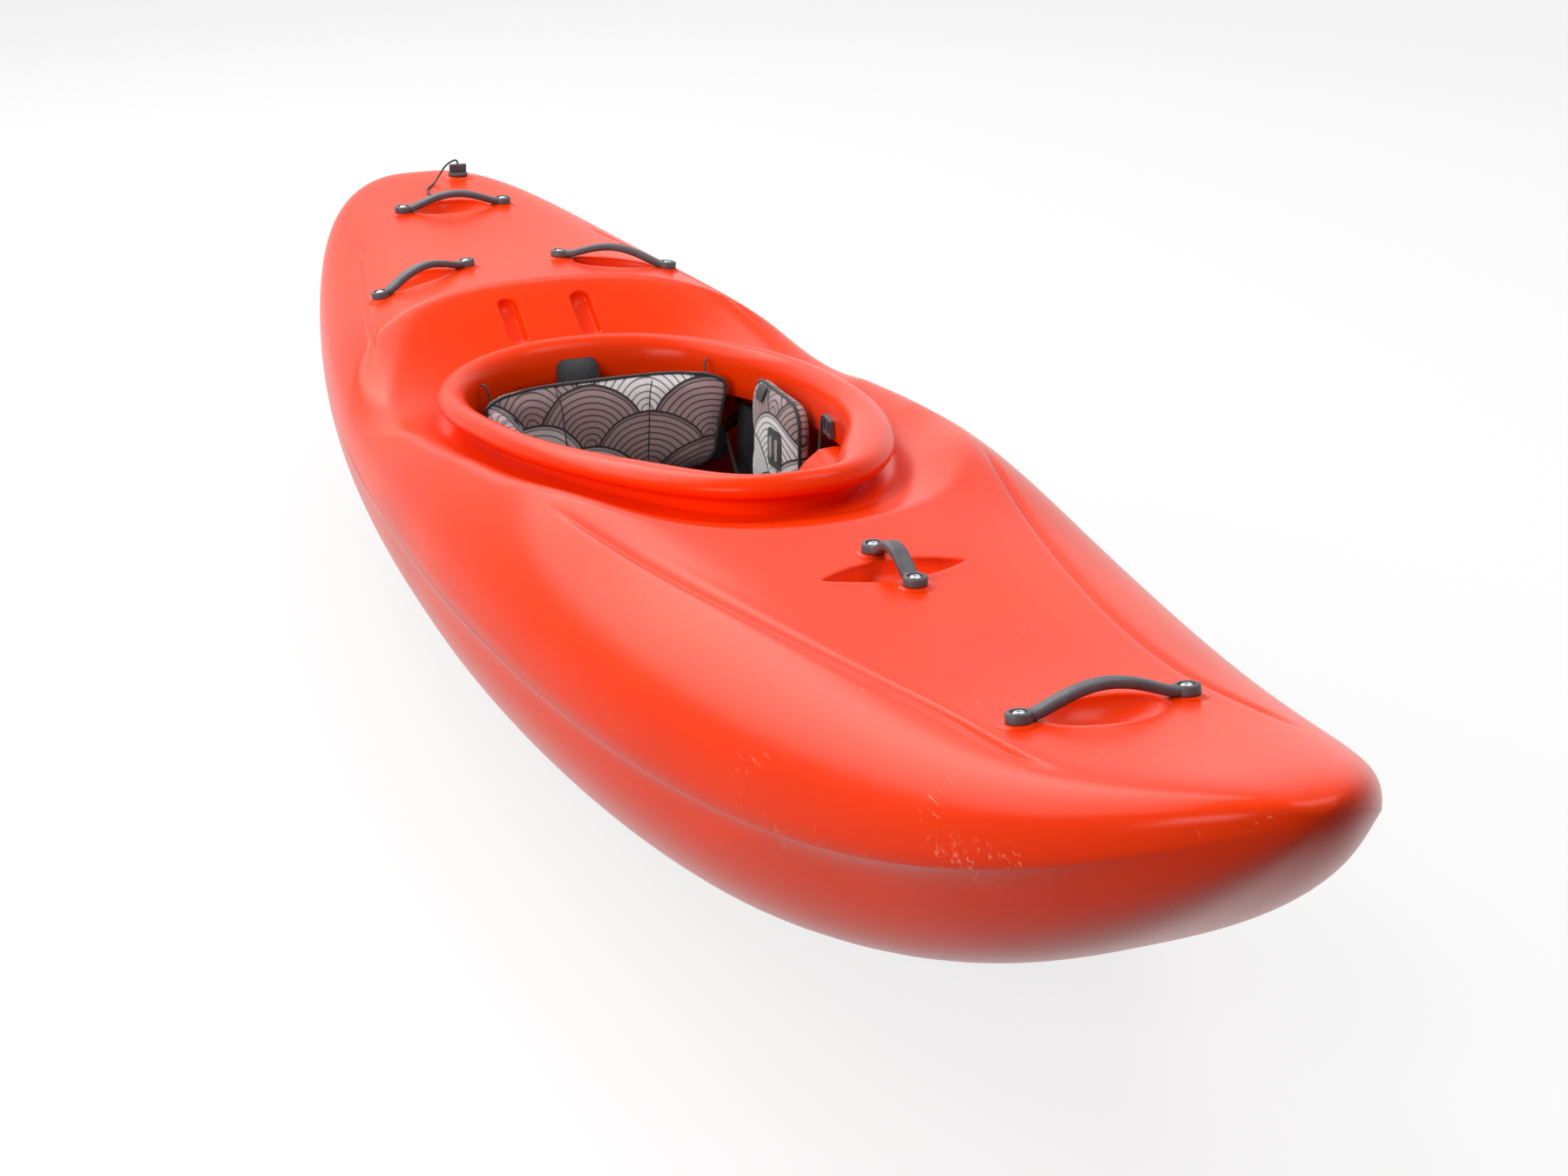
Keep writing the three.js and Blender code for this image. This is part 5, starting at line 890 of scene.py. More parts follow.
def rim_surface():
    """The rim: its section carried round the outline, wider inwards at the two thigh hooks."""
    turn = np.linspace(0, 2 * np.pi, RIM_STEPS, endpoint=False)
    hook = bell(turn - HOOK_TURN, HOOK_SPREAD) + bell(turn - (2 * np.pi - HOOK_TURN), HOOK_SPREAD)
    lip, neck = rim_profile()
    width = (LIP_WIDTH + HOOK_REACH * hook)[:, None]
    out_lip = lip[None, :, 0] * width
    up_lip = np.broadcast_to(lip[None, :, 1] * LIP_CROWN, out_lip.shape)
    necks = np.broadcast_to(neck, (RIM_STEPS, *neck.shape))
    out = np.concatenate([out_lip, necks[..., 0]], axis=1)
    up = np.concatenate([up_lip, necks[..., 1]], axis=1)
    x, y = rim_outline(turn)
    nx, ny = rim_outwards(turn)
    z = rim_height(x, y)[:, None] + up
    points = np.stack([x[:, None] + nx[:, None] * out, y[:, None] + ny[:, None] * out, z], axis=2)
    return outwards((points.reshape(-1, 3), [grid_faces(RIM_STEPS, out.shape[1], True, True)]))


def handle_surfaces(span):
    """A carry handle: a bar between two round pads, which rises as one minus the square, to a power."""
    half = span / 2
    count = BAR_ROUND_STEPS
    a = np.linspace(-1, 1, BAR_STEPS) * (half - RECESS_RADIUS - PAD_EDGE)
    share = np.minimum(np.abs(a) / (half - PAD_RADIUS), 1)
    low = GAP + PAD_HEIGHT / 2
    height = low + (HANDLE_RISE - low) * (1 - share ** 2) ** HANDLE_ARCH_POWER
    wide = BAR_HALF_WIDTH + BAR_SPREAD * (1 - smooth(*BAR_NARROW_SPAN_SHARES, share) * BAR_NARROW_SHARE)
    thin = smooth(*BAR_THIN_SPAN_SHARES, share)
    thick = BAR_HALF_THICKNESS - (BAR_HALF_THICKNESS - BAR_END_HALF_THICKNESS) * thin
    c, s = superellipse(count, BAR_ROUND_POWER)
    slope = np.gradient(height, a)
    tilt = np.stack([-slope, np.ones_like(slope)], axis=1) / np.hypot(1, slope)[:, None]
    x = a[:, None] + tilt[:, :1] * s * thick[:, None]
    z = height[:, None] + tilt[:, 1:] * s * thick[:, None]
    y = c * wide[:, None]
    ends = [np.arange(count)[None, ::-1], np.arange(count)[None, :] + (len(a) - 1) * count]
    faces = [grid_faces(len(a), count, close_columns=True), *ends]
    bar = outwards((np.stack([x, y, z], axis=2).reshape(-1, 3), faces))
    top = GAP + PAD_HEIGHT
    floor = top - RECESS_DEPTH
    pad = lathe([
        (0, floor), (RECESS_RADIUS - PAD_EDGE, floor), (RECESS_RADIUS, floor + PAD_EDGE),
        (RECESS_RADIUS, top - PAD_LIP), (RECESS_RADIUS + PAD_LIP, top), (PAD_RADIUS - PAD_ROUND, top),
        (PAD_RADIUS - PAD_EDGE, top - PAD_SHOULDER), (PAD_RADIUS, top - PAD_ROUND),
        (PAD_RADIUS, GAP + PAD_EDGE), (PAD_RADIUS - PAD_EDGE, GAP), (0, GAP),
    ])
    pads = [(pad[0] + np.array([end * half, 0, 0]), pad[1]) for end in (1, -1)]
    return [bar, *(outwards(p) for p in pads)]


def bolt_surface():
    """A domed bolt head on a washer, with a six-sided socket sunk in its top."""
    bottom = BOLT_HEAD_HEIGHT - SOCKET_DEPTH
    washer = BOLT_HEAD_RADIUS + WASHER_WIDTH
    profile = [(0, 0), (washer, 0), (washer, WASHER_HEIGHT), (BOLT_HEAD_RADIUS, WASHER_HEIGHT)]
    profile += [(BOLT_HEAD_RADIUS - inset, height) for inset, height in BOLT_DOME]
    profile += [(SOCKET_RADIUS + SOCKET_EDGE[0], BOLT_HEAD_HEIGHT)]
    profile += [(SOCKET_RADIUS, BOLT_HEAD_HEIGHT - SOCKET_EDGE[1]), (SOCKET_RADIUS, bottom), (0, bottom)]
    points, faces = lathe(profile, BOLT_STEPS)
    rings = points.reshape(len(profile), BOLT_STEPS, 3)
    turn = np.linspace(0, 2 * np.pi, BOLT_STEPS, endpoint=False)
    six = SOCKET_FLAT_SHARE / np.cos((turn + np.pi / 6) % (np.pi / 3) - np.pi / 6)
    rings[-3:-1, :, :2] *= six[None, :, None]
    return outwards((rings.reshape(-1, 3), faces))


# Seat: pan, feet and cushion
SEAT_REAR_X = RIM_X - 306
SEAT_LENGTH = 380
SEAT_HALF_WIDTH = RIM_HALF_WIDTH - LIP_WIDTH - NECK_INSET - 3
SEAT_HEIGHT = 62
SEAT_FRONT_RISE = 24
SEAT_WING_HEIGHT = 162
SEAT_FRONT_WING_HEIGHT = 44
SEAT_REAR_LIP = 26
SEAT_THICKNESS = 5
SEAT_SIDE_POWER = 2.6
SEAT_WING_POWER = 4
SEAT_PAD_SIZE = (230, 190, 18)
SEAT_FLOOR_RISE_SHARE = 0.6
SEAT_WING_FALL_SHARES = (0.6, 0.92)
SEAT_LIP_SHARE = 0.13
SEAT_PAD_SHARE = 0.52
SEAT_PAD_STAND = 1.5
SEAT_PAD_CORNER_POWER = 0.3
SEAT_FOOT_SIZE = (170, 26, 21.2)
SEAT_FOOT_CORNER = 8
SEAT_FOOT_EDGE = 1.5
SEAT_FOOT_X = SEAT_REAR_X + 145
SEAT_FOOT_Y = 110
SEAT_FOOT_BOTTOM = 38.3
SEAT_PAD_SWELL = 1.2

# Hip pads, and the cords and locks beside them
HIP_PAD_X = SEAT_REAR_X + 203
HIP_PAD_SIZE = (168, 170, 32)
HIP_PAD_TOP = RIM_HEIGHT - 38
ADJUSTER_LOW = 120
ADJUSTER_REAR_X = SEAT_REAR_X + 133
ADJUSTER_MIDDLE_X = SEAT_REAR_X + 212
ADJUSTER_FRONT_X = SEAT_REAR_X + 299
HIP_PAD_BACK_Y = RIM_HALF_WIDTH - LIP_WIDTH - NECK_INSET - 4.4
HIP_PAD_STAND = 1.2
HIP_TAB_RISE = 79
ADJUSTER_RADIUS = 2
ADJUSTER_EAR_RISE = 11
LOCK_INSET = 3.9
LOCK_DROP = 32
LOCK_REACH = 21
LOCK_TURN = 1.5

# Backband: band, seams, plate, ears, straps and hangers
BACKBAND_X = SEAT_REAR_X + 55
BACKBAND_WIDTH = 2 * (RIM_HALF_WIDTH - LIP_WIDTH - NECK_INSET - 17)
BACKBAND_TOP = RIM_HEIGHT - 56
BACKBAND_HEIGHT = 142
BACKBAND_THICKNESS = 26
BACKBAND_BOW = 40
BACKBAND_LEAN = 10
BACKBAND_NARROW_SHARE = 0.17
BACKBAND_PIVOT_HEIGHT = BACKBAND_TOP - BACKBAND_HEIGHT + 34
BACKBAND_EAR_Y = BACKBAND_WIDTH / 2 - 12
BACKBAND_STAND = BACKBAND_THICKNESS / 2 + 1.2
BACKBAND_SEAM_SHARES = (-0.34, 0.36)
SEAM_DEPTH = 1.8
SEAM_WIDTH = 3.4
SEAM_REACH_SHARE = 0.44
SEAM_THREAD_RADIUS = 0.8
SEAM_STEPS = 60
SEAM_SMOOTHINGS = 12
PLATE_STAND = 1.2
PLATE_THICKNESS = 3
PLATE_MARGINS = (24, 18)
MIDDLE_SHARE = 0.02
PLATE_SHARES = (MIDDLE_SHARE, 0.4, 0.7, 0.9, 0.97, 1.0)
EAR_HALF_HEIGHT = 22
EAR_THICKNESS = 5
EAR_CORNER = 7
EAR_EDGE = 1.2
EAR_OVERLAP = 16
EAR_STAND = 3
STRAP_EDGE = 0.5
HANGER_TURN = 2.42
HANGER_DROP = 14
HANGER_RADIUS = 1.5
HANGER_TOP_DROP = 32
HANGER_INSET = 24
HANGER_STAND = 5.4
BACKBAND_CORNER_POWER = 0.36

# Foam walls, and the rounding of the stern one's nose
PILLAR_HALF_WIDTH = 28
NOSE_CUT_SHARES = (-0.95, -0.85, -0.7, -0.5, -0.25, 0, 0.25, 0.5, 0.7, 0.85, 0.95)
NOSE_DEPTH = 60
NOSE_LENGTH = 66
NOSE_FADE = 12
NOSE_DROP = 24
NOSE_POWER = 2.5
PILLAR_EDGE = 6

# Copies of CAD shapes, rails, and the two sides
MERGE_DISTANCE = 0.01
FLAT_ANGLE = math.radians(1)
SHARP_ANGLE = math.radians(40)
ROUNDED_ANGLE = math.radians(38)
RAILS = ("seat_rail", "foot_rail")
SIDES = (("port", 1), ("starboard", -1))

# Cushions: cover, filling, bound edge, patches and print
CUSHION_PROFILE_SHARES = (
    (0.0, 1.0), (0.2, 0.997), (0.4, 0.985), (0.55, 0.965), (0.68, 0.93), (0.78, 0.885), (0.86, 0.82),
    (0.92, 0.73), (0.965, 0.61), (0.99, 0.48), (1.0, 0.36), (0.99, 0.22), (0.965, 0.1), (0.92, 0.03),
    (0.8, 0.0), (0.5, 0.0), (0.0, 0.0),
)
CUSHION_CORNER_POWER = 0.42
CUSHION_DRAW_SHARE = 0.035
COVER_SHRINK = 1.6
COVER_SWELL = 3
SWELL_VOXEL = 5.0
SWELL_PRESSURE = 4
SWELL_FRAMES = 20
PIPING_RADIUS = 2.2
PIPING_LIFT_SHARE = 0.35
PIPING_DEPTH_SHARE = 0.62
PATCH_START_DEPTH = 40.0
FAN_RADIUS = 78
RING_SPACING = 8


def cushion_points(size, corner, profile, count, shrink=0):
    """Places a, b and depth over a cushion: rings of a drawn-in superellipse, along its profile."""
    width, height, thickness = size
    a, b = superellipse(count, corner)
    draw = 1 - CUSHION_DRAW_SHARE * (1 - np.abs(a * b))
    reach, depth = np.array(profile, float).T
    pa = a * draw * reach[:, None] * (width / 2 - shrink)
    pb = b * draw * reach[:, None] * (height / 2 - shrink)
    return pa, pb, np.broadcast_to((shrink + depth * (thickness - 2 * shrink))[:, None], pa.shape)


def cushion_surface(size, corner, place, count=128):
    """A crowned pad with drawn-in sides, carried into place by a function of a, b and depth."""
    pa, pb, depth = cushion_points(size, corner, CUSHION_PROFILE_SHARES, count, COVER_SHRINK)
    points = place(pa, pb, depth).reshape(-1, 3)
    return outwards((points, [grid_faces(len(CUSHION_PROFILE_SHARES), count, close_columns=True)]))


def edge_line(size, corner, place, count=160):
    """The line round a cushion's edge, at the piping's share of its depth."""
    pa, pb, depth = cushion_points(size, corner, ((0.995, PIPING_DEPTH_SHARE),), count)
    return place(pa, pb, depth)[0]


def backband_x(y, z):
    """Middle of the backband's thickness: bowed back by a parabola across, and leaning with its height."""
    bend = BACKBAND_BOW * (1 - (2 * y / BACKBAND_WIDTH) ** 2)
    return BACKBAND_X - bend - BACKBAND_LEAN * (z - BACKBAND_PIVOT_HEIGHT) / BACKBAND_HEIGHT


def backband_edge(z):
    """Half width of the backband at a height: narrower towards the bottom."""
    return BACKBAND_WIDTH / 2 * (1 - BACKBAND_NARROW_SHARE * (BACKBAND_TOP - z) / BACKBAND_HEIGHT)


def backband_place(a, b, depth):
    """A point of the backband's pad: across the band, up it, and forward by the depth."""
    z = BACKBAND_TOP - BACKBAND_HEIGHT / 2 + b
    y = a * backband_edge(z) * 2 / BACKBAND_WIDTH
    return np.stack([backband_x(y, z) - BACKBAND_THICKNESS / 2 + depth, y, z], axis=-1)


def wing_inside(z):
    """Inside face of the seat's wing at a height."""
    rise = np.clip((z - SEAT_HEIGHT) / SEAT_WING_HEIGHT, 0, 1)
    return SEAT_HALF_WIDTH * (1 - (1 - rise ** (1 / SEAT_WING_POWER)) ** SEAT_SIDE_POWER)


def disc_slab(upper, lower):
    """A closed sheet between two sets of rings, with its small middle hole filled."""
    rings, count = upper.shape[:2]
    below = rings * count
    top = grid_faces(rings, count, close_columns=True)
    outer = np.arange(count) + below - count
    after = np.roll(outer, -1)
    wall = np.stack([outer, after, after + below, outer + below], axis=1)
    middle = np.arange(count)[None, :]
    points = np.concatenate([upper.reshape(-1, 3), lower.reshape(-1, 3)])
    return outwards((points, [top, top[:, ::-1] + below, wall, middle[:, ::-1], middle + below]))


def plate_surfaces():
    """The stiff plate behind the backband, cut to the cushion's outline, and its two ears."""
    size = (BACKBAND_WIDTH - PLATE_MARGINS[0], BACKBAND_HEIGHT - PLATE_MARGINS[1], 1)
    pa, pb, _ = cushion_points(size, BACKBAND_CORNER_POWER, [(share, 0) for share in PLATE_SHARES], 128)
    depths = (-PLATE_STAND, -PLATE_STAND - PLATE_THICKNESS)
    surfaces = [disc_slab(*(backband_place(pa, pb, np.full(pa.shape, depth)) for depth in depths))]
    for side in (1, -1):
        width = BACKBAND_EAR_Y - EAR_INNER_Y
        points, faces = rounded_block((width, 2 * EAR_HALF_HEIGHT, EAR_THICKNESS), EAR_CORNER, EAR_EDGE)
        points = points[:, [2, 0, 1]] - (EAR_THICKNESS / 2, 0, 0)
        points += (EAR_X, side * (EAR_INNER_Y + width / 2), BACKBAND_PIVOT_HEIGHT)
        surfaces.append(outwards((points, faces)))
    return surfaces


def hip_pad_place(side):
    """A function that places a hip pad's points on one wing of the seat."""
    def place(a, b, depth):
        z = HIP_PAD_TOP - HIP_PAD_SIZE[1] / 2 + b
        back = np.minimum(wing_inside(z) - HIP_PAD_STAND, HIP_PAD_BACK_Y)
        return np.stack([HIP_PAD_X + a, side * (back - depth), z], axis=-1)
    return place


def seat_floor(u):
    """Height of the seat's floor at a share of its length."""
    return SEAT_HEIGHT + SEAT_FRONT_RISE * smooth(SEAT_FLOOR_RISE_SHARE, 1, u)


def seat_pad_place(a, b, depth):
    """A point of the seat cushion on the seat's floor."""
    share = SEAT_PAD_SHARE + a / SEAT_LENGTH
    x = SEAT_REAR_X + SEAT_LENGTH * share
    return np.stack([x, b, seat_floor(share) + SEAT_PAD_STAND + depth], axis=-1)


def seat_surface():
    """The seat pan: floor and side wings, whose height goes with the fourth power of the way across."""
    u, v = np.meshgrid(np.linspace(0, 1, 60), np.linspace(-1, 1, 121), indexing="ij")
    side = np.abs(v)
    fall = 1 - smooth(*SEAT_WING_FALL_SHARES, u)
    wing = SEAT_FRONT_WING_HEIGHT + (SEAT_WING_HEIGHT - SEAT_FRONT_WING_HEIGHT) * fall
    y = SEAT_HALF_WIDTH * np.sign(v) * (1 - (1 - side) ** SEAT_SIDE_POWER)
    lip = SEAT_REAR_LIP * (1 - np.minimum(u / SEAT_LIP_SHARE, 1)) ** 2
    z = seat_floor(u) + lip * (1 - side ** 2) + wing * side ** SEAT_WING_POWER
    x = SEAT_REAR_X + SEAT_LENGTH * u
    edge = side ** 3
    upper = np.stack([x, y, z], axis=-1)
    lower = np.stack([x, y + SEAT_THICKNESS * np.sign(v) * edge, z - SEAT_THICKNESS * (1 - edge)], axis=-1)
    return outwards(slab(upper, lower))


def slab(front, back):
    """A closed sheet between two grids of points, joined round their edges."""
    rows, columns = front.shape[:2]
    points = np.concatenate([front.reshape(-1, 3), back.reshape(-1, 3)])
    top = grid_faces(rows, columns)
    under = top[:, ::-1] + rows * columns
    number = np.arange(rows * columns).reshape(rows, columns)
    border = np.concatenate([number[0, :-1], number[:-1, -1], number[-1, :0:-1], number[:0:-1, 0]])
    after = np.roll(border, -1)
    edge = np.stack([after, border, border + rows * columns, after + rows * columns], axis=1)
    return points, [top, under, edge[:, ::-1]]


# Places of the ears, from the backband's own curve
EAR_INNER_Y = backband_edge(BACKBAND_PIVOT_HEIGHT) - EAR_OVERLAP
EAR_X = backband_x(EAR_INNER_Y, BACKBAND_PIVOT_HEIGHT) - BACKBAND_STAND - EAR_STAND
EAR_CORD_Y = BACKBAND_EAR_Y + GAP + ADJUSTER_RADIUS

# Patches sewn on the hip pads: finish, places, size, corner power, lift off the cover and thickness
HIP_PATCHES = {
    "hip_patch": ("nylon_webbing", ((30, 14),), (42, 50), 0.35, -0.2, 1.4),
    "hip_tab": ("nylon_webbing", ((-26, HIP_TAB_RISE),), (26, 34), 0.5, 1.2, 2.4),
    "hip_loops": ("grey_webbing", ((21, 14), (39, 14)), (8, 28), 0.6, 0.8, 1.6),
}

# CAD nodes whose shape is kept: piece, finish, body, slot, size and steps of the rounded edge, share of a pad
KEPT_SHAPES = {
    "thigh_brace": ("thigh_hook", "moulded_polyethylene", "brace_{}", "hull_plastic", 1.2, 2, None),
    "thigh_pad": ("thigh_foam", "closed_cell_foam", "brace_{}", "foam", 2.5, 3, 0.9),
    "cord_lock": ("ladder_lock", "glass_filled_nylon", "hull", "outfitting_plastic", 0.8, 2, None),
    "foot_plate": ("foot_board", "glass_filled_nylon", "foot_{}", "outfitting_plastic", 1, 2, None),
    "foot_pad": ("foot_foam", "closed_cell_foam", "foot_{}", "foam", 2, 3, 0.9),
}


def rounded_block(size, corner, edge, count=64):
    """A block with rounded corners and edges: rings of a rounded rectangle, drawn in at each end."""
    length, width, height = size
    turn = (np.arange(count) + 0.5) * 2 * np.pi / count
    c, s = np.cos(turn), np.sin(turn)
    quarter = np.linspace(0, np.pi / 2, 5)
    inwards = edge * (1 - np.sin(quarter))
    rise = edge * (1 - np.cos(quarter))
    shrink = np.concatenate([inwards, inwards[::-1]])
    z = np.concatenate([rise, height - rise[::-1]])
    reach = np.maximum(corner - shrink, 0.2)[:, None]
    x = np.sign(c) * (length / 2 - corner) + reach * c
    y = np.sign(s) * (width / 2 - corner) + reach * s
    points = np.stack([x, y, np.broadcast_to(z[:, None], x.shape)], axis=2).reshape(-1, 3)
    last = (len(z) - 1) * count
    ends = [np.arange(count)[None, ::-1], np.arange(last, last + count)[None, :]]
    return outwards((points, [grid_faces(len(z), count, close_columns=True), *ends]))


def plug_surfaces():
    """The drain plug about its own axis: a fluted head, a rounded grip across it, and a stem."""
    profile = [(0, GAP), (PLUG_HEAD_RADIUS - 1, GAP), (PLUG_HEAD_RADIUS, PLUG_EDGE)]
    profile += [(PLUG_HEAD_RADIUS - inset, PLUG_HEAD_HEIGHT * share) for inset, share in PLUG_HEAD_CURVE]
    points, faces = lathe(profile, PLUG_STEPS)
    rings = points.reshape(len(profile), PLUG_STEPS, 3)
    turn = np.linspace(0, 2 * np.pi, PLUG_STEPS, endpoint=False)
    flutes = np.cos(PLUG_FLUTES * turn) < -0.2
    rings[2:4, :, :2] *= (1 - PLUG_FLUTE_SHARE * flutes)[None, :, None]
    head = outwards((rings.reshape(-1, 3), faces))
    grip, grip_faces = rounded_block(PLUG_GRIP_SIZE, PLUG_GRIP_CORNER, PLUG_GRIP_EDGE)
    return [head, (grip + (0, 0, PLUG_GRIP_BOTTOM), grip_faces), outwards(lathe(PLUG_STEM, ROUND_STEPS))]


def wall_point(turn, inwards):
    """A point in plan at a turn round the cockpit, moved in from the rim's outer edge."""
    x, y = rim_outline(turn)
    nx, ny = rim_outwards(turn)
    return float(x - nx * inwards), float(y - ny * inwards)


def hanger_path(side):
    """Route of the cord from a top corner of the backband to a hole in the neck under the rim."""
    top = BACKBAND_TOP - HANGER_TOP_DROP
    y = backband_edge(top) - HANGER_INSET
    x = backband_x(y, top) - BACKBAND_THICKNESS / 2 - HANGER_STAND
    hole_x, hole_y = wall_point(HANGER_TURN, LIP_WIDTH + NECK_INSET + HANGER_RADIUS)
    height = rim_height(hole_x, hole_y) - HANGER_DROP
    route = [(x, side * y, top), (x - 8, side * y, top + 1), (hole_x + 8, side * (hole_y - 4), height),
             (hole_x, side * hole_y, height)]
    return smooth_path(route, 24)


def adjuster_path(side):
    """Route of the cord from an ear of the backband's plate, past the hip pad, to its lock on the neck."""
    y = side * EAR_CORD_Y
    low = ADJUSTER_LOW
    ear = BACKBAND_PIVOT_HEIGHT + ADJUSTER_EAR_RISE
    lock_x, lock_y = wall_point(LOCK_TURN, LIP_WIDTH + NECK_INSET + LOCK_INSET)
    lock_z = rim_height(lock_x, lock_y) - LOCK_DROP
    foot = lock_x - LOCK_REACH
    lock_y = side * lock_y
    route = [(EAR_X, y, ear), (EAR_X + 44, y, (ear + 2 * low) / 3), (ADJUSTER_REAR_X, y - side * 2, low + 4),
             (ADJUSTER_MIDDLE_X, y - side * 2, low), (ADJUSTER_FRONT_X, y, low + 8),
             (foot + 2, (2 * y + lock_y) / 3, (2 * low + lock_z) / 3),
             (foot + 2, (y + 2 * lock_y) / 3, (low + 2 * lock_z) / 3), (foot, lock_y, lock_z)]
    return smooth_path(route, 80)


def swell(piece, cap):
    """Lets a pad's cover fill under pressure in a cloth simulation, moved no further than the cap."""
    remesh = piece.modifiers.new("voxels", "REMESH")
    remesh.mode = "VOXEL"
    remesh.voxel_size = SWELL_VOXEL * MM
    apply_modifiers(piece)
    count = len(piece.data.vertices)
    before = np.zeros(count * 3)
    piece.data.vertices.foreach_get("co", before)
    cloth = piece.modifiers.new("filling", "CLOTH")
    cloth.settings.use_pressure = True
    cloth.settings.uniform_pressure_force = SWELL_PRESSURE
    cloth.settings.effector_weights.gravity = 0
    cloth.settings.quality = 5
    cloth.point_cache.frame_start, cloth.point_cache.frame_end = 1, SWELL_FRAMES
    for number in range(1, SWELL_FRAMES + 1):
        bpy.context.scene.frame_set(number)
    apply_modifiers(piece)
    bpy.context.scene.frame_set(1)
    after = np.zeros(count * 3)
    piece.data.vertices.foreach_get("co", after)
    move = (after - before).reshape(-1, 3)
    length = np.linalg.norm(move, axis=1)[:, None]
    move *= np.minimum(1, cap * MM / np.maximum(length, 1e-9))
    piece.data.vertices.foreach_set("co", (before.reshape(-1, 3) + move).ravel())
    piece.data.update()


def apply_modifiers(piece):
    """Puts a piece's modifiers into its mesh."""
    graph = bpy.context.evaluated_depsgraph_get()
    mesh = bpy.data.meshes.new_from_object(piece.evaluated_get(graph))
    piece.modifiers.clear()
    piece.data = mesh


def add_cushion(name, size, corner, place, material, body, replaces, cap):
    """A padded piece: its formed cover, filled by simulation, and smoothed."""
    piece = add_piece(name, [cushion_surface(size, corner, place)], material, None)
    swell(piece, cap)
    relax = piece.modifiers.new("relax", "SMOOTH")
    relax.factor, relax.iterations = 0.5, 3
    fine = piece.modifiers.new("fine", "SUBSURF")
    fine.levels = fine.render_levels = 1
    apply_modifiers(piece)
    piece.data.polygons.foreach_set("use_smooth", np.ones(len(piece.data.polygons), bool))
    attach(piece, body)
    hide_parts(*replaces)
    return piece


def add_node(tree, kind, inputs=(), output=0, **settings):
    """Adds a node with its settings, sets or links its inputs in order or by name, and gives an output."""
    node = tree.nodes.new("ShaderNode" + kind)
    for name, value in settings.items():
        setattr(node, name, value)
    pairs = inputs.items() if isinstance(inputs, dict) else enumerate(inputs)
    for key, value in pairs:
        if isinstance(value, bpy.types.NodeSocket):
            tree.links.new(value, node.inputs[key])
        else:
            node.inputs[key].default_value = value
    return node.outputs[output]


def start_material(name, colour, roughness, metallic=0.0, **sockets):
    """A material whose even values are set on the shader's own sockets, and what adds a node to it."""
    material = bpy.data.materials.new(name)
    material.use_nodes = True
    shader = material.node_tree.nodes["Principled BSDF"]
    sockets.update(Base_Color=colour, Roughness=roughness, Metallic=metallic)
    for key, value in sockets.items():
        shader.inputs[key.replace("_", " ")].default_value = value
    material.diffuse_color = colour
    return material, partial(add_node, material.node_tree)


def end_material(material, **sockets):
    """The material, with patterns linked to the shader's sockets."""
    tree = material.node_tree
    for key, value in sockets.items():
        tree.links.new(value, tree.nodes["Principled BSDF"].inputs[key.replace("_", " ")])
    return material


def moulded_polyethylene(name):
    """Rotomoulded polyethylene: waxy, with a fine orange peel from the mould, pale scuffs and scratches."""
    shell = bpy.context.scene.kayak_colours.shell
    material, node = start_material(name, shell, 0.3, Specular_IOR_Level=SHELL_SPECULAR_LEVEL)
    where = node("TexCoord", output="Object")
    cloud, patch, chips, peel = (
        node("TexNoise", {"Vector": where, "Scale": 1 / size, "Detail": detail, "Roughness": roughness})
        for size, detail, roughness in SHELL_NOISES)
    stretched = node("Mapping", {"Vector": where, "Rotation": STREAK_TURNS, "Scale": STREAK_SCALES})
    streak = node("TexNoise", {"Vector": stretched, "Scale": 1, "Detail": 4, "Roughness": 0.6})
    worn_edge = node("Attribute", output="Fac", attribute_name="wear")
    bow = node("MapRange", (node("SeparateXYZ", [where], "X"), *BOW_WEAR_SPAN), **SOFT)
    deck = node("Math", (bow, node("MapRange", (patch, 0.6, 0.72), **SOFT)), operation="MULTIPLY")
    bottom = node("MapRange", (node("SeparateXYZ", [where], "Z"), *BOTTOM_WEAR_SPAN), **SOFT)
    low = node("Math", (bottom, 0.8), operation="MULTIPLY")
    scratched = node("Math", (deck, low), operation="MAXIMUM")
    lines = node("MapRange", (streak, 0.6, 0.66), **SOFT)
    scratch = node("Math", (lines, scratched), operation="MULTIPLY")
    spots = node("MapRange", (node("Math", (chips, patch), operation="ADD"), 1.16, 1.26), **SOFT)
    chipped = node("Math", (worn_edge, spots), operation="MULTIPLY")
    marks = node("Math", (scratch, chipped), operation="MAXIMUM")
    shade = node("MapRange", (cloud, 0.3, 0.75), **SOFT)
    base = node("Mix", {"Factor": shade, 6: linear("#F03602"), 7: tuple(shell)}, 2, **COLOUR)
    pale = node("Math", (marks, 0.6), operation="MULTIPLY")
    base = node("Mix", {"Factor": pale, 6: base, 7: linear("#FFA488")}, 2, **COLOUR)
    dull = node("MapRange", (marks, 0, 1, 0.24, 0.52), **SOFT)
    bump = node("Bump", {"Strength": 0.06, "Distance": PEEL_HEIGHT, "Height": peel})
    cuts = node("Bump", {"Strength": 0.3, "Distance": -SCRATCH_DEPTH, "Height": marks, "Normal": bump})
    return end_material(material, Base_Color=base, Roughness=dull, Normal=cuts)


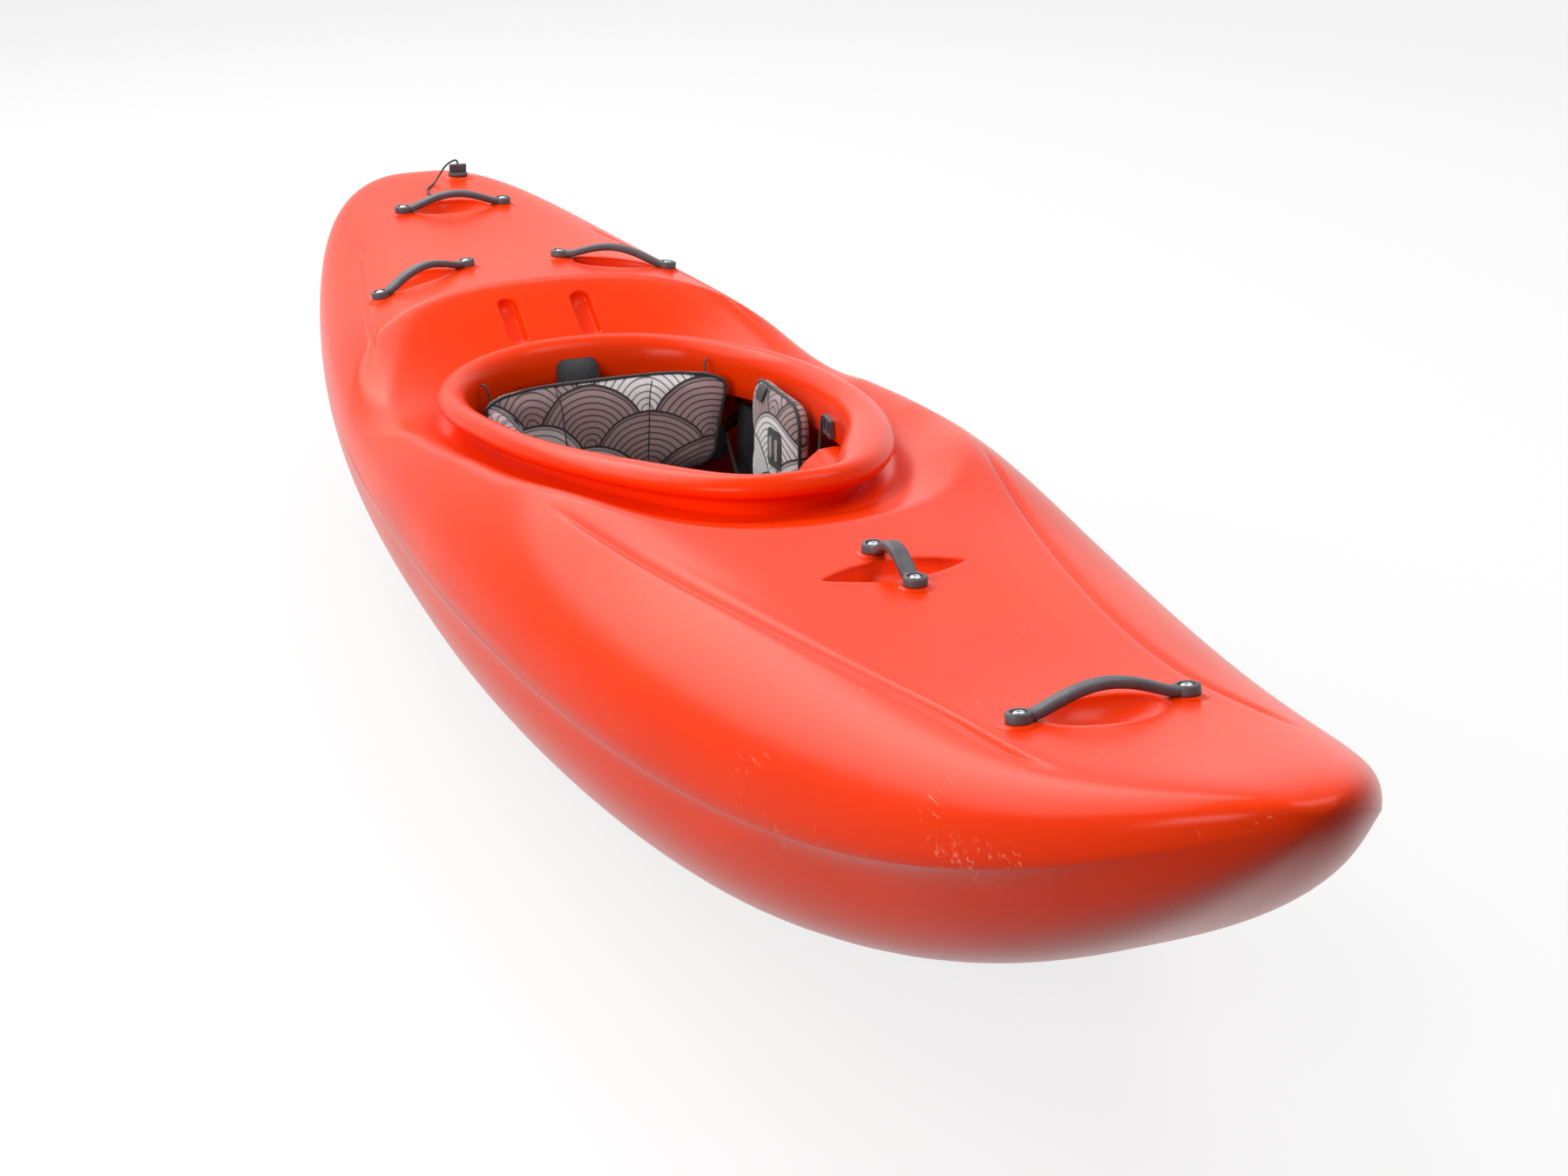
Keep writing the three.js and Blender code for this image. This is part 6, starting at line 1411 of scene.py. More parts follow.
def filled_nylon(name, code, worn):
    """Glass-filled nylon or ABS, moulded: dark, satin, with a fine pebble grain."""
    material, node = start_material(name, linear(code), 0.5)
    where = node("TexCoord", output="Object")
    grain, cloud = (
        node("TexNoise", {"Vector": where, "Scale": 1 / size, "Detail": 3, "Roughness": 0.55})
        for size in (PEBBLE_SIZE, NYLON_CLOUD_SIZE))
    shade = node("MapRange", (cloud, 0.3, 0.7), **SOFT)
    tone = node("Mix", {"Factor": shade, 6: linear(code), 7: linear(worn)}, 2, **COLOUR)
    dull = node("MapRange", (grain, 0.3, 0.7, 0.42, 0.6), **SOFT)
    bump = node("Bump", {"Strength": 0.25, "Distance": PEBBLE_HEIGHT, "Height": grain})
    return end_material(material, Base_Color=tone, Roughness=dull, Normal=bump)


def tumbled_steel(name):
    """Stainless steel, turned and tumbled: bright, with small pits."""
    material, node = start_material(name, linear("#C9CCD0"), 0.28, 1.0)
    where = node("TexCoord", output="Object")
    grain = node("TexNoise", {"Vector": where, "Scale": 1 / PIT_SIZE, "Detail": 3, "Roughness": 0.55})
    dull = node("MapRange", (grain, 0.3, 0.7, 0.2, 0.38), **SOFT)
    bump = node("Bump", {"Strength": 0.15, "Distance": METAL_DEPTH, "Height": grain})
    return end_material(material, Roughness=dull, Normal=bump)


def anodised_aluminium(name):
    """Aluminium, extruded and clear anodised: satin grey with fine lengthwise lines."""
    material, node = start_material(name, linear("#9A9DA2"), 0.42, 1.0)
    where = node("TexCoord", output="Object")
    drawn = node("Mapping", {"Vector": where, "Scale": DRAWN_SCALES})
    lines = node("TexNoise", {"Vector": drawn, "Scale": 1, "Detail": 2, "Roughness": 0.55})
    dull = node("MapRange", (lines, 0.3, 0.7, 0.34, 0.5), **SOFT)
    bump = node("Bump", {"Strength": 0.1, "Distance": METAL_DEPTH, "Height": lines})
    return end_material(material, Roughness=dull, Normal=bump)


def closed_cell_foam(name):
    """Closed-cell foam, cut: dull charcoal with a skin of small cells, drawn 2 mm wide so that they show."""
    material, node = start_material(name, linear("#2A2B2E"), 0.92)
    where = node("TexCoord", output="Object")
    cells = node("TexVoronoi", {"Vector": where, "Scale": 1 / FOAM_CELL_SIZE}, "Distance")
    shade = node("MapRange", (cells, 0.1, 0.7), **SOFT)
    tone = node("Mix", {"Factor": shade, 6: linear("#202124"), 7: linear("#35363A")}, 2, **COLOUR)
    bump = node("Bump", {"Strength": 0.35, "Distance": FOAM_CELL_DEPTH, "Height": cells})
    return end_material(material, Base_Color=tone, Normal=bump)


def scale_pattern(node, across, up, radius):
    """Overlapping fans of rings: distance from the middle of the lowest circle that covers a point, in radii,
    and a number for that circle. Circles stand in rows half a radius apart, each row moved by one radius."""
    row = node("Math", [node("Math", (up, radius / 2), operation="DIVIDE")], operation="FLOOR")
    rows = []
    for below in (0, 1):
        own = node("Math", (row, below), operation="SUBTRACT")
        foot = node("Math", (own, radius / 2), operation="MULTIPLY")
        rise = node("Math", (up, foot), operation="SUBTRACT")
        odd = node("Math", (node("Math", (own, 2), operation="FLOORED_MODULO"), 0.5), operation="MULTIPLY")
        turns = node("Math", (node("Math", (across, radius * 2), operation="DIVIDE"), odd), operation="ADD")
        column = node("Math", [turns], operation="FLOOR")
        part = node("Math", (node("Math", (turns, column), operation="SUBTRACT"), 0.5), operation="SUBTRACT")
        aside = node("Math", (part, radius * 2), operation="MULTIPLY")
        squares = [node("Math", (side, side), operation="MULTIPLY") for side in (rise, aside)]
        distance = node("Math", [node("Math", squares, operation="ADD")], operation="SQRT")
        by_column = node("Math", (column, 7.31), operation="MULTIPLY")
        by_row = node("Math", (own, 3.17), operation="MULTIPLY")
        number = node("Math", (by_column, by_row), operation="ADD")
        rows.append((node("Math", (distance, radius), operation="DIVIDE"), number))
    (upper, upper_number), (lower, lower_number) = rows
    covered = node("Math", (lower, 1), operation="LESS_THAN")
    return [node("Mix", {0: covered, 2: first, 3: second})
            for first, second in ((upper, lower), (upper_number, lower_number))]


def printed_fabric(name, across_axis):
    """Printed polyester on neoprene: a matt knit with overlapping fans of dark arcs, some of them pale."""
    ground = bpy.context.scene.kayak_colours.fabric
    sizes = bpy.context.scene.kayak_sizes
    material, node = start_material(name, ground, 0.85, Sheen_Weight=0.25, Sheen_Roughness=0.5)
    where = node("TexCoord", output="Object")
    up = node("SeparateXYZ", [where], "Z")
    across = node("Math", (node("SeparateXYZ", [where], across_axis), PRINT_SHIFT), operation="ADD")
    wave = node("TexNoise", {"Vector": where, "Scale": 1 / WOBBLE_SIZE, "Detail": 1, "Roughness": 0.55})
    wobble = node("Math", (wave, WOBBLE_REACH), operation="MULTIPLY")
    across = node("Math", (across, wobble), operation="ADD")
    ring, number = scale_pattern(node, across, up, sizes.fan_radius)
    spread = node("Math", (ring, sizes.fan_radius / sizes.ring_spacing), operation="MULTIPLY")
    turns = node("Math", [spread], operation="FRACT")
    off = node("Math", [node("Math", (turns, 0.5), operation="SUBTRACT")], operation="ABSOLUTE")
    line = node("MapRange", (off, 0.33, 0.4), **SOFT)
    chance = node("TexWhiteNoise", {"W": number}, "Value", noise_dimensions="1D")
    pale = node("Math", (chance, 0.8), operation="GREATER_THAN")
    dark = node("Mix", {"Factor": line, 6: tuple(ground), 7: linear("#5A484A")}, 2, **COLOUR)
    light = node("Mix", {"Factor": line, 6: linear("#F2F3F3"), 7: linear("#8E9194")}, 2, **COLOUR)
    ink = node("Mix", {"Factor": pale, 6: dark, 7: light}, 2, **COLOUR)
    edge = node("MapRange", (ring, 0.93, 0.98), **SOFT)
    ink = node("Mix", {"Factor": edge, 6: ink, 7: linear("#2C2326")}, 2, **COLOUR)
    knit = node("TexVoronoi", {"Vector": where, "Scale": 1 / KNIT_SIZE}, "Distance")
    shade = node("MapRange", (knit, 0.2, 0.9, 0, 0.22), **SOFT)
    ink = node("Mix", {"Factor": shade, 6: ink, 7: linear("#1E1A1C")}, 2, **COLOUR)
    bump = node("Bump", {"Strength": 0.4, "Distance": THREAD_DEPTH, "Height": knit})
    return end_material(material, Base_Color=ink, Normal=bump)


def woven(name, code, thread):
    """Woven polyester or nylon: satin threads crossing over and under, thread spacing in millimetres."""
    material, node = start_material(name, linear(code), 0.7, Sheen_Weight=0.2)
    where = node("TexCoord", output="Object")
    scale = 1 / (thread * MM)
    inputs = {"Vector": where, "Scale": scale}
    weave = node("TexWave", {**inputs, "Distortion": 0.3}, "Fac", bands_direction="DIAGONAL")
    cross = node("TexWave", inputs, "Fac", bands_direction="X")
    height = node("Math", (weave, cross), operation="MULTIPLY")
    shade = node("MapRange", (height, 0, 0.8), **SOFT)
    tone = node("Mix", {"Factor": shade, 6: linear(code), 7: linear("#3B3B3F")}, 2, **COLOUR)
    bump = node("Bump", {"Strength": 0.5, "Distance": THREAD_DEPTH, "Height": height})
    return end_material(material, Base_Color=tone, Normal=bump)


# Finishes by name: what makes each one, then its colours, axis or thread
FINISHES = {
    "moulded_polyethylene": (moulded_polyethylene,),
    "glass_filled_nylon": (filled_nylon, "#47444A", "#545056"),
    "moulded_abs": (filled_nylon, "#2B2B2E", "#313134"),
    "stainless_steel": (tumbled_steel,),
    "anodised_aluminium": (anodised_aluminium,),
    "closed_cell_foam": (closed_cell_foam,),
    "printed_fabric": (printed_fabric, "Y"),
    "printed_side_fabric": (printed_fabric, "X"),
    "nylon_webbing": (woven, "#1D1D20", 2.4),
    "grey_webbing": (woven, "#C2C1C4", 2.0),
    "bound_edge_tape": (woven, "#131315", 1.6),
    "braided_polyester": (woven, "#161618", 1.2),
}


def finish(name):
    """A finish by its name, made the first time that it is asked for."""
    maker, *details = FINISHES[name]
    return bpy.data.materials.get(name) or maker(name, *details)


def fit_frame(direction, roll):
    """Camera axes from the way it looks: right, up and back, rolled about the line of sight."""
    ahead = Vector(direction)
    side = ahead.cross(Vector((0, 0, 1))).normalized()
    over = side.cross(ahead)
    right = side * math.cos(roll) + over * math.sin(roll)
    up = over * math.cos(roll) - side * math.sin(roll)
    return Matrix((right, up, -ahead)).transposed()


class KAYAK_OT_camera(bpy.types.Operator):
    """Places the camera where the photograph was taken from"""
    bl_idname = "kayak.camera"
    bl_label = "Camera"

    def execute(self, context):
        look = context.scene.kayak_camera
        azimuth, elevation = look.azimuth, look.elevation
        level = math.cos(elevation)
        direction = (-math.cos(azimuth) * level, -math.sin(azimuth) * level, -math.sin(elevation))
        data = bpy.data.cameras.new("camera")
        data.sensor_width = SENSOR_WIDTH
        data.lens = look.focal_length
        data.clip_end = CAMERA_REACH
        camera = bpy.data.objects.new("camera", data)
        context.scene.collection.objects.link(camera)
        camera.matrix_world = Matrix.Translation(look.place) @ fit_frame(direction, look.roll).to_4x4()
        context.scene.camera = camera
        return {"FINISHED"}


def drain_cord_path():
    """Route of the drain plug's cord: up from the plug, down on the deck, and to the stern handle."""
    start = (PLUG_FRAME @ np.array([0, 0, PLUG_HEAD_HEIGHT + PLUG_GRIP_RISE, 1]))[:3]
    bar = (HANDLES["stern_handle"][0] @ np.array([0, BAR_HALF_WIDTH + 3, HANDLE_RISE, 1]))[:3]

    def low(x, y):
        return np.array([x, y, deck_height(np.array([x]), np.array([y]))[0] + 3])

    turn = [start + (0.5, -0.7, 3.3), start + (1.7, -2.7, 5.6), start + (3.5, -5.5, 6.5)]
    route = [start, *turn, start + (14, -22, 2), low(-1270, 6), low(-1236, -14), low(-1204, -16),
             low(-1180, -8), bar - (14, 0, 3), bar]
    return smooth_path(route, 60)


class KAYAK_OT_drain_cord(bpy.types.Operator):
    """Adds the thin cord that ties the drain plug to the stern handle"""
    bl_idname = "kayak.drain_cord"
    bl_label = "Drain plug cord"

    def execute(self, context):
        path = drain_cord_path()
        surface = outwards(tube(path, DRAIN_CORD_DIAMETER / 2, 12))
        piece = add_piece("plug_tether", [surface], "braided_polyester", "hull", ["drain_plug_cord"])
        return {"FINISHED"}


def add_lamp(name, place, aim, size, watts):
    """A large soft lamp aimed at a point."""
    data = bpy.data.lights.new(name, "AREA")
    data.shape = "RECTANGLE"
    data.size, data.size_y = size
    data.energy = watts
    lamp = bpy.data.objects.new(name, data)
    bpy.context.scene.collection.objects.link(lamp)
    turn = (Vector(aim) - Vector(place)).to_track_quat("-Z", "Y")
    lamp.matrix_world = Matrix.Translation(place) @ turn.to_matrix().to_4x4()


def seen_share(node):
    """One for the rays that show the background: from the camera, mirrored, or through something clear."""
    names = ("Is Camera Ray", "Is Glossy Ray", "Is Transmission Ray")
    rays = [node("LightPath", output=name) for name in names]
    mirrored = node("Math", rays[1:], operation="MAXIMUM")
    return node("Math", (rays[0], mirrored), operation="MAXIMUM")


def studio_floor():
    """Matt white floor: the camera and mirrored rays see it white, and it keeps the object's shadow."""
    material, node = start_material("white_studio_floor", linear("#F4F4F4"), 0.9)
    seen = seen_share(node)
    tone = node("Mix", {"Factor": seen, 6: linear("#6E6E6E"), 7: linear("#F4F4F4")}, 2, **COLOUR)
    end_material(material, Base_Color=tone)
    tree = material.node_tree
    glow = node("Emission", {"Color": linear("#FFFFFF"), "Strength": 1})
    share = node("Math", (seen, FLOOR_GLOW_SHARE), operation="MULTIPLY")
    both = node("MixShader", (share, tree.nodes["Principled BSDF"].outputs[0], glow))
    tree.links.new(both, tree.nodes["Material Output"].inputs["Surface"])
    return material


class KAYAK_OT_stage(bpy.types.Operator):
    """Adds the pale floor, the soft lamps and the light of the room"""
    bl_idname = "kayak.stage"
    bl_label = "Stage"

    def execute(self, context):
        half = FLOOR_SIZE / 2
        signs = ((-1, -1), (1, -1), (1, 1), (-1, 1))
        corners = np.array([(x * half, y * half, -FLOOR_DROP) for x, y in signs])
        mesh = make_mesh("floor", corners, [np.array([[0, 1, 2, 3]])])
        floor = bpy.data.objects.new("floor", mesh)
        context.scene.collection.objects.link(floor)
        mesh.materials.append(studio_floor())
        for name, place, size, watts in LAMPS:
            add_lamp(name, place, LAMP_AIM, size, watts)
        world = bpy.data.worlds.new("room")
        world.use_nodes = True
        tree = world.node_tree
        node = partial(add_node, tree)
        light = tree.nodes["Background"]
        light.inputs["Color"].default_value = linear("#FFFFFF")
        height = node("SeparateXYZ", [node("TexCoord", output="Generated")], "Z")
        sky = node("MapRange", (height, *SKY_SPAN_SHARES, ROOM_LIGHT, SKY_LIGHT), **SOFT)
        tree.links.new(sky, light.inputs["Strength"])
        white = node("Background", {"Color": linear("#FFFFFF"), "Strength": 1})
        both = node("MixShader", (seen_share(node), light.outputs[0], white))
        tree.links.new(both, tree.nodes["World Output"].inputs["Surface"])
        context.scene.world = world
        context.scene.view_settings.view_transform = "Standard"
        return {"FINISHED"}


class KAYAK_OT_hull(bpy.types.Operator):
    """Adds the moulded hull with its scoops, slots and bosses, its lining and the rolled cockpit rim"""
    bl_idname = "kayak.hull"
    bl_label = "Hull and rim"

    def execute(self, context):
        shell = "moulded_polyethylene"
        slot = stadium_outline(SLOT_LENGTH, SLOT_WIDTH)
        outlines = scoop_outlines()
        sizes = context.scene.kayak_sizes
        scoop_depth, slot_depth = sizes.scoop_depth / MM, sizes.slot_depth / MM
        recesses = [recess(HANDLES[n][0], outlines[n], scoop_depth, *SCOOP_POWERS) for n in outlines]
        recesses += [recess(slot_frame(side), slot, slot_depth, *SLOT_POWERS, SLOT_ROUND) for side in (1, -1)]
        bosses = [mound(matrix, end * span / 2, BOSS_RADIUS)
                  for matrix, span in HANDLES.values() for end in (1, -1)]
        bosses.append(mound(PLUG_FRAME, 0, PLUG_COLLAR_RADIUS))
        body = add_piece("hull_body", [hull_surface()], shell, "hull", ["hull_shell"],
                         sharp=85)
        points, _ = cover_points(body)
        _, sheer, *_ = section(points[:, 0])
        wear = bell(points[:, 2] - sheer - WEAR_ABOVE_EDGE, WEAR_WIDTH) * smooth(*WEAR_SPAN, points[:, 0])
        body.data.attributes.new("wear", "FLOAT", "POINT").data.foreach_set("value", wear.astype(np.float32))
        add_piece("deck_recesses", recesses, shell, "hull", sharp=60)
        add_piece("deck_bosses", bosses, shell, "hull")
        add_piece("hull_lining", [hull_lining()], shell, "hull", sharp=50)
        add_piece("cockpit_rim", [rim_surface()], shell, "hull", sharp=50)
        return {"FINISHED"}


class KAYAK_OT_handles(bpy.types.Operator):
    """Adds the five carry handles and their bolts"""
    bl_idname = "kayak.handles"
    bl_label = "Carry handles"

    def execute(self, context):
        for name, (matrix, span) in HANDLES.items():
            surfaces = [placed(s, matrix) for s in handle_surfaces(span)]
            add_piece(f"{name}_bar", surfaces, "glass_filled_nylon", "hull", [name])
            bolts = []
            for end in (1, -1):
                seat = np.eye(4)
                seat[:3, 3] = (end * span / 2, 0, GAP + PAD_HEIGHT - RECESS_DEPTH + GAP / 3)
                bolts.append(placed(bolt_surface(), matrix @ seat))
            nodes = [f"{name}_bolt_{end}" for end in HANDLE_ENDS[name]]
            add_piece(f"{name}_bolts", bolts, "stainless_steel", "hull", nodes)
        return {"FINISHED"}


def merged_copy(node, name, material, body, edge, count=2):
    """A CAD node's shape with its points merged, its flat faces joined and its edges rounded."""
    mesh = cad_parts[node].data.copy()
    mesh.name = name
    work = bmesh.new()
    work.from_mesh(mesh)
    bmesh.ops.remove_doubles(work, verts=work.verts, dist=MERGE_DISTANCE * MM)
    bmesh.ops.dissolve_limit(work, angle_limit=FLAT_ANGLE, verts=work.verts, edges=work.edges)
    work.to_mesh(mesh)
    work.free()
    mesh.polygons.foreach_set("use_smooth", np.ones(len(mesh.polygons), bool))
    mesh.set_sharp_from_angle(angle=SHARP_ANGLE)
    mesh.materials.clear()
    mesh.materials.append(finish(material))
    piece = bpy.data.objects.new(name, mesh)
    bpy.context.scene.collection.objects.link(piece)
    bevel = piece.modifiers.new("edges", "BEVEL")
    bevel.width, bevel.segments, bevel.limit_method = edge * MM, count, "ANGLE"
    bevel.angle_limit = ROUNDED_ANGLE
    bevel.harden_normals = True
    if body:
        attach(piece, body)
    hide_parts(node)
    return piece


def crown_nose(piece):
    """Rounds the stern wall's nose: cut in strips, its top sinks by a power of its share of the width."""
    work = bmesh.new()
    work.from_mesh(piece.data)
    for share in NOSE_CUT_SHARES:
        cells = work.verts[:] + work.edges[:] + work.faces[:]
        cut = (0, share * PILLAR_HALF_WIDTH * MM, 0)
        bmesh.ops.bisect_plane(work, geom=cells, plane_co=cut, plane_no=(0, 1, 0))
    work.to_mesh(piece.data)
    work.free()
    points, _ = cover_points(piece)
    front = points[:, 0].max()
    low = points[:, 2].max() - NOSE_DEPTH
    side = np.abs(points[:, 1] / PILLAR_HALF_WIDTH) ** NOSE_POWER
    near = smooth(front - NOSE_LENGTH - NOSE_FADE, front - NOSE_LENGTH, points[:, 0])
    points[:, 2] -= NOSE_DROP * side * near * smooth(low, low + NOSE_DEPTH, points[:, 2])
    points[:, 0] -= NOSE_DROP * side * near
    piece.data.vertices.foreach_set("co", (points * MM).ravel())
    piece.data.update()


def cover_points(piece):
    """Points of a piece's finished mesh in millimetres, with their normals."""
    mesh = piece.data
    points = np.zeros(len(mesh.vertices) * 3)
    normals = np.zeros(len(mesh.vertices) * 3)
    mesh.vertices.foreach_get("co", points)
    mesh.vertices.foreach_get("normal", normals)
    return points.reshape(-1, 3) / MM, normals.reshape(-1, 3)


def sew_seam(piece, seam):
    """Presses a sewn channel into the backband: a point sinks by a bell curve of its way from the seam."""
    points, normals = cover_points(piece)
    distance = points[:, 1] - seam * backband_edge(points[:, 2])
    points = points - normals * (SEAM_DEPTH * bell(distance, SEAM_WIDTH))[:, None]
    piece.data.vertices.foreach_set("co", (points * MM).ravel())
    piece.data.update()


def hug(piece, points, lift):
    """Moves points onto the nearest skin of a piece, and off it by a lift in millimetres."""
    cover = BVHTree.FromObject(piece, bpy.context.evaluated_depsgraph_get())
    moved = []
    for point in points:
        place, normal, *_ = cover.find_nearest(Vector(point * MM))
        moved.append(np.array(place) / MM + np.array(normal) * lift)
    return np.array(moved)


def add_piping(name, piece, size, corner, place, body):
    """The bound edge of a pad: a tube that hugs its cover along the edge."""
    radius = bpy.context.scene.kayak_sizes.piping_radius / MM
    line = hug(piece, edge_line(size, corner, place), radius * PIPING_LIFT_SHARE)
    line = (np.roll(line, 1, 0) + line * 2 + np.roll(line, -1, 0)) / 4
    return add_piece(name, [outwards(tube(line, radius, 10, closed=True))], "bound_edge_tape", body)


def patch(piece, place, centre, size, corner, lift, thickness):
    """A thin rounded patch on a pad's cover: rings over a squarish disc, carried to the nearest skin."""
    a, b = superellipse(40, corner)
    reach = np.linspace(MIDDLE_SHARE, 1, 9)[:, None]
    pa, pb = centre[0] + a * reach * size[0] / 2, centre[1] + b * reach * size[1] / 2
    flat = place(pa, pb, np.full(pa.shape, PATCH_START_DEPTH)).reshape(-1, 3)
    return disc_slab(*(hug(piece, flat, lift + more).reshape(*pa.shape, 3) for more in (thickness, 0)))


class KAYAK_OT_seat(bpy.types.Operator):
    """Adds the seat pan with its feet and cushion, and the hip pads with their bound edges and patches"""
    bl_idname = "kayak.seat"
    bl_label = "Seat and hip pads"

    def execute(self, context):
        feet = []
        for side in (1, -1):
            points, faces = rounded_block(SEAT_FOOT_SIZE, SEAT_FOOT_CORNER, SEAT_FOOT_EDGE)
            feet.append((points + (SEAT_FOOT_X, side * SEAT_FOOT_Y, SEAT_FOOT_BOTTOM), faces))
        add_piece("seat_shell", [seat_surface(), *feet], "moulded_abs", "seat",
                  ["seat_pan"])
        add_cushion("seat_cushion", SEAT_PAD_SIZE, SEAT_PAD_CORNER_POWER, seat_pad_place, "closed_cell_foam",
                    "seat", ["seat_pad"], SEAT_PAD_SWELL)
        for name, side in SIDES:
            place = hip_pad_place(side)
            pad = add_cushion(f"hip_cushion_{name}", HIP_PAD_SIZE, CUSHION_CORNER_POWER, place,
                              "printed_side_fabric", "seat", [f"hip_pad_{name}"], COVER_SWELL)
            add_piping(f"hip_piping_{name}", pad, HIP_PAD_SIZE, CUSHION_CORNER_POWER, place, "seat")
            for kind, (material, centres, *shape) in HIP_PATCHES.items():
                patches = [patch(pad, place, centre, *shape) for centre in centres]
                add_piece(f"{kind}_{name}", patches, material, "seat", sharp=60)
        return {"FINISHED"}


class KAYAK_OT_backband(bpy.types.Operator):
    """Adds the padded backband with its bound edge and seams, its stiff plate, straps and hangers"""
    bl_idname = "kayak.backband"
    bl_label = "Backband"

    def execute(self, context):
        size = (BACKBAND_WIDTH, BACKBAND_HEIGHT, BACKBAND_THICKNESS)
        band = add_cushion("backband_cushion", size, BACKBAND_CORNER_POWER, backband_place, "printed_fabric",
                           "backband_frame", ["backband"], COVER_SWELL)
        threads = []
        for seam in BACKBAND_SEAM_SHARES:
            sew_seam(band, seam)
            rise = np.linspace(-SEAM_REACH_SHARE, SEAM_REACH_SHARE, SEAM_STEPS) * BACKBAND_HEIGHT
            across = np.full(SEAM_STEPS, seam * BACKBAND_WIDTH / 2)
            line = hug(band, backband_place(across, rise, np.full(SEAM_STEPS, BACKBAND_THICKNESS)), 0)
            for _ in range(SEAM_SMOOTHINGS):
                line[1:-1] = (line[:-2] + 2 * line[1:-1] + line[2:]) / 4
            threads.append(outwards(tube(line, SEAM_THREAD_RADIUS, 8)))
        add_piece("backband_seams", threads, "bound_edge_tape", "backband_frame")
        add_piping("backband_piping", band, size, BACKBAND_CORNER_POWER, backband_place, "backband_frame")
        add_piece("backband_plate", plate_surfaces(), "moulded_abs", "backband_frame",
                  ["backband_shell"])
        for name, side in SIDES:
            strap = merged_copy(f"backband_strap_{name}", f"back_strap_{name}", "nylon_webbing", None,
                                STRAP_EDGE)
            apply_modifiers(strap)
            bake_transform(strap)
            path = hanger_path(side)
            hanger = add_piece(f"back_hanger_{name}", [outwards(tube(path, HANGER_RADIUS, 10))],
                               "braided_polyester", None, [f"backband_hanger_{name}"])
            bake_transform(hanger)
            path = adjuster_path(side)
            line = add_piece(f"adjuster_line_{name}", [outwards(tube(path, ADJUSTER_RADIUS, 10))],
                             "braided_polyester", None, [f"adjuster_cord_{name}"])
            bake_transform(line)
        return {"FINISHED"}


class KAYAK_OT_outfitting(bpy.types.Operator):
    """Adds the thigh braces, foam pads and pillars, cord locks and foot plates, and the metal's finishes"""
    bl_idname = "kayak.outfitting"
    bl_label = "Outfitting"

    def execute(self, context):
        for name, _ in SIDES:
            for node, (kind, material, body, slot, edge, count, pad_share) in KEPT_SHAPES.items():
                piece = merged_copy(f"{node}_{name}", f"{kind}_{name}", material, body.format(name),
                                    edge, count)
        for end in ("bow", "stern"):
            pillar = merged_copy(f"{end}_pillar", f"{end}_foam_wall", "closed_cell_foam", "hull",
                                 PILLAR_EDGE, 4)
            if end == "stern":
                crown_nose(pillar)
        for node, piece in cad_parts.items():
            kind = node.replace("_port", "").replace("_starboard", "")
            name = "anodised_aluminium" if kind in RAILS else "stainless_steel" if "_bolt" in node else None
            if name:
                for slot in piece.material_slots:
                    slot.material = finish(name)
        return {"FINISHED"}


class KAYAK_OT_drain_plug(bpy.types.Operator):
    """Adds the drain plug: a ribbed round head with a grip across it, on a stem"""
    bl_idname = "kayak.drain_plug"
    bl_label = "Drain plug"

    def execute(self, context):
        surfaces = [placed(s, PLUG_FRAME) for s in plug_surfaces()]
        add_piece("plug_body", surfaces, "glass_filled_nylon", "drain_plug_turn",
                  ["drain_plug"])
        return {"FINISHED"}


def angle_setting(name, description, default):
    """A setting in the panel that is an angle."""
    return FloatProperty(name=name, description=description, default=default, subtype="ANGLE")


def length_setting(name, description, default):
    """A setting in the panel that is a length, given here in millimetres."""
    return FloatProperty(name=name, description=description, default=default * MM, min=0, unit="LENGTH",
                         subtype="DISTANCE")


def colour_setting(name, description, default):
    """A setting in the panel that is a colour."""
    return FloatVectorProperty(name=name, description=description, default=linear(default), size=4,
                               min=0, max=1, subtype="COLOR")


class KayakCamera(bpy.types.PropertyGroup):
    azimuth: angle_setting("Azimuth", "Turn of the camera about the boat, from the bow", CAMERA_AZIMUTH)
    elevation: angle_setting("Elevation", "Height of the camera as an angle", CAMERA_ELEVATION)
    roll: angle_setting("Roll", "Roll of the camera about its line of sight", CAMERA_ROLL)
    focal_length: FloatProperty(
        name="Focal length", description="Focal length on a sensor 36 mm wide", default=CAMERA_FOCAL_LENGTH)
    place: FloatVectorProperty(
        name="Place", description="Place of the camera", default=CAMERA_PLACE, subtype="TRANSLATION")


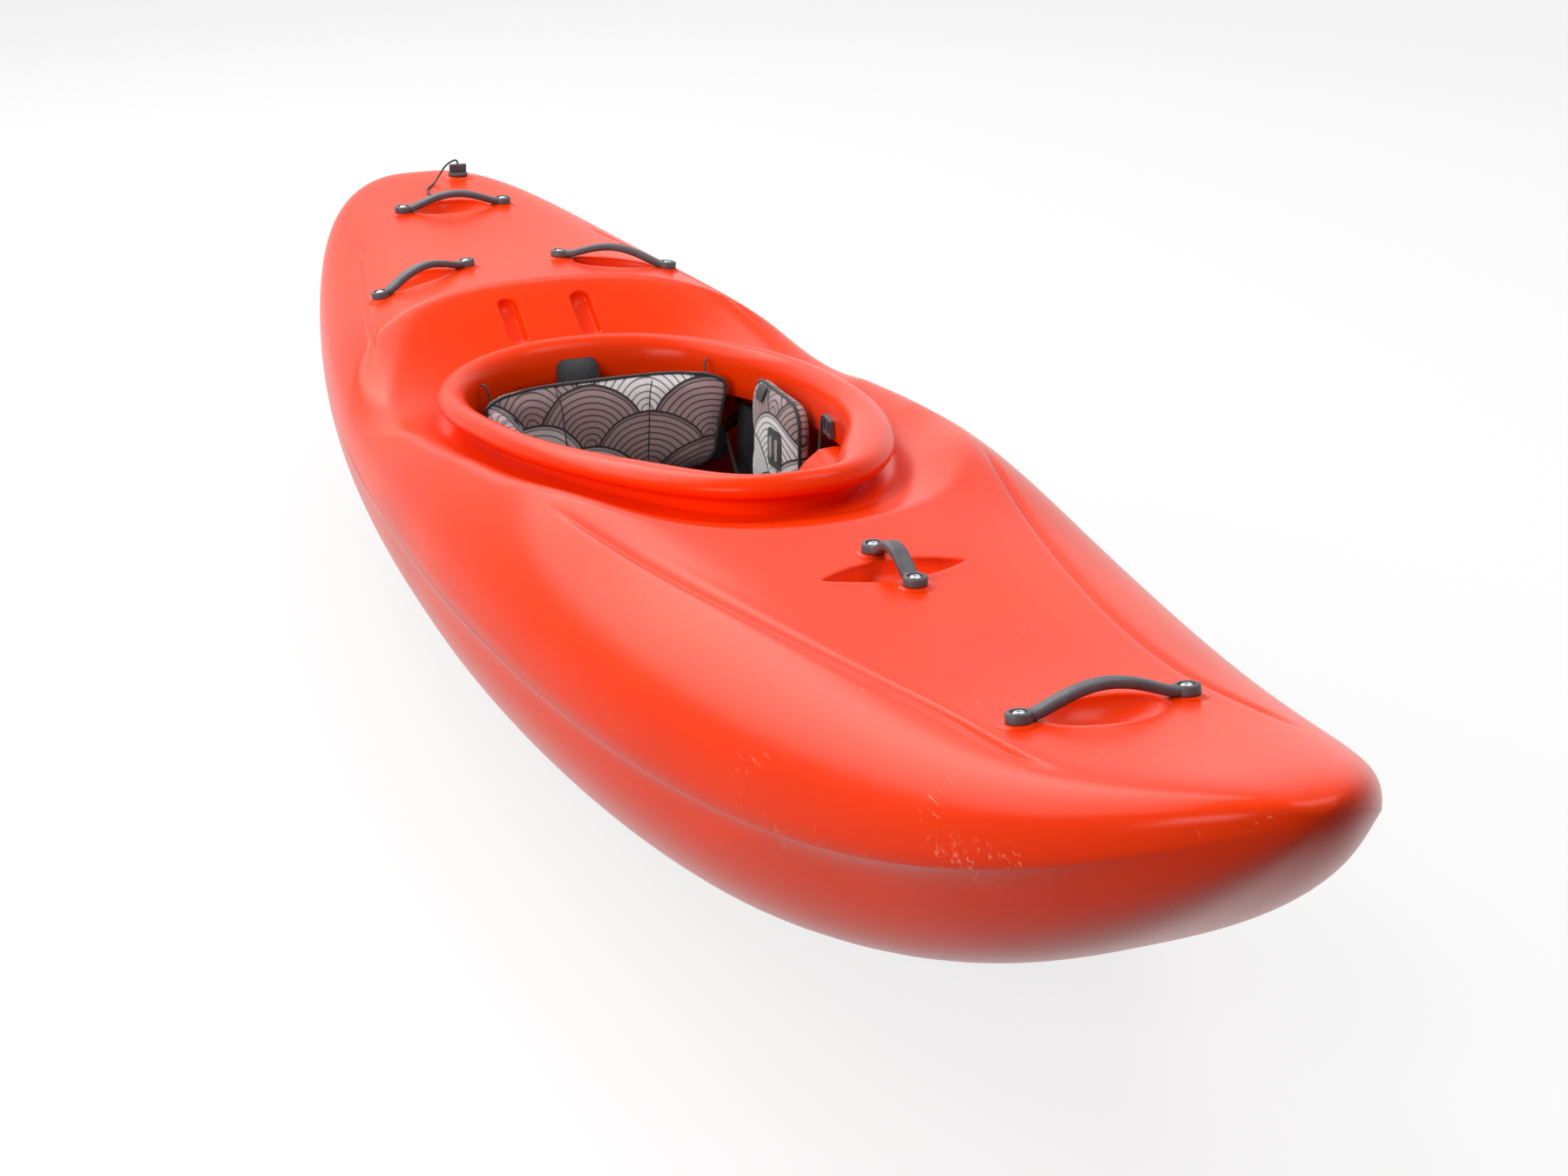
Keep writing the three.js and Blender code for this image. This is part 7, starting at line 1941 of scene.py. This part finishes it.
class KayakSizes(bpy.types.PropertyGroup):
    scoop_depth: length_setting("Scoop depth", "Depth of the hand scoops under the handles", SCOOP_DEPTH)
    slot_depth: length_setting("Slot depth", "Depth of the two slots behind the cockpit", SLOT_DEPTH)
    piping_radius: length_setting("Piping radius", "Radius of the bound edge of the pads", PIPING_RADIUS)
    fan_radius: length_setting("Fan radius", "Radius of the fans printed on the fabric", FAN_RADIUS)
    ring_spacing: length_setting("Ring spacing", "Distance between the rings of a fan", RING_SPACING)


class KayakColours(bpy.types.PropertyGroup):
    shell: colour_setting("Shell", "Colour of the moulded shell", "#FF3D00")
    fabric: colour_setting("Fabric", "Ground colour of the printed fabric", "#AE9899")


class KAYAK_PT_pieces(bpy.types.Panel):
    """Lists the pieces of the kayak"""
    bl_label = "Kayak"
    bl_idname = "KAYAK_PT_pieces"
    bl_space_type = "VIEW_3D"
    bl_region_type = "UI"
    bl_category = "Kayak"

    def draw(self, context):
        for operator in OPERATORS:
            self.layout.operator(operator.bl_idname)
        for name in GROUPS:
            group = getattr(context.scene, name)
            for key in GROUPS[name].__annotations__:
                self.layout.prop(group, key)


OPERATORS = (
    KAYAK_OT_camera, KAYAK_OT_drain_cord, KAYAK_OT_stage, KAYAK_OT_hull, KAYAK_OT_handles,
    KAYAK_OT_drain_plug, KAYAK_OT_seat, KAYAK_OT_backband, KAYAK_OT_outfitting,
)
GROUPS = {"kayak_camera": KayakCamera, "kayak_sizes": KayakSizes, "kayak_colours": KayakColours}


def register():
    for group in GROUPS.values():
        bpy.utils.register_class(group)
    for name, group in GROUPS.items():
        setattr(bpy.types.Scene, name, PointerProperty(type=group))
    for operator in OPERATORS:
        bpy.utils.register_class(operator)
    bpy.utils.register_class(KAYAK_PT_pieces)


def unregister():
    bpy.utils.unregister_class(KAYAK_PT_pieces)
    for operator in reversed(OPERATORS):
        bpy.utils.unregister_class(operator)
    for name in GROUPS:
        delattr(bpy.types.Scene, name)
    for group in GROUPS.values():
        bpy.utils.unregister_class(group)


def main():
    register()
    for operator in OPERATORS:
        group, name = operator.bl_idname.split(".")
        getattr(getattr(bpy.ops, group), name)()


if __name__ == "__main__":
    main()
